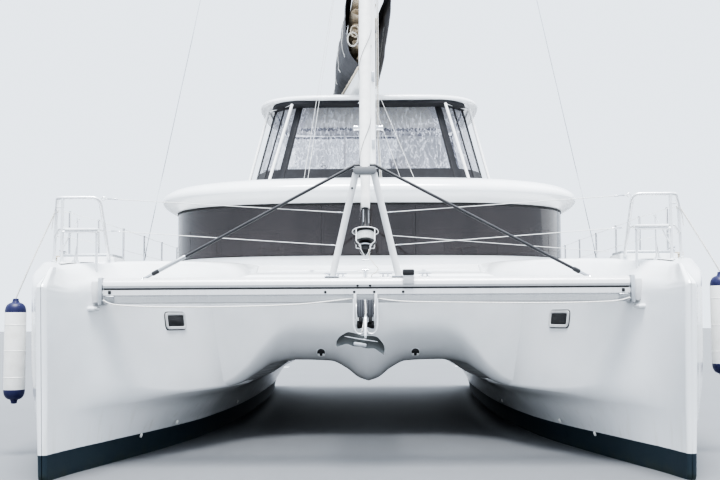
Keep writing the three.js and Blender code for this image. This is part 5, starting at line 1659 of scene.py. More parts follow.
def makeRoof():
    lining = [(0.0, 3.2012), (0.02, 3.2005)]
    profile = lining + throughPoints([(*p, 0) for p in roofEdge], 3)
    rows = [roofRing(p[0], p[1]) for p in profile]
    work = Shape().skin(rows)
    x0, x1, y0, y1 = stairwell
    well = Shape().slab((x0, x1, y0, y1, 0.05), 3.0, 4.0, 0.001)
    piece("cabin_roof", carved(work.mesh("roof work", [white]), [well]), [white],
        replaces=["roof"], sharp=45)
    rails = Shape()
    rail = [(2.62, -0.3, 3.555), (2.6, -0.28, 3.625), (2.66, 0.9, 3.64), (2.66, 3.6, 3.64),
        (2.64, 3.62, 3.56)]
    rails.bent(rail, [0, 0.05, 0.3, 0.05, 0], 5, 0.0125, 10)
    for y in (0.9, 1.9, 2.9):
        rails.tube([(2.66, y, 3.55), (2.66, y, 3.64)], 0.0115, 10)
        deckFoot(rails, (2.66, y, 3.566), 0.028)
    pair("roof_rail_{}", rails, stainless)
    print("cabin done")


def openFrame(shape, place, halfX, halfY, radius, width, height, finish=0):
    rows = []
    for grow, z in ((0.0, -0.004), (0.0, height * 0.6), (-0.002, height), (-width * 0.75, height),
            (-width, height * 0.55), (-width, -0.02)):
        outline = roundedBox(-halfX - grow, halfX + grow, -halfY - grow, halfY + grow,
            max(0.006, radius + grow), 5)
        rows.append([place @ Vector((x, y, z)) for x, y in outline])
    return shape.skin(rows, True, False, finish)


def hullPlace(y, z):
    x = innerSide(y, z)
    along = Vector((innerSide(y + 0.05, z) - innerSide(y - 0.05, z), 0.1, 0))
    up = Vector((innerSide(y, z + 0.04) - innerSide(y, z - 0.04), 0, 0.08))
    return facing((x, y, z), along, along.cross(up) * -1)


ports = {"y": -4.73, "z": 1.517, "half": (0.19, 0.1), "vents": (0.618, 1.104),
    "hullWindow": (-3.1, 1.6, 1.3, 1.6)}


def makePorts():
    size = ports
    place = hullPlace(size["y"], size["z"])
    if (place @ Vector((0, 0, 1)) - place @ Vector((0, 0, 0))).x > 0:
        place = place @ Matrix.Rotation(math.pi, 4, "X")
    shape = Shape()
    halfX, halfY = size["half"]
    openFrame(shape, place, halfX + 0.009, halfY + 0.009, 0.06, 0.02, 0.004, 2)
    openFrame(shape, place, halfX, halfY, 0.055, 0.036, 0.02)
    shape.slab((-halfX + 0.03, halfX - 0.03, -halfY + 0.03, halfY - 0.03, 0.03, 5), -0.012, 0.008, 0.002,
        place=place, finish=1)
    shape.slab((-halfX + 0.05, halfX - 0.05, -halfY + 0.034, -halfY + 0.048, 0.006, 2), 0.003, 0.007,
        0.001, place=place, finish=2)
    y0, y1, z0, z1 = size["hullWindow"]
    rows = []
    for y in np.linspace(y0, y1, 40):
        end = min(y - y0, y1 - y)
        squeeze = 0.5 - 0.5 * math.sqrt(max(0.0, 1 - (1 - min(1.0, end / 0.16)) ** 2))
        low, high = between(z0, z1, squeeze), between(z1, z0, squeeze)
        rows.append([(outerSide(float(y), z) + lift, float(y), z)
            for z, lift in ((low, -0.003), (low, 0.003), (between(low, high, 0.5), 0.0035),
            (high, 0.003), (high, -0.003))])
    shape.skin(rows, False, False, 1)
    pair("hull_ports_{}", shape, [shadedSparPaint, portPane, rubber])


def makeVents():
    vents = Shape()
    x, z = ports["vents"]
    bottom, tall, deep = (fromRows(bridgeLip, i, x) for i in (1, 2, 3))
    a = math.asin(clamp(1 - (z - bottom) / tall))
    y = bridgeSizes["front"] + deep * (1 - math.cos(a))
    out = (Vector((0, -tall * math.cos(a), -deep * math.sin(a))).normalized()
        + Vector((0, -1.1, 0))).normalized()
    for side in (-1, 1):
        at = Vector((side * x, y, z)) - out * 0.012
        vents.turned([(0.064, -0.05), (0.066, 0.026), (0.06, 0.036), (0.049, 0.038)], at, out, 28)
        vents.turned([(0.05, 0.034), (0.05, 0.043), (0.04, 0.05), (0.012, 0.052), (0.0, 0.052)], at, out,
            28, 1)
        place = facing(at + out * 0.046, (1, 0, 0), out)
        for k in (-1, 0, 1):
            vents.block((-0.04, k * 0.021 - 0.005, 0.0), (0.04, k * 0.021 + 0.005, 0.01), 0.003, 1, place)
        for k in (-1, 1):
            vents.block((k * 0.031 - 0.014, -0.044, 0.0), (k * 0.031 + 0.014, -0.012, 0.014), 0.005, 0,
                place)
    piece("bridge_vents", vents, [brightTube, blackPlastic])


def makeSkinFittings():
    skins = Shape()
    for y, z in ((-5.05, 0.235), (-4.2, 0.3), (-1.4, 0.32)):
        s = hullAt(y)
        at = (between(s["foot"], s["chine"], 0.18) - 0.004, y, z)
        skins.turned([(0.026, -0.01), (0.026, 0.006), (0.018, 0.01), (0.016, 0.004), (0.012, -0.01)], at,
            (-1, 0, -0.35), 18)
    pair("skin_fittings_{}", skins, whiteVinyl)


# the stern bulkhead with its windows, and the sliding door
door = {"x": (-1.14, 0.14), "y": (2.6603, 2.7), "z": (cabin["cockpitFloor"], 3.13), "frame": 0.055}


def makeBulkhead():
    inner, outer, floor = 1.5595, 2.99, cabin["cockpitFloor"]
    shell = Shape()
    frontPlate(shell, [(-inner, floor), (inner, floor), (inner, 2.3003), (outer, 2.3003),
        (outer, 3.1997), (-outer, 3.1997), (-outer, 2.3003), (-inner, 2.3003)], 2.6005, 2.66, 0.003)
    windows = [(0.22, 1.38, 1.5, 3.08), (1.7, 2.8, 2.46, 3.13), (-2.8, -1.7, 2.46, 3.13)]
    cutters = []
    for x0, x1, z0, z1 in windows + [(-1.1, 0.1, 1.3, 3.08)]:
        cutters.append(frontPlate(Shape(), roundedBox(x0, x1, z0, z1, 0.05), 2.4, 2.9, 0.001))
    piece("stern_bulkhead", carved(shell.mesh("bulkhead work", [white]), cutters), [white],
        replaces=["aft_bulkhead"], sharp=30)
    trims = Shape()
    for x0, x1, z0, z1 in windows:
        # the pane that the door slides over has its trim on the inside
        y, way = (2.6005, -1) if z0 < 2 else (2.66, 1)
        place = facing(((x0 + x1) / 2, y, (z0 + z1) / 2), (1, 0, 0), (0, way, 0))
        openFrame(trims, place, (x1 - x0) / 2 + 0.018, (z1 - z0) / 2 + 0.018, 0.06, 0.03, 0.008)
        frontPlate(trims, roundedBox(x0 + 0.002, x1 - 0.002, z0 + 0.002, z1 - 0.002, 0.048), 2.622,
            2.634, 0.002, finish=1)
    trims.block((-1.2, 2.6603, 3.1303), (1.38, 2.708, 3.1985), 0.008, 2)
    trims.block((-1.1, 2.604, floor), (0.1, 2.656, 1.357), 0.002, 2)
    piece("bulkhead_glazing", trims, [rubber, tinted, greyAlloy])


def makeDoor():
    (x0, x1), (y0, y1), (z0, z1), f = door["x"], door["y"], door["z"], door["frame"]
    leaf = Shape()
    place = facing(((x0 + x1) / 2, y0, (z0 + z1) / 2), (1, 0, 0), (0, 1, 0))
    halfX, halfZ = (x1 - x0) / 2, (z1 - z0) / 2
    depth = y1 - y0
    rows = []
    for grow, up in ((0.0, 0.001), (0.0, depth - 0.003), (-0.003, depth), (-f + 0.003, depth),
            (-f, depth - 0.003), (-f, 0.001), (0.0, 0.001)):
        rows.append([place @ Vector((x, y, up)) for x, y in roundedBox(-halfX - grow, halfX + grow,
            -halfZ - grow, halfZ + grow, 0.012, 3)])
    leaf.skin(rows, True, False)
    frontPlate(leaf, roundedBox(x0 + f - 0.006, x1 - f + 0.006, z0 + f - 0.006, z1 - f + 0.006, 0.01),
        y0 + 0.012, y0 + 0.026, 0.001, finish=1)
    handle = [(-1.06, y1 - 0.012, 2.15), (-1.06, 2.738, 2.15), (-1.06, 2.738, 2.45),
        (-1.06, y1 - 0.012, 2.45)]
    leaf.bent(handle, 0.022, 4, 0.0115, 12, finish=2)
    for z in (2.15, 2.45):
        leaf.turned([(0.022, 0), (0.022, 0.005), (0.014, 0.008)], (-1.085 + 0.025, y1 - 0.004, z),
            (0, 1, 0), 14, 2)
    piece("sliding_door", leaf, [greyAlloy, tinted, stainless], "door", ["saloon_door"])


def makePillars():
    pillars = Shape()
    side = [(4.94, 2.3003), (5.18, 2.3003), (5.13, 3.1995), (4.9, 3.1995)]
    sidePlate(pillars, side, 2.53, 2.61, 0.022)
    sidePlate(pillars, [(4.86, 3.199), (4.89, 3.12), (5.14, 3.12), (5.18, 3.199)], 2.52, 2.62, 0.015)
    pillars.slab((2.5, 2.64, 4.9, 5.22, 0.05), 2.3003, 2.318, 0.006)
    pair("roof_post_{}", pillars, white, replaces=["roof_pillar_{}"])
    print("bulkhead done")


# Padded pieces: remeshed blocks that one short cloth simulation swells together

pads = []
padSizes = {"voxel": 0.022, "pressure": 4.0, "frames": 20, "cap": 0.022, "shrink": 0.01}


def cushion(name, low, high, finish, slot="upholstery", body="boat", fill=0.7, place=None, replaces=(),
        seam=True):
    size = padSizes
    g = size["shrink"]
    block = Shape().slab((low[0] + g, high[0] - g, low[1] + g, high[1] - g, 0.045, 4), low[2],
        high[2] - g, 0.03, 3)
    mesh = block.mesh(name)
    work = bpy.data.objects.new("pad work", mesh)
    bpy.context.scene.collection.objects.link(work)
    remesh = work.modifiers.new("even", "REMESH")
    remesh.mode, remesh.voxel_size = "VOXEL", size["voxel"]
    even = bpy.data.meshes.new_from_object(work.evaluated_get(bpy.context.evaluated_depsgraph_get()))
    bpy.data.objects.remove(work)
    soft = bpy.data.objects.new(f"{name} soft", even)
    bpy.context.scene.collection.objects.link(soft)
    pads.append((name, soft, low, high, finish, slot, body, fill, place, replaces, seam))


def swellPads():
    size = padSizes
    scene = bpy.context.scene
    for entry in pads:
        puff = entry[1].modifiers.new("puff", "CLOTH")
        puff.settings.use_pressure = True
        puff.settings.uniform_pressure_force = size["pressure"]
        puff.settings.effector_weights.gravity = 0
        puff.point_cache.frame_start, puff.point_cache.frame_end = 1, size["frames"]
    for f in range(1, size["frames"] + 1):
        scene.frame_set(f)
    depsgraph = bpy.context.evaluated_depsgraph_get()
    for name, soft, low, high, finish, slot, body, fill, place, replaces, seam in pads:
        before = np.array([tuple(v.co) for v in soft.data.vertices])
        swollen = bpy.data.meshes.new_from_object(soft.evaluated_get(depsgraph))
        after = np.array([tuple(v.co) for v in swollen.vertices])
        move = after - before
        far = np.linalg.norm(move, axis=1, keepdims=True)
        move *= np.minimum(1, size["cap"] / np.maximum(far, 1e-9))
        lowest, highest = np.array(low), np.array(high)
        middle, half = (lowest + highest) / 2, (highest - lowest) / 2
        u = np.abs((before - middle) / half)
        crown = (1 - u[:, 0] ** 2.5) * (1 - u[:, 1] ** 2.5) * 0.01
        pull = (1 - u[:, 0] ** 6) * (u[:, 1] > 0.8) + (1 - u[:, 1] ** 6) * (u[:, 0] > 0.8)
        now = before + move
        rising = np.clip((before[:, 2] - lowest[2]) / (highest[2] - lowest[2]), 0, 1)
        now[:, 2] += crown * rising
        now[:, :2] -= (before[:, :2] - middle[:2]) * 0.012 * pull[:, None] * rising[:, None]
        now = np.clip(now, lowest - (0.003, 0.003, 0), highest + (0.003, 0.003, 0.012))
        swollen.vertices.foreach_set("co", now.ravel())
        bpy.data.objects.remove(soft)
        if place is not None:
            swollen.transform(place)
        swollen.materials.clear()
        swollen.materials.append(finish)
        obj = piece(name, swollen, [finish], body, replaces, 60)
        fine = obj.modifiers.new("fine", "SUBSURF")
        fine.levels = fine.render_levels = 1
        if seam:
            ring = roundedBox(low[0] + 0.009, high[0] - 0.009, low[1] + 0.009, high[1] - 0.009, 0.05, 5)
            pipe = Shape().tube([(x, y, high[2] - 0.024) for x, y in ring], 0.0042, 6, True)
            if place is not None:
                pipe.points = [tuple(place @ Vector(p)) for p in pipe.points]
            piece(f"{name}_piping", pipe, greyCanvas, body)
    print("pads swollen:", len(pads))


# Inside the saloon, and the cockpit

def makeSaloon():
    z = cabin["saloonFloor"]
    seat = Shape()
    seat.block((0.2, -1.7, z), (1.54, 0.9, z + 0.08), 0.01)
    seat.block((0.28, -1.68, z + 0.07), (1.53, -1.17, z + 0.32), 0.015)
    seat.block((1.03, -1.2, z + 0.07), (1.53, 0.88, z + 0.32), 0.015)
    seat.block((1.49, -1.7, z + 0.3), (1.54, 0.9, z + 0.83), 0.012)
    seat.turned([(0.11, 0), (0.11, 0.012), (0.045, 0.03), (0.045, 0.63), (0.1, 0.645)],
        (0.5, -0.3, z + 0.08), (0, 0, 1), 28, 1)
    seat.slab((0.15, 0.9, -0.9, 0.45, 0.09, 5), z + 0.645, z + 0.69, 0.012, 3)
    piece("saloon_settee", seat, [joinery, stainless], replaces=["saloon_seating"])
    cushion("settee_seat_fore", (0.27, -1.69, z + 0.32), (1.45, -1.16, z + 0.45), seatCloth)
    cushion("settee_seat_side", (1.02, -1.14, z + 0.32), (1.45, 0.89, z + 0.45), seatCloth)
    cushion("settee_back", (1.36, -1.12, z + 0.46), (1.49, 0.89, z + 0.85), seatCloth, seam=False)


def makeGalley():
    z = cabin["saloonFloor"]
    galley = Shape()
    galley.block((-1.54, -1.3, z), (-0.96, 1.5, z + 0.86), 0.012)
    galley.block((-1.54, -1.7, z), (-0.32, -1.17, z + 0.86), 0.012)
    galley.slab((-1.54, -0.94, -1.3, 1.5, 0.02), z + 0.862, z + 0.9, 0.006, finish=1)
    galley.slab((-1.54, -0.3, -1.7, -1.15, 0.05), z + 0.862, z + 0.9, 0.006, finish=1)
    galley.block((-1.54, 1.45, z), (-0.94, 2.1, z + 1.4), 0.02, 2)
    for y in np.arange(-1.1, 1.4, 0.62):
        galley.block((-0.965, float(y), z + 0.08), (-0.945, float(y) + 0.56, z + 0.82), 0.008)
        galley.tube([(-0.928, float(y) + 0.1, z + 0.74), (-0.928, float(y) + 0.46, z + 0.74)], 0.007, 8,
            finish=3)
    galley.bent([(-1.35, 0.3, z + 0.89), (-1.35, 0.3, z + 1.14), (-1.18, 0.3, z + 1.14),
        (-1.18, 0.3, z + 1.08)], 0.04, 4, 0.011, 10, finish=3)
    piece("galley_units", galley, [joinery, paleLeather, greyAlloy, stainless],
        replaces=["galley"])


def makeCockpit():
    z = cabin["cockpitFloor"]
    table = Shape()
    table.slab((-0.15, 0.15, 4.1, 4.5, 0.04), z, z + 0.03, 0.008, finish=1)
    table.turned([(0.075, 0), (0.06, 0.03), (0.06, 0.6), (0.1, 0.645)], (0, 4.3, z + 0.028), (0, 0, 1),
        28, 1)
    table.slab((-0.8, 0.8, 3.9, 4.7, 0.11, 6), z + 0.67, z + 0.72, 0.014, 3)
    table.block((-0.78, 4.294, z + 0.718), (0.78, 4.3, z + 0.7215), 0.001, 2)
    for side in (-1, 1):
        table.tube([(side * 0.66, 3.98, z + 0.725), (side * 0.66, 4.62, z + 0.725)], 0.01, 8, finish=1)
    piece("cockpit_table_top", table, [teakDeck, stainless, rubber],
        replaces=["cockpit_table"])
    bench = Shape()
    bench.block((-1.5, 4.93, z), (1.5, 5.44, z + 0.34), 0.02)
    piece("cockpit_bench", bench, white)
    cushion("bench_cushion_port", (0.02, 4.94, z + 0.34), (1.49, 5.43, z + 0.45), seatCloth)
    cushion("bench_cushion_stbd", (-1.49, 4.94, z + 0.34), (-0.02, 5.43, z + 0.45), seatCloth)


def makeStairs():
    z = cabin["cockpitFloor"]
    stairs = Shape()
    x0, x1 = stairwell[0] + 0.01, stairwell[1] - 0.01
    for i in range(6):
        y, top = 3.32 + i * 0.19, 3.23 - i * 0.3
        stairs.block((x0, y, top - 0.025), (x1 - 0.03, y + 0.27, top), 0.007)
        stairs.block((x0 + 0.03, y + 0.03, top - 0.002), (x1 - 0.07, y + 0.24, top + 0.003), 0.002, 1)
    sidePlate(stairs, [(3.3, 3.26), (3.48, 3.26), (4.66, z), (4.46, z)], x1 - 0.05, x1 - 0.002, 0.01,
        0.02)
    rail = [(x1 - 0.03, 3.34, 3.24), (x1 - 0.03, 3.34, 3.95), (x1 - 0.03, 3.46, 4.02),
        (x1 - 0.03, 4.72, 2.3), (x1 - 0.03, 4.66, 1.4)]
    stairs.bent(rail, 0.08, 5, 0.014, 10, finish=2)
    piece("stairs", stairs, [white, teakDeck, stainless], replaces=["fly_stairs"])
    print("inside done")


makeCabin()
makeGlass()
makeRoof()
makePorts()
makeVents()
makeSkinFittings()
makeBulkhead()
makeDoor()
makePillars()
makeSaloon()
makeGalley()
makeCockpit()
makeStairs()


# Flying bridge: coaming, helm, seats, hardtop and the clear curtains round them

fly = {
    "low": 3.6503, "floor": 3.70, "under": 5.18, "hardtop": (1.95, 1.76, 2.25, 4.0),
    "edge": ((-0.16, 5.185), (-0.13, 5.188), (-0.10, 5.212), (-0.04, 5.218), (-0.006, 5.232), (0.0, 5.250),
        (-0.006, 5.277), (-0.035, 5.302), (-0.10, 5.322), (-0.25, 5.338), (-0.50, 5.350)),
    "posts": ((1.69, 0.09, 1.30, 0.61), (2.11, 0.76, 1.76, 1.21), (2.11, 3.35, 1.77, 3.48)),
    "tube": 0.0245,
}
curtain = {
    "foot": ((1.455, 0.245), (1.805, 0.50), (1.995, 0.92), (1.995, 4.195)),
    "head": ((1.145, 0.75), (1.445, 0.902), (1.635, 1.18), (1.635, 3.875)),
    "low": 3.702, "high": 5.178, "skirt": 4.02, "band": 5.132, "wrinkle": 0.0075,
    "doorway": (-1.5, 3.2, 4.0, 4.95), "blind": (2.42, 0.50),
}


def flyPlan(margin, radius=0.12):
    w, fore, aft = 2.05 - margin, 0.18 + margin, 4.25 - margin
    points = [(w, aft), (-w, aft), (-w, 0.96 + margin), (-1.83 + margin * 0.8, 0.47 + margin * 0.9),
        (-1.48 + margin * 0.5, fore), (1.48 - margin * 0.5, fore),
        (1.83 - margin * 0.8, 0.47 + margin * 0.9), (w, 0.96 + margin)]
    return [tuple(p) for p in softened(points, radius, 5)]


def makeFlyDeck():
    size = fly
    deck = Shape()
    deck.plate(flyPlan(0), size["low"], size["floor"], 0.014, 3)
    wall = []
    for margin, z in ((0.198, 3.699), (0.2, 3.72), (0.201, 3.9), (0.208, 3.932), (0.226, 3.948),
            (0.24, 3.95), (0.254, 3.948), (0.272, 3.932), (0.279, 3.9), (0.28, 3.699)):
        wall.append([(x, y, z) for x, y in flyPlan(margin)])
    deck.skin(wall, True, False)
    gate = Shape().block((-2.2, 3.2, 3.702), (-1.7, 4.02, 4.1), 0.01)
    well = Shape().slab((*stairwell, 0.04), 3.6, 4.1, 0.001)
    mesh = carved(deck.mesh("fly deck work", [white]), [well, gate])
    piece("fly_deck", mesh, [white], replaces=["flybridge"])


def makeFlySeats():
    seats = Shape()
    seats.block((0.36, 2.16, 3.7005), (1.44, 2.64, 4.07), 0.03)
    seats.block((0.36, 2.645, 4.02), (1.44, 2.695, 4.54), 0.02)
    seats.block((-1.85, 1.01, 3.7005), (-1.26, 2.99, 4.01), 0.03)
    seats.block((-1.49, 3.41, 3.7005), (1.49, 3.89, 4.01), 0.03)
    seats.block((-1.49, 3.92, 3.95), (1.49, 3.955, 4.39), 0.015)
    for side in (-1, 1):
        seats.bent([(0.9 + side * 0.5, 2.64, 4.0), (0.9 + side * 0.5, 2.655, 4.3),
            (0.9 + side * 0.45, 2.655, 4.3)], 0.03, 4, 0.014, 10, finish=1)
    teakFloor = Shape().plate(inset(flyPlan(0.3), 0.01), 3.6995, 3.7035, 0.002)
    piece("fly_seats", seats, [white, stainless])
    cut = Shape().slab((-2.6, -1.62, 3.05, 4.1, 0.04), 3.6, 4.1, 0.001)
    piece("fly_floor", carved(teakFloor.mesh("floor work", [teakDeck]), [cut]), [teakDeck])
    cushion("helm_seat_port", (0.91, 2.16, 4.07), (1.44, 2.62, 4.178), paleLeather)
    cushion("helm_seat_stbd", (0.36, 2.16, 4.07), (0.89, 2.62, 4.178), paleLeather)
    upright = facing((0.9, 2.6, 4.33), (1, 0, 0), (0, -1, 0.12))
    cushion("helm_back", (-0.53, -0.2, -0.04), (0.53, 0.2, 0.05), paleLeather, place=upright)
    cushion("lounge_fore", (-1.85, 1.01, 4.01), (-1.26, 1.99, 4.118), seatCloth)
    cushion("lounge_aft", (-1.85, 2.01, 4.01), (-1.26, 2.99, 4.118), seatCloth)
    for name, x in (("a", -1.0), ("b", 0.0), ("c", 1.0)):
        cushion(f"stern_seat_{name}", (x - 0.49, 3.41, 4.01), (x + 0.49, 3.87, 4.118), seatCloth)
        back = facing((x, 3.895, 4.25), (1, 0, 0), (0, -1, 0))
        cushion(f"stern_back_{name}", (-0.49, -0.135, -0.02), (0.49, 0.135, 0.06), seatCloth, place=back,
            seam=False)


# height that the console stands on, centre and radius of the wheel
helm = {"floor": 3.7005, "wheel": (0.9, 1.51, 4.13), "radius": 0.33}


def makeHelm():
    z = helm["floor"]
    side = [(0.952, z), (1.398, z), (1.398, z + 0.62), (1.328, z + 0.86), (1.05, z + 1.018),
        (0.982, z + 0.978)]
    desk = Shape()
    sidePlate(desk, side, 0.482, 1.318, 0.035, 0.05)
    slope = Vector((0, 1.328 - 1.05, 0.86 - 1.018)).normalized()
    face = facing((0.9, 1.19, z + 0.939), (1, 0, 0), Vector((1, 0, 0)).cross(slope))
    for x, w in ((-0.235, 0.155), (0.09, 0.155)):
        desk.slab((x - w, x + w, -0.1, 0.1, 0.015), -0.004, 0.01, 0.004, place=face, finish=1)
        desk.slab((x - w + 0.014, x + w - 0.014, -0.087, 0.087, 0.006), 0.008, 0.0115, 0.001, place=face,
            finish=2)
    for x in (-0.09, 0.0, 0.09):
        knob = facing((0.9 + x, 1.4, z + 0.7), (1, 0, 0), (0, 1, 0.1))
        desk.turned([(0.034, -0.01), (0.034, 0.006), (0.028, 0.012)], knob @ Vector((0, 0, 0)),
            (0, 1, 0.12), 22, 1)
    throttle = Vector((1.24, 1.3, z + 0.89))
    desk.block(throttle - Vector((0.04, 0.06, 0.03)), throttle + Vector((0.04, 0.06, 0.015)), 0.012, 1)
    for x in (-0.014, 0.014):
        desk.tube([throttle + Vector((x, 0, 0)), throttle + Vector((x * 1.5, -0.01, 0.075))], 0.006, 8,
            finish=3)
        desk.turned([(0.0, -0.01), (0.014, -0.004), (0.014, 0.006), (0.0, 0.012)],
            throttle + Vector((x * 1.6, -0.01, 0.082)), (1, 0, 0), 14, 1)
    desk.turned([(0.055, -0.02), (0.055, 0.012), (0.05, 0.03), (0.03, 0.045), (0.0, 0.048)],
        (0.9, 1.02, z + 0.985), (0, 0.3, 1), 26, 1)
    piece("helm_desk", desk, [white, blackPlastic, tinted, stainless],
        replaces=["helm_console"])


def makeWheel():
    wheel = Shape()
    (x, y, z), radius = helm["wheel"], helm["radius"]
    rim = [(x + radius * math.cos(t), y, z + radius * math.sin(t)) for t in roundTurn(56)]
    wheel.tube(rim, 0.0155, 12, True, finish=1)
    for i in range(5):
        t = 2 * math.pi * i / 5
        spoke = [(x + r * math.sin(t), y - 0.02 * (1 - r / radius), z + r * math.cos(t))
            for r in (0.03, 0.12, 0.22, 0.325)]
        wheel.tube(spoke, [0.011, 0.009, 0.0085, 0.0085], 10)
    wheel.turned([(0.045, 0.0006), (0.045, 0.02), (0.026, 0.03), (0.026, 0.07), (0.045, 0.085),
        (0.045, 0.112), (0.03, 0.124), (0.0, 0.126)], (x, 1.4, z), (0, 1, 0), 28)
    piece("steering_wheel", wheel, [stainless, blackPlastic], "wheel", ["helm_wheel"])


def hardtopRing(offset, z, count=144):
    halfX, halfY, centre, power = fly["hardtop"]
    return [(x, y, z) for x, y in superOval(halfX + offset, halfY + offset, power, count, (0, centre))]


def makeHardtop():
    size = fly
    top = Shape()
    profile = throughPoints([(a, b, 0) for a, b in size["edge"]], 3)
    rows = [hardtopRing(-1.2, 5.188), hardtopRing(-0.4, 5.188)] + [hardtopRing(p[0], p[1])
        for p in profile]
    top.skin(rows + [hardtopRing(-0.9, 5.353), hardtopRing(-1.4, 5.354)])
    for x0, x1 in ((-1.2, -0.1), (0.1, 1.2)):
        for y0, y1 in ((1.3, 2.15), (2.25, 3.1)):
            top.slab((x0, x1, y0, y1, 0.03), 5.34, 5.3555, 0.003, finish=1)
    for x in (-0.9, 0.9):
        for y in (1.4, 3.0):
            top.turned([(0.045, 0.002), (0.045, -0.006), (0.038, -0.01)], (x, y, 5.19), (0, 0, 1), 20, 2)
    piece("hardtop_shell", top, [white, rubber, stainless], replaces=["hardtop"], sharp=40)
    bars = Shape()
    head = size["under"] - 0.0155
    for x0, y0, x1, y1 in size["posts"]:
        bars.tube([(x0, y0, 3.612), (x1, y1, head)], size["tube"], 14)
        way = Vector((x1 - x0, y1 - y0, head - 3.61))
        bars.turned([(0.055, -0.004), (0.055, 0.004), (0.048, 0.01), (0.03, 0.016), (0.0275, 0.035)],
            (x0, y0, 3.622), way, 24)
    rail = [(x1, y1, head) for x0, y0, x1, y1 in size["posts"]]
    bars.bent(rail, 0.16, 6, size["tube"] * 0.6, 12)
    pair("hardtop_posts_{}", bars, mastPaint, replaces=["hardtop_frame_{}"], sharp=50)


# one curtain between two corners: a canvas skirt and head band, clear vinyl between, canvas side bands
def curtainPanel(name, foot, head, bands, seed, doorway=False):
    size = curtain
    a, b = Vector((*foot[0], size["low"])), Vector((*foot[1], size["low"]))
    c, d = Vector((*head[0], size["high"])), Vector((*head[1], size["high"]))
    width, rise = max((b - a).length, (d - c).length), ((c + d) / 2 - (a + b) / 2).length
    us = sorted(set([0, 1] + list(np.linspace(0, 1, max(6, int(width / 0.045))))
        + [bands[0] / width, 1 - bands[1] / width]))
    tall = size["high"] - size["low"]
    skirt, band = (size["skirt"] - size["low"]) / tall, (size["band"] - size["low"]) / tall
    vs = sorted(set([0, skirt, band, 1] + list(np.linspace(0, 1, 34))))
    out = (b - a).cross(c - a).normalized()
    rows = []
    for v in vs:
        low, high = a.lerp(c, v), b.lerp(d, v)
        row = []
        for u in us:
            inside = clamp(min(u - bands[0] / width, 1 - bands[1] / width - u) * 9)
            inside *= clamp(min(v - skirt, band - v) * 9)
            p = low.lerp(high, u)
            crease = noise.fractal(Vector((u * width * 3.4 + seed, v * 1.3, seed)), 0.6, 2.1, 4)
            sag = noise.noise(Vector((u * width * 1.1 + seed * 3, v * 0.8, 7.0)))
            row.append(p + out * (size["wrinkle"] * inside * (crease * 1.4 + sag) - 0.002 * (1 - inside)))
        rows.append(row)
    shape = Shape().skin(rows, False)
    count = len(us) - 1
    keep = []
    x1, y0, y1, z1 = size["doorway"]
    for i, face in enumerate(shape.faces):
        u, v = (us[i % count] + us[i % count + 1]) / 2, (vs[i // count] + vs[i // count + 1]) / 2
        clear = bands[0] / width < u < 1 - bands[1] / width and skirt < v < band
        shape.finish[i] = 0 if clear else 1
        middle = sum((Vector(shape.points[k]) for k in face), Vector()) / 4
        if doorway and middle.x < x1 and y0 < middle.y < y1 and middle.z < z1:
            continue
        keep.append(i)
    for values in (shape.faces, shape.flat, shape.finish):
        values[:] = [values[i] for i in keep]
    mesh = shape.mesh(name, [vinyl, greyCanvas])
    covers = ["enclosure"] if name == "curtain_front" else ()
    obj = piece(name, mesh, [vinyl, greyCanvas], replaces=covers, sharp=60)
    zips = Shape()
    for edge in ((a, c), (b, d)):
        zips.tube([edge[0].lerp(edge[1], t) + out * 0.003 for t in np.linspace(0.02, 0.98, 12)], 0.0045,
            6)
    straps = piece(f"{name}_zips", zips, blackPlastic)
    min(shape.area(), (width + 0.01) * (rise + 0.01))


def flip(p):
    return (-p[0], p[1])


def makeCurtains():
    foot, head = curtain["foot"], curtain["head"]
    curtainPanel("curtain_front", (flip(foot[0]), foot[0]), (flip(head[0]), head[0]), (0.035, 0.035), 1.7)
    for i, (name, near, far) in enumerate((("corner", 0.13, 0.02), ("quarter", 0.05, 0.085),
            ("side", 0.02, 0.09))):
        curtainPanel(f"curtain_{name}_port", (foot[i], foot[i + 1]), (head[i], head[i + 1]), (near, far),
            3.1 + i)
        curtainPanel(f"curtain_{name}_stbd", (flip(foot[i + 1]), flip(foot[i])),
            (flip(head[i + 1]), flip(head[i])), (far, near), 7.9 + i, True)
    curtainPanel("curtain_stern", (foot[3], flip(foot[3])), (head[3], flip(head[3])), (0.09, 0.09), 12.3,
        True)


# a canvas flap joins the curtains' heads to the front of the hardtop
def makeFlap():
    head = curtain["head"]
    outer = softened([(-1.7, 1.16, 0), (-1.6, 0.76, 0), (-1.26, 0.555, 0), (1.26, 0.555, 0),
        (1.6, 0.76, 0), (1.7, 1.16, 0)], 0.2, 6, False)
    inner = [Vector((*p, 0)) for p in (flip(head[2]), flip(head[1]), flip(head[0]), head[0], head[1],
        head[2])]
    flap = []
    for a, b in zip(spaced(outer, 60), spaced(inner, 60)):
        flap.append([(p.x, p.y, z) for p, z in ((a, 5.215), (a, 5.165), (a.lerp(b, 0.5), 5.15),
            (b, 5.132), (b, 5.176))])
    piece("hardtop_flap", Shape().skin(flap), greyCanvas, sharp=50)


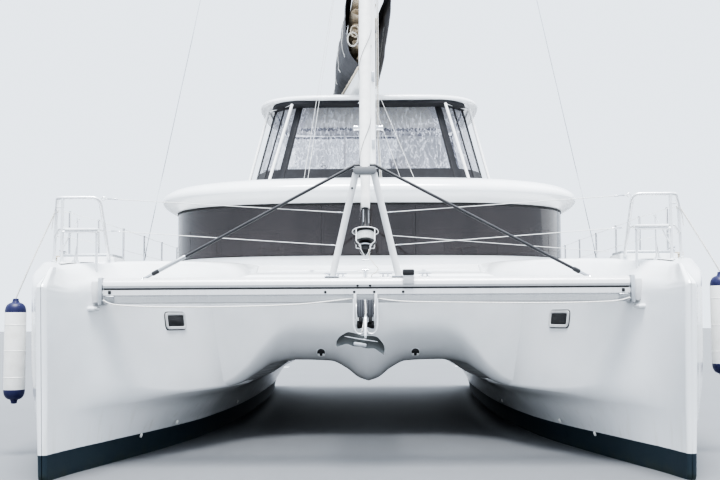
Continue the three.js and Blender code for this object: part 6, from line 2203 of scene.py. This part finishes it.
# inside, a short blind with a gathered lower edge hangs from the hardtop, in front of a pole
def makeBlind():
    rows, rise = [], 0.42
    for t in np.linspace(0, 1, 12):
        row = []
        for x in np.linspace(-1.02, 1.02, 150):
            x = float(x)
            gather = t ** 3 * (0.012 * math.sin(x * 46) + 0.01 * noise.noise(Vector((x * 9, 0, 4.0))))
            row.append((x * (1 + 0.13 * t), 0.86 - 0.13 * t + gather,
                5.165 - rise * t - 0.01 * t * math.sin(x * 3)))
        rows.append(row)
    blind = Shape().skin(rows, False)
    ruffle = Shape().tube([Vector(p) + Vector((0, 0.004 * math.sin(i * 1.9), 0))
        for i, p in enumerate(rows[-1])], [0.024 + 0.012 * math.sin(i * 1.3) for i in range(150)], 8)
    obj = piece("front_blind", blind, blindCloth, sharp=70)
    fold = piece("front_blind_hem", ruffle, greyCanvas, sharp=70)
    wide, deep = curtain["blind"]
    min(blind.area(), wide * deep)
    pole = Shape().tube([(-0.44, 1.3, 3.705), (-0.42, 1.32, 5.18)], 0.019, 12)
    piece("awning_pole", pole, mastPaint)


makeFlyDeck()
makeFlySeats()
makeHelm()
makeWheel()
makeHardtop()
makeCurtains()
makeFlap()
makeBlind()
print("flying bridge done")


swellPads()


# Mast, standing rigging, boom and the open lazy bag with its lowered sail

rig = {
    "y": -0.50, "half": (0.1195, 0.168), "foot": 3.712, "head": 22.38,
    "spreader": ((0.12, -0.485, 12.2), (1.076, -0.16, 12.26)),
    "hounds": 18.9, "chainplate": (3.836, 0.504, 2.24), "turn": 9.0, "pin": -0.24, "boomZ": 5.56,
    "boom": (-0.028, 5.746),
}
bag = {
    "y": (0.14, 1.0, 1.9, 2.6, 3.3, 4.4, 5.56), "half": (0.325, 0.315, 0.278, 0.21, 0.155, 0.135, 0.125),
    "port": (0.475, 0.405, 0.325, 0.23, 0.16, 0.135, 0.125),
    "top": (1.31, 0.90, 0.66, 0.46, 0.30, 0.235, 0.19), "foot": 5.706, "layers": 9, "sailLength": 5.45,
}
fromPin, toPin = (Matrix.Translation((0, y, 0)) for y in (rig["pin"], -rig["pin"]))
atBoom = fromPin @ Matrix.Rotation(math.radians(rig["turn"]), 4, "Z") @ toPin


def swung(shape):
    shape.points = [tuple(atBoom @ Vector(p)) for p in shape.points]
    return shape


def makeMast():
    size = rig
    halfX, halfY = size["half"]
    section = [(x, y + size["y"]) for x, y in superOval(halfX, halfY, 2.5, 48)]
    spar = Shape()
    tall = list(np.linspace(size["foot"], 18.0, 30)) + list(np.linspace(18.6, size["head"], 10))
    rows = []
    for z in tall:
        taper = 1 - 0.22 * clamp((z - 18.9) / 3.4)
        rows.append([(x * taper, size["y"] + 0.12 + (y - size["y"] - 0.12) * taper, z)
            for x, y in section])
    spar.skin(rows)
    back = size["y"] + halfY
    spar.block((-0.022, back - 0.02, 4.6), (0.022, back - 0.002, 18.7), 0.004, 1)
    for x in (-0.018, 0.018):
        spar.block((x - 0.006, back - 0.012, 4.6), (x + 0.006, back + 0.006, 18.7), 0.003, 1)
    spar.slab((-0.148, 0.148, size["y"] - 0.198, size["y"] + 0.198, 0.06), 3.6505, 3.672, 0.006)
    spar.slab((-0.135, 0.135, size["y"] - 0.185, size["y"] + 0.185, 0.09), 3.668, 3.709, 0.012, 3)
    for z in (4.26, 5.34):
        spar.block((0.055, size["y"] - 0.168, z - 0.085), (0.105, size["y"] - 0.12, z + 0.085), 0.01, 1)
    spar.block((0.022, size["y"] - 0.174, 5.8), (0.056, size["y"] - 0.16, 5.845), 0.006, 2)
    for z, x in ((4.57, 0.122), (4.95, -0.122), (6.9, 0.12)):
        spar.turned([(0.022, 0), (0.022, 0.008), (0.012, 0.014), (0.012, 0.035), (0.018, 0.04)],
            (x * 0.97, size["y"], z), (math.copysign(1, x), 0, 0), 14, 3)
    for low, high in ((5.402, 5.428), (5.672, 5.7)):
        outline = softened([(-0.04, -0.345), (0.04, -0.345), (0.032, -0.207), (-0.032, -0.207)], 0.02, 4)
        spar.plate(outline, low, high, 0.005, finish=3)
    for side in (-1, 1):
        spar.turned([(0.052, 0), (0.058, 0.01), (0.044, 0.03), (0.044, 0.085), (0.054, 0.1),
            (0.05, 0.12), (0.02, 0.125)], (side * 0.112, size["y"] + 0.02, 4.55), (side, 0.12, 0), 24, 3)
    spar.slab((-0.142, 0.142, -0.688, -0.442, 0.06), 18.845, 18.955, 0.012, 3, finish=3)
    spar.turned([(0.03, 0), (0.03, 0.02), (0.012, 0.022), (0.01, 0.02)], (0, -0.6, 22.372), (0, 0, 1),
        16, 3)
    piece("mast_spar", spar, [mastPaint, greyAlloy, blackPlastic, stainless],
        replaces=["mast"], sharp=50)


def makeStays():
    size = rig
    arm = Shape()
    a, b = (Vector(p) for p in size["spreader"])
    along = (b - a).normalized()
    rows = []
    for t in (0, 0.5, 0.97, 1.0):
        p, deep = a.lerp(b, t), between(0.0235, 0.019, t) * (0.5 if t == 1 else 1)
        place = facing(p, (0, 1, 0), along)
        rows.append([place @ Vector((x, y, 0)) for x, y in superOval(deep, deep * 0.62, 2.2, 20)])
    arm.skin(rows)
    place = facing(b - along * 0.012, (0, 1, 0), along)
    arm.turned([(0.0, -0.016), (0.016, -0.012), (0.018, 0.0), (0.014, 0.01), (0.0, 0.012)],
        place @ Vector((0, 0, 0)), along, 14, 1)
    pair("spreader_arm_{}", arm, [mastPaint, blackPlastic], replaces=["spreader_{}"])

    wires = Shape()
    foot, top = Vector(size["chainplate"]), Vector((0.138, -0.482, size["hounds"]))
    way = (top - foot).normalized()
    wires.tube([foot + way * 0.3, top], 0.0065, 8)
    wires.turned([(0.006, 0), (0.011, 0.02), (0.011, 0.11), (0.0185, 0.13), (0.0185, 0.36), (0.01, 0.38),
        (0.009, 0.46), (0.0066, 0.5)], foot + way * 0.03, way, 14)
    plate = facing(foot, (0, 1, 0), (1, 0, 0))
    outline = softened([(-0.03, -0.04), (0.03, -0.04), (0.022, 0.075), (-0.022, 0.075)], 0.02, 4)
    wires.plate(outline, -0.006, 0.006, 0.002, place=plate)
    pair("shroud_wire_{}", wires, stainless, replaces=["shroud_{}"])

    diamonds = Shape()
    tip = b - along * 0.01
    for start, end in (((0.13, -0.47, 18.85), tip), (tip, (0.118, -0.46, 6.9))):
        diamonds.tube([start, end], 0.0042, 6)
    pair("diamond_stay_{}", diamonds, stainless)
    print("mast and stays done")


def tautLine(shape, points, radius=0.0035, finish=0):
    return shape.tube([Vector(p) for p in points], radius, 6, finish=finish)


def makeLines():
    port, stbd = Shape(), Shape()
    for i, x in enumerate((0.137, 0.153, 0.168)):
        tautLine(port, [(x * 0.9, -0.47 + i * 0.03, 18.7), (x, -0.45 + i * 0.03, 6.4),
            (x, -0.42 + i * 0.03, 4.4), (x + 0.05, -0.33 + i * 0.03, 3.66)], 0.0048, i % 2)
    for x0, x1 in ((-1.055, -0.13), (-0.992, -0.12)):
        tautLine(stbd, [(x0, -0.3, 3.648), (x1, -0.47, 9.35 if x0 < -1 else 9.5)], 0.0042)
    tautLine(port, [tuple(atBoom @ Vector((0.13, 0.42, 5.66))), (0.8, -0.06, 3.642)], 0.0042)
    tautLine(port, [tuple(atBoom @ Vector((0.06, 0.3, 5.43))), (0.565, -0.1, 3.645)], 0.0042)
    for x, y in ((-1.055, -0.3), (-0.992, -0.3), (0.8, -0.06), (0.565, -0.1), (0.19, -0.33),
            (0.21, -0.27)):
        stbd.block((x - 0.025, y - 0.018, 3.64), (x + 0.025, y + 0.018, 3.655), 0.004, 1)
        ringAt(stbd, (x, y, 3.664), (1, 0, 0), 0.016, 0.004, 1, 14, 6)
    piece("halyards_port", port, [thinLine, dockRope], sharp=60)
    piece("lines_stbd", stbd, [thinLine, stainless], sharp=60)


def makeBoom():
    size = rig
    y0, y1 = size["boom"]
    tube = Shape()
    section = superOval(0.1035, 0.138, 3.4, 44)
    rows = []
    for y, grow in ((y0, 0.93), (y0 + 0.02, 1.0), (y1 - 0.02, 1.0), (y1, 0.93)):
        rows.append([(x * grow, y, size["boomZ"] + z * grow) for x, z in section])
    tube.skin(rows)
    for side in (-1, 1):
        sidePlate(tube, [(-0.122, size["boomZ"] - 0.034), (0.04, size["boomZ"] - 0.034),
            (0.04, size["boomZ"] + 0.034), (-0.122, size["boomZ"] + 0.034)], side * 0.0455 - 0.0065,
            side * 0.0455 + 0.0065, 0.004, 0.02, 1)
    for y in (1.35, 2.9, 4.7):
        tube.turned([(0.019, -0.002), (0.019, 0.01), (0.01, 0.014)], (0.0, y, size["boomZ"] - 0.136),
            (0, 0, -1), 16, 1)
        ringAt(tube, (0.0, y, size["boomZ"] - 0.166), (0, 1, 0), 0.018, 0.005, 1, 16, 6)
    tube.block((-0.085, y1 - 0.03, size["boomZ"] - 0.11), (0.085, y1 + 0.003, size["boomZ"] + 0.11),
        0.012, 2)
    piece("boom_tube", swung(tube), [mastPaint, stainless, greyAlloy], "boom", ["boom"],
        45)

    pin = Shape()
    pin.turned([(0.0215, 0.0), (0.0215, 0.234)], (0, size["pin"], 5.433), (0, 0, 1), 18)
    for z in (5.4335, 5.655):
        pin.turned([(0.034, 0), (0.034, 0.012), (0.028, 0.0125)], (0, size["pin"], z), (0, 0, 1), 18)
    pin.block((-0.0215, size["pin"] + 0.004, 5.531), (0.0215, -0.092, 5.589), 0.006)
    pin.turned([(0.012, -0.0375), (0.034, -0.0365), (0.0355, -0.03), (0.0355, 0.03), (0.034, 0.0365),
        (0.012, 0.0375)], (0, -0.09, 5.56), (1, 0, 0), 20)
    piece("gooseneck_swivel", swung(pin), stainless, "swivel", ["gooseneck"])


# one leaf of the bag: it rises from the boom, bellies out and rolls over along its edge
def leafRow(y, side, steps):
    half, top = (faired(bag["y"], bag[k], y) for k in ("port" if side > 0 else "half", "top"))
    base = 0.086
    if side > 0:
        # the port leaf stands open, and its fore end hangs over the boom's side
        fore = 1 - ease(clamp((y - 0.3) / 0.95))
        points = [(between(base, 0.225, fore), -0.34 * fore),
            (between(half * 0.5, 0.27, fore), between(top * 0.015, -0.15, fore)),
            (half * 0.71, top * 0.08), (half * 0.86, top * 0.42), (half * 0.985, top * 0.82),
            (half * 0.985, top * 0.93), (half * 0.92, top), (half * 0.82, top * 0.985),
            (half * 0.76, top * 0.9)]
    else:
        points = [(base, 0.0), (base + (half - base) * 0.72, top * 0.17), (half * 0.985, top * 0.42),
            (half * 0.99, top * 0.68), (half * 0.93, top * 0.9), (half * 0.84, top),
            (half * 0.72, top * 0.985), (half * 0.66, top * 0.9)]
    return [(side * p.x, y, bag["foot"] + p.y) for p in spaced(throughPoints([(*p, 0) for p in points],
        5), steps)]


def makeBag():
    size = bag

    def rowAt(y):
        return int((y - size["y"][0]) / (size["y"][-1] - size["y"][0]) * 99)

    for name, side, seed in (("port", 1, 2.3), ("stbd", -1, 9.1)):
        rows = []
        for y in np.linspace(size["y"][0], size["y"][-1], 100):
            row = []
            for k, p in enumerate(leafRow(float(y), side, 30)):
                t = k / 29
                low = noise.fractal(Vector((p[1] * 2.2 + seed, p[2] * 1.6, side * 4.0)), 0.7, 2.0, 4)
                fine = noise.fractal(Vector((p[1] * 7.0, p[2] * 5.0 + seed, 3.0)), 0.6, 2.0, 3)
                pull = math.sin(min(1.0, t * 1.6) * math.pi / 2) * (0.024 * low + 0.008 * fine)
                row.append((p[0] - side * abs(pull) * 1.2 - side * 0.004, p[1],
                    p[2] - 0.4 * abs(pull) * t))
            rows.append(row)
        leaf = Shape().skin(rows, False)
        area = leaf.area()
        trim = Shape()
        for fixed, radius in ((29, 0.008), (0, 0.01)):
            trim.tube([rows[i][fixed] for i in range(0, 100, 3)], radius, 7,
                finish=1 if fixed == 0 else 0)
        for y in (0.62, 1.35, 2.15, 3.1, 4.3):
            edge = [Vector(rows[rowAt(y) + (j > 8)][j]) + Vector((side * 0.004, 0, 0))
                for j in range(7, 22)]
            trim.tube(edge, 0.0065, 6, finish=1)
        for y in (0.75, 1.9, 3.2, 4.8):
            ringAt(trim, Vector(rows[rowAt(y)][26]) + Vector((0, 0, 0.012)), (0, 1, 0), 0.014, 0.0035, 2,
                14, 6)
        obj = piece(f"bag_leaf_{name}", swung(leaf), bagCanvas, "boom",
            ["sail_bag"] if name == "port" else (), 70)
        hem = piece(f"bag_hem_{name}", swung(trim), [greyCanvas, jibCloth, stainless],
            "boom")
    makeFoldedSail()


def makeFoldedSail():
    size = bag
    rows = []
    layers = size["layers"]
    for y in np.linspace(0.16, 5.52, 110):
        y = float(y)
        half, top = (faired(size["y"], size[k], y) for k in ("half", "top"))
        row = []
        high = top * between(0.9, 0.72, clamp(y / 3))
        for k in range(layers * 10 + 1):
            level = k / 10
            swing = math.cos(level * math.pi)
            side = math.copysign(abs(swing) ** 0.55, swing)
            rise = level / layers
            narrowing = 1 - 0.22 * max(0.0, rise - 0.6) * 2.5
            belly = between(0.085, half * 0.86, clamp(rise * 3.2)) * narrowing
            uneven = noise.noise(Vector((y * 0.9, math.floor(level + 0.5) * 3.1, 1.0)))
            wide = belly * (0.8 + 0.16 * uneven)
            crumple = noise.fractal(Vector((side * 1.6 + level, y * 3.3, level * 1.3)), 0.7, 2.1, 4)
            lift = crumple * 0.03 * clamp(rise * 5) * clamp((top - 0.1) * 2)
            z = size["foot"] + 0.012 + high * rise + lift
            row.append((side * wide, y + 0.02 * crumple - (0.05 * (1 - abs(side)) if y < 0.4 else 0), z))
        rows.append(row)
    sail = Shape().skin(rows, False)
    width, long = max(lengthOf(row) for row in rows), size["sailLength"]
    area = min(sail.area(), width * long)
    obj = piece("lowered_sail", swung(sail), sailcloth, "boom", (), 70)
    roll = Shape()
    path = [(-0.098 + 0.01 * noise.noise(Vector((y * 2.2, 1, 5))), y,
        5.688 + 0.012 * noise.noise(Vector((y * 3, 9, 1)))) for y in np.linspace(0.13, 3.6, 60)]
    radii = [0.021 + 0.007 * noise.noise(Vector((p[1] * 6, 3, 3))) for p in path]
    roll.tube(path, radii, 12)
    piece("sail_foot_roll", swung(roll), sailcloth, "boom", (), 70)
    for i, (x, y, z, r) in enumerate(((-0.2, 0.135, 6.2, 0.085), (-0.165, 0.12, 6.33, 0.07))):
        loop = []
        for t in np.linspace(0, 2 * math.pi * 3.2, 80):
            wobble = 1 + 0.09 * math.sin(t * 0.62 + i)
            loop.append(tuple(atBoom @ Vector((x + r * wobble * math.cos(t + 1.2),
                y - 0.002 * t * 0.6 - 0.004, z - 0.06 + 1.35 * r * wobble * math.sin(t + 1.2)))))
        rope(f"reef_line_{i}", loop, 0.009, dockRope if i else whiteRope, "boom")


makeMast()
makeStays()
makeLines()
makeBoom()
makeBag()
print("rig done")


# Rudders, drives, propellers, lids and deck fittings

stern = {"x": 2.8533, "driveX": 2.845, "shaft": -0.88, "gearcase": 4.63, "wellFloor": 0.12}
bladeSection = ((0.0, 0.0), (0.02, 0.36), (0.08, 0.72), (0.18, 0.96), (0.32, 1.0), (0.55, 0.8),
    (0.8, 0.4), (0.97, 0.1), (1.0, 0.05))


def foilRow(x, fore, chord, half, z):
    near = [(x + w * half, fore + t * chord, z) for t, w in bladeSection]
    return near + [(x - w * half, fore + t * chord, z) for t, w in reversed(bladeSection[1:])]


def makeRudders():
    x = stern["x"]
    blade = Shape()
    rows = []
    for z, k in ((-0.3008, 0.97), (-0.306, 1.0), (-0.6, 1.0), (-0.9, 1.0), (-1.08, 0.99), (-1.125, 0.95),
            (-1.143, 0.86), (-1.1495, 0.66)):
        t = (-0.3 - z) / 0.85
        fore, chord, half = between(5.66, 5.76, t), between(0.53, 0.34, t), between(0.034, 0.02, t)
        rows.append(foilRow(x, fore + chord * (1 - k) * 0.4, chord * k, half * k, z))
    blade.skin(rows)
    blade.turned([(0.0295, 0.0), (0.0295, 0.028)], (x, 5.9, -0.319), (0, 0, 1), 20, 1)
    pair("rudder_blade_{}", blade, [navyPaint, stainless], "rudder_{}", ["rudder_{}"], 50)


def makeDrives():
    x, z, floor = stern["driveX"], stern["shaft"], stern["wellFloor"] + 0.0006
    drive = Shape()
    drive.block((x - 0.2, 4.1, floor + 0.22), (x + 0.2, 4.68, floor + 0.56), 0.03)
    drive.block((x - 0.15, 4.08, floor + 0.52), (x + 0.15, 4.7, floor + 0.66), 0.03)
    drive.block((x - 0.225, 4.02, floor + 0.001), (x - 0.17, 4.78, floor + 0.24), 0.012)
    drive.block((x + 0.17, 4.02, floor + 0.001), (x + 0.225, 4.78, floor + 0.24), 0.012)
    drive.block((x - 0.2, 4.2, floor + 0.08), (x + 0.2, 4.6, floor + 0.26), 0.03)
    for i in range(3):
        y = 4.2 + i * 0.19
        drive.block((x - 0.11, y - 0.07, floor + 0.65), (x + 0.11, y + 0.07, floor + 0.695), 0.012, 1)
        drive.tube([(x + 0.17, y, floor + 0.44), (x + 0.222, y, floor + 0.44),
            (x + 0.222, y, floor + 0.34)], 0.02, 10)
    drive.turned([(0.09, 0.0), (0.09, 0.018), (0.075, 0.022), (0.09, 0.028), (0.09, 0.05),
        (0.02, 0.052)], (x, 4.079, floor + 0.34), (0, -1, 0), 28, 1)
    drive.turned([(0.055, 0.0), (0.055, 0.04), (0.02, 0.042)], (x + 0.12, 4.085, floor + 0.52),
        (0, -1, 0), 22, 1)
    drive.turned([(0.05, 0.0), (0.052, 0.1), (0.045, 0.12), (0.0, 0.125)], (x - 0.185, 4.3, floor + 0.3),
        (0, 0, -1), 20, 1)
    drive.bent([(x - 0.12, 4.66, floor + 0.6), (x - 0.12, 4.75, floor + 0.6),
        (x - 0.12, 4.75, floor + 0.2)], 0.06, 5, 0.026, 12, finish=1)
    drive.skin([foilRow(x, 4.256, 0.278, 0.05, h) for h in (z + 0.02, -0.3, floor + 0.09)])
    drive.turned([(0.012, 0.0), (0.034, 0.02), (0.052, 0.06), (0.061, 0.13), (0.0615, 0.25),
        (0.0615, 0.36), (0.052, 0.425), (0.046, 0.4295)], (x, 4.2003, z), (0, 1, 0), 30)
    drive.tube([(x, 4.27, z + 0.1), (x, 4.27, z + 0.4)], 0.008, 8)
    drive.turned([(0.016, 0), (0.016, 0.014), (0.008, 0.016)], (x + 0.046, 4.4, z + 0.2), (1, 0, 0), 12,
        1)
    pair("sail_drive_{}", drive, [paintGrey, rubber], "boat", ["drive_{}"], 40)


def makePropellers():
    x, z = stern["driveX"], stern["shaft"]
    prop = Shape()
    prop.turned([(0.044, 0.0006), (0.0475, 0.01), (0.0475, 0.06), (0.044, 0.085), (0.03, 0.104),
        (0.0, 0.1095)], (x, stern["gearcase"], z), (0, 1, 0), 30)
    for i in range(3):
        hub = Matrix.Translation((x, stern["gearcase"] + 0.055, z))
        turn = hub @ Matrix.Rotation(2 * math.pi * i / 3, 4, "Y")
        rows = []
        for r, chord, pitch, thick in ((0.036, 0.05, 1.0, 0.009), (0.07, 0.09, 0.82, 0.0075),
                (0.115, 0.122, 0.62, 0.006), (0.165, 0.125, 0.48, 0.005), (0.205, 0.098, 0.4, 0.004),
                (0.226, 0.05, 0.37, 0.003)):
            spin = Matrix.Rotation(pitch - 0.05, 4, "Z")
            ring = []
            for u, v in superOval(chord / 2, thick, 2.0, 18):
                ring.append(turn @ (spin @ Vector((u + 0.01 * (r / 0.23), v, r))))
            rows.append(ring)
        prop.skin(rows)
    pair("propeller_wheel_{}", prop, bronzeCast, "propeller_{}", ["propeller_{}"], 40)


# a lid and the panel of grip on it, and how high the two rise over the deck
lidSizes = {
    "engine": {
        "deck": 2.3003, "outline": (2.522, 3.298, 3.942, 4.868, 0.05),
        "panel": (2.57, 3.25, 3.99, 4.82, 0.04), "rise": (0.030, 0.0395), "catch": (2.91, 4.845),
        "hinges": (2.68, 3.14), "half": 0.035, "hingeY": (3.944, 3.975), "hingeZ": (0.024, 0.0375),
    },
    "locker": {
        "deck": 2.1503, "outline": (0.132, 1.368, -2.928, -2.402, 0.05),
        "panel": (0.175, 1.325, -2.885, -2.445, 0.04), "rise": (0.026, 0.0345), "catch": (0.75, -2.905),
        "hinges": (0.35, 1.15), "half": 0.04, "hingeY": (-2.435, -2.404), "hingeZ": (0.020, 0.033),
    },
}


def makeLid(name):
    size = lidSizes[name]
    z, (thick, high), half = size["deck"], size["rise"], size["half"]
    lid = Shape()
    lid.slab(size["outline"], z + 0.0004, z + thick, 0.008, 3)
    lid.slab(size["panel"], z + thick - 0.002, z + high, 0.006, 3, finish=1)
    (y0, y1), (low, top) = size["hingeY"], size["hingeZ"]
    for x in size["hinges"]:
        lid.block((x - half, y0, z + low), (x + half, y1, z + top), 0.005, 2)
    catch = [(0.034, 0.0), (0.034, 0.004), (0.026, 0.0045), (0.024, 0.001)]
    lid.turned(catch, (*size["catch"], z + thick - 0.0005), (0, 0, 1), 22, 2)
    node = name + "_lid_{}"
    pair(name + "_cover_{}", lid, [white, grip, stainless], node, [node])


bowHatch = {"deck": 2.2353, "frame": (2.822, 3.418, -5.358, -4.802), "corner": 0.07,
    "pane": (2.862, 3.378, -5.318, -4.842, 0.04), "hinges": (2.98, 3.26), "catch": -5.28}


def makeHatch():
    size = bowHatch
    z = size["deck"]
    x0, x1, y0, y1 = size["frame"]
    hatch = Shape()
    rows = []
    for inward, up in ((0.0, 0.0004), (0.0, 0.02), (0.006, 0.03), (0.03, 0.0335), (0.042, 0.03),
            (0.046, 0.0004)):
        outline = roundedBox(x0 + inward, x1 - inward, y0 + inward, y1 - inward,
            max(0.02, size["corner"] - inward))
        rows.append([(x, y, z + up) for x, y in outline])
    hatch.skin(rows + rows[:1], True, False)
    hatch.slab(size["pane"], z + 0.014, z + 0.027, 0.003, finish=1)
    for x in size["hinges"]:
        hatch.block((x - 0.03, -4.834, z + 0.018), (x + 0.03, -4.806, z + 0.0335), 0.004, 2)
        hatch.turned([(0.017, 0), (0.017, 0.005), (0.01, 0.007)], (x, size["catch"], z + 0.0265),
            (0, 0, 1), 14, 2)
    pair("bow_hatch_frame_{}", hatch, [greyAlloy, tinted, blackPlastic], "bow_hatch_{}",
        ["bow_hatch_{}"])


def onDeck(x, y, fallback):
    depsgraph = bpy.context.evaluated_depsgraph_get()
    hit = bpy.context.scene.ray_cast(depsgraph, Vector((x, y, fallback + 0.6)), Vector((0, 0, -1)),
        distance=1.5)
    return hit[1].z if hit[0] else fallback


def makeDeckFittings():
    gear = Shape()
    for x, y in ((3.4, -5.25), (3.62, 1.25), (3.5, 5.45)):
        z = onDeck(x, y, 2.3)
        cleat(gear, (x, y, z - 0.0015), (0, 1, 0), 0.26)
    for x, y, r in ((3.45, -4.35, 0.022), (3.55, 3.6, 0.03), (3.55, 3.42, 0.03)):
        z = onDeck(x, y, 2.3)
        gear.turned([(r, -0.002), (r, 0.003), (r * 0.8, 0.0045)], (x, y, z), (0, 0, 1), 20)
    pair("deck_fittings_{}", gear, stainless)
    winch = Shape()
    for x, y, z in ((-0.75, 0.42, 3.9495), (0.75, 0.42, 3.9495)):
        winch.turned([(0.06, 0.0), (0.062, 0.012), (0.05, 0.022), (0.043, 0.045), (0.043, 0.085),
            (0.052, 0.108), (0.055, 0.118), (0.04, 0.13), (0.0, 0.132)], (x, y, z), (0, 0, 1), 30)
        winch.turned([(0.0585, 0.0), (0.0585, 0.01), (0.03, 0.0101)], (x, y, z + 0.1155), (0, 0, 1), 30,
            1)
    piece("coaming_winches", winch, [stainless, blackPlastic])


makeRudders()
makeDrives()
makePropellers()
makeLid("engine")
makeLid("locker")
makeHatch()
makeDeckFittings()
print("stern gear done")


# Light, floor and camera

studio = {
    "camera": (0.116, -16.86, 1.54), "turn": 0.9, "tilt": 94.28, "roll": -0.3, "lens": 52.1,
    "sky": (0.78, 0.85, 0.94), "skyStrength": 1.75, "floor": (0.15, 0.156, 0.165),
    "look": "AgX - High Contrast",
    # name, strength, softness in degrees, and how it is turned
    "lights": (("key", 6.6, 28, (14, 6, -24)), ("fill", 0.7, 60, (62, 0, 118))),
}


def makeStudio():
    scene = bpy.context.scene
    camera = bpy.data.cameras.new("viewpoint")
    camera.sensor_width, camera.lens = 36, studio["lens"]
    camera.clip_end = 300
    viewpoint = bpy.data.objects.new("viewpoint", camera)
    scene.collection.objects.link(viewpoint)
    turns = [Matrix.Rotation(math.radians(studio[k]), 4, axis)
        for k, axis in (("turn", "Z"), ("tilt", "X"), ("roll", "Z"))]
    viewpoint.matrix_world = Matrix.Translation(studio["camera"]) @ turns[0] @ turns[1] @ turns[2]
    scene.camera = viewpoint

    world = bpy.data.worlds.new("sky")
    world.use_nodes = True
    scene.world = world
    background = world.node_tree.nodes["Background"]
    background.inputs["Color"].default_value = (*studio["sky"], 1)
    background.inputs["Strength"].default_value = studio["skyStrength"]
    scene.view_settings.look = studio["look"]

    for name, energy, angle, turn in studio["lights"]:
        light = bpy.data.lights.new(name, "SUN")
        light.energy, light.angle = energy, math.radians(angle)
        lamp = bpy.data.objects.new(name, light)
        lamp.rotation_euler = [math.radians(a) for a in turn]
        scene.collection.objects.link(lamp)

    f = Finish("studio floor")
    where = f.place()
    soft = f.noise(where, 0.35, 3)
    look = f.shade(baseColor=f.blend(soft.step(0.3, 0.7), studio["floor"],
        tuple(c * 0.96 for c in studio["floor"])), roughness=0.55)
    ground = Shape()
    ground.skin([[(x, y, 0.0) for x in (-90, 90)] for y in (-60, 120)], False)
    floor = bpy.data.objects.new("floor", ground.mesh("floor", [look]))
    scene.collection.objects.link(floor)


makeStudio()
lookFor = {"gelcoat": white, "painted_alloy": mastPaint, "stainless": stainless,
    "black_rigging": blackRod, "netting": net, "tinted_glass": tinted, "grey_canvas": greyCanvas,
    "sailcloth": jibCloth, "joinery": joinery, "upholstery": seatCloth, "foil_paint": white,
    "drive_casting": paintGrey, "bronze": bronzeCast}
slotOf = {p["node"]: p["material_slot"] for p in frame["record"]["subparts"]}
for name, node in frame["nodes"].items():
    if not node.hide_render:
        node.data.materials.clear()
        node.data.materials.append(lookFor[slotOf[name]])
        node.data.shade_smooth()
        node.data.set_sharp_from_angle(angle=math.radians(30))
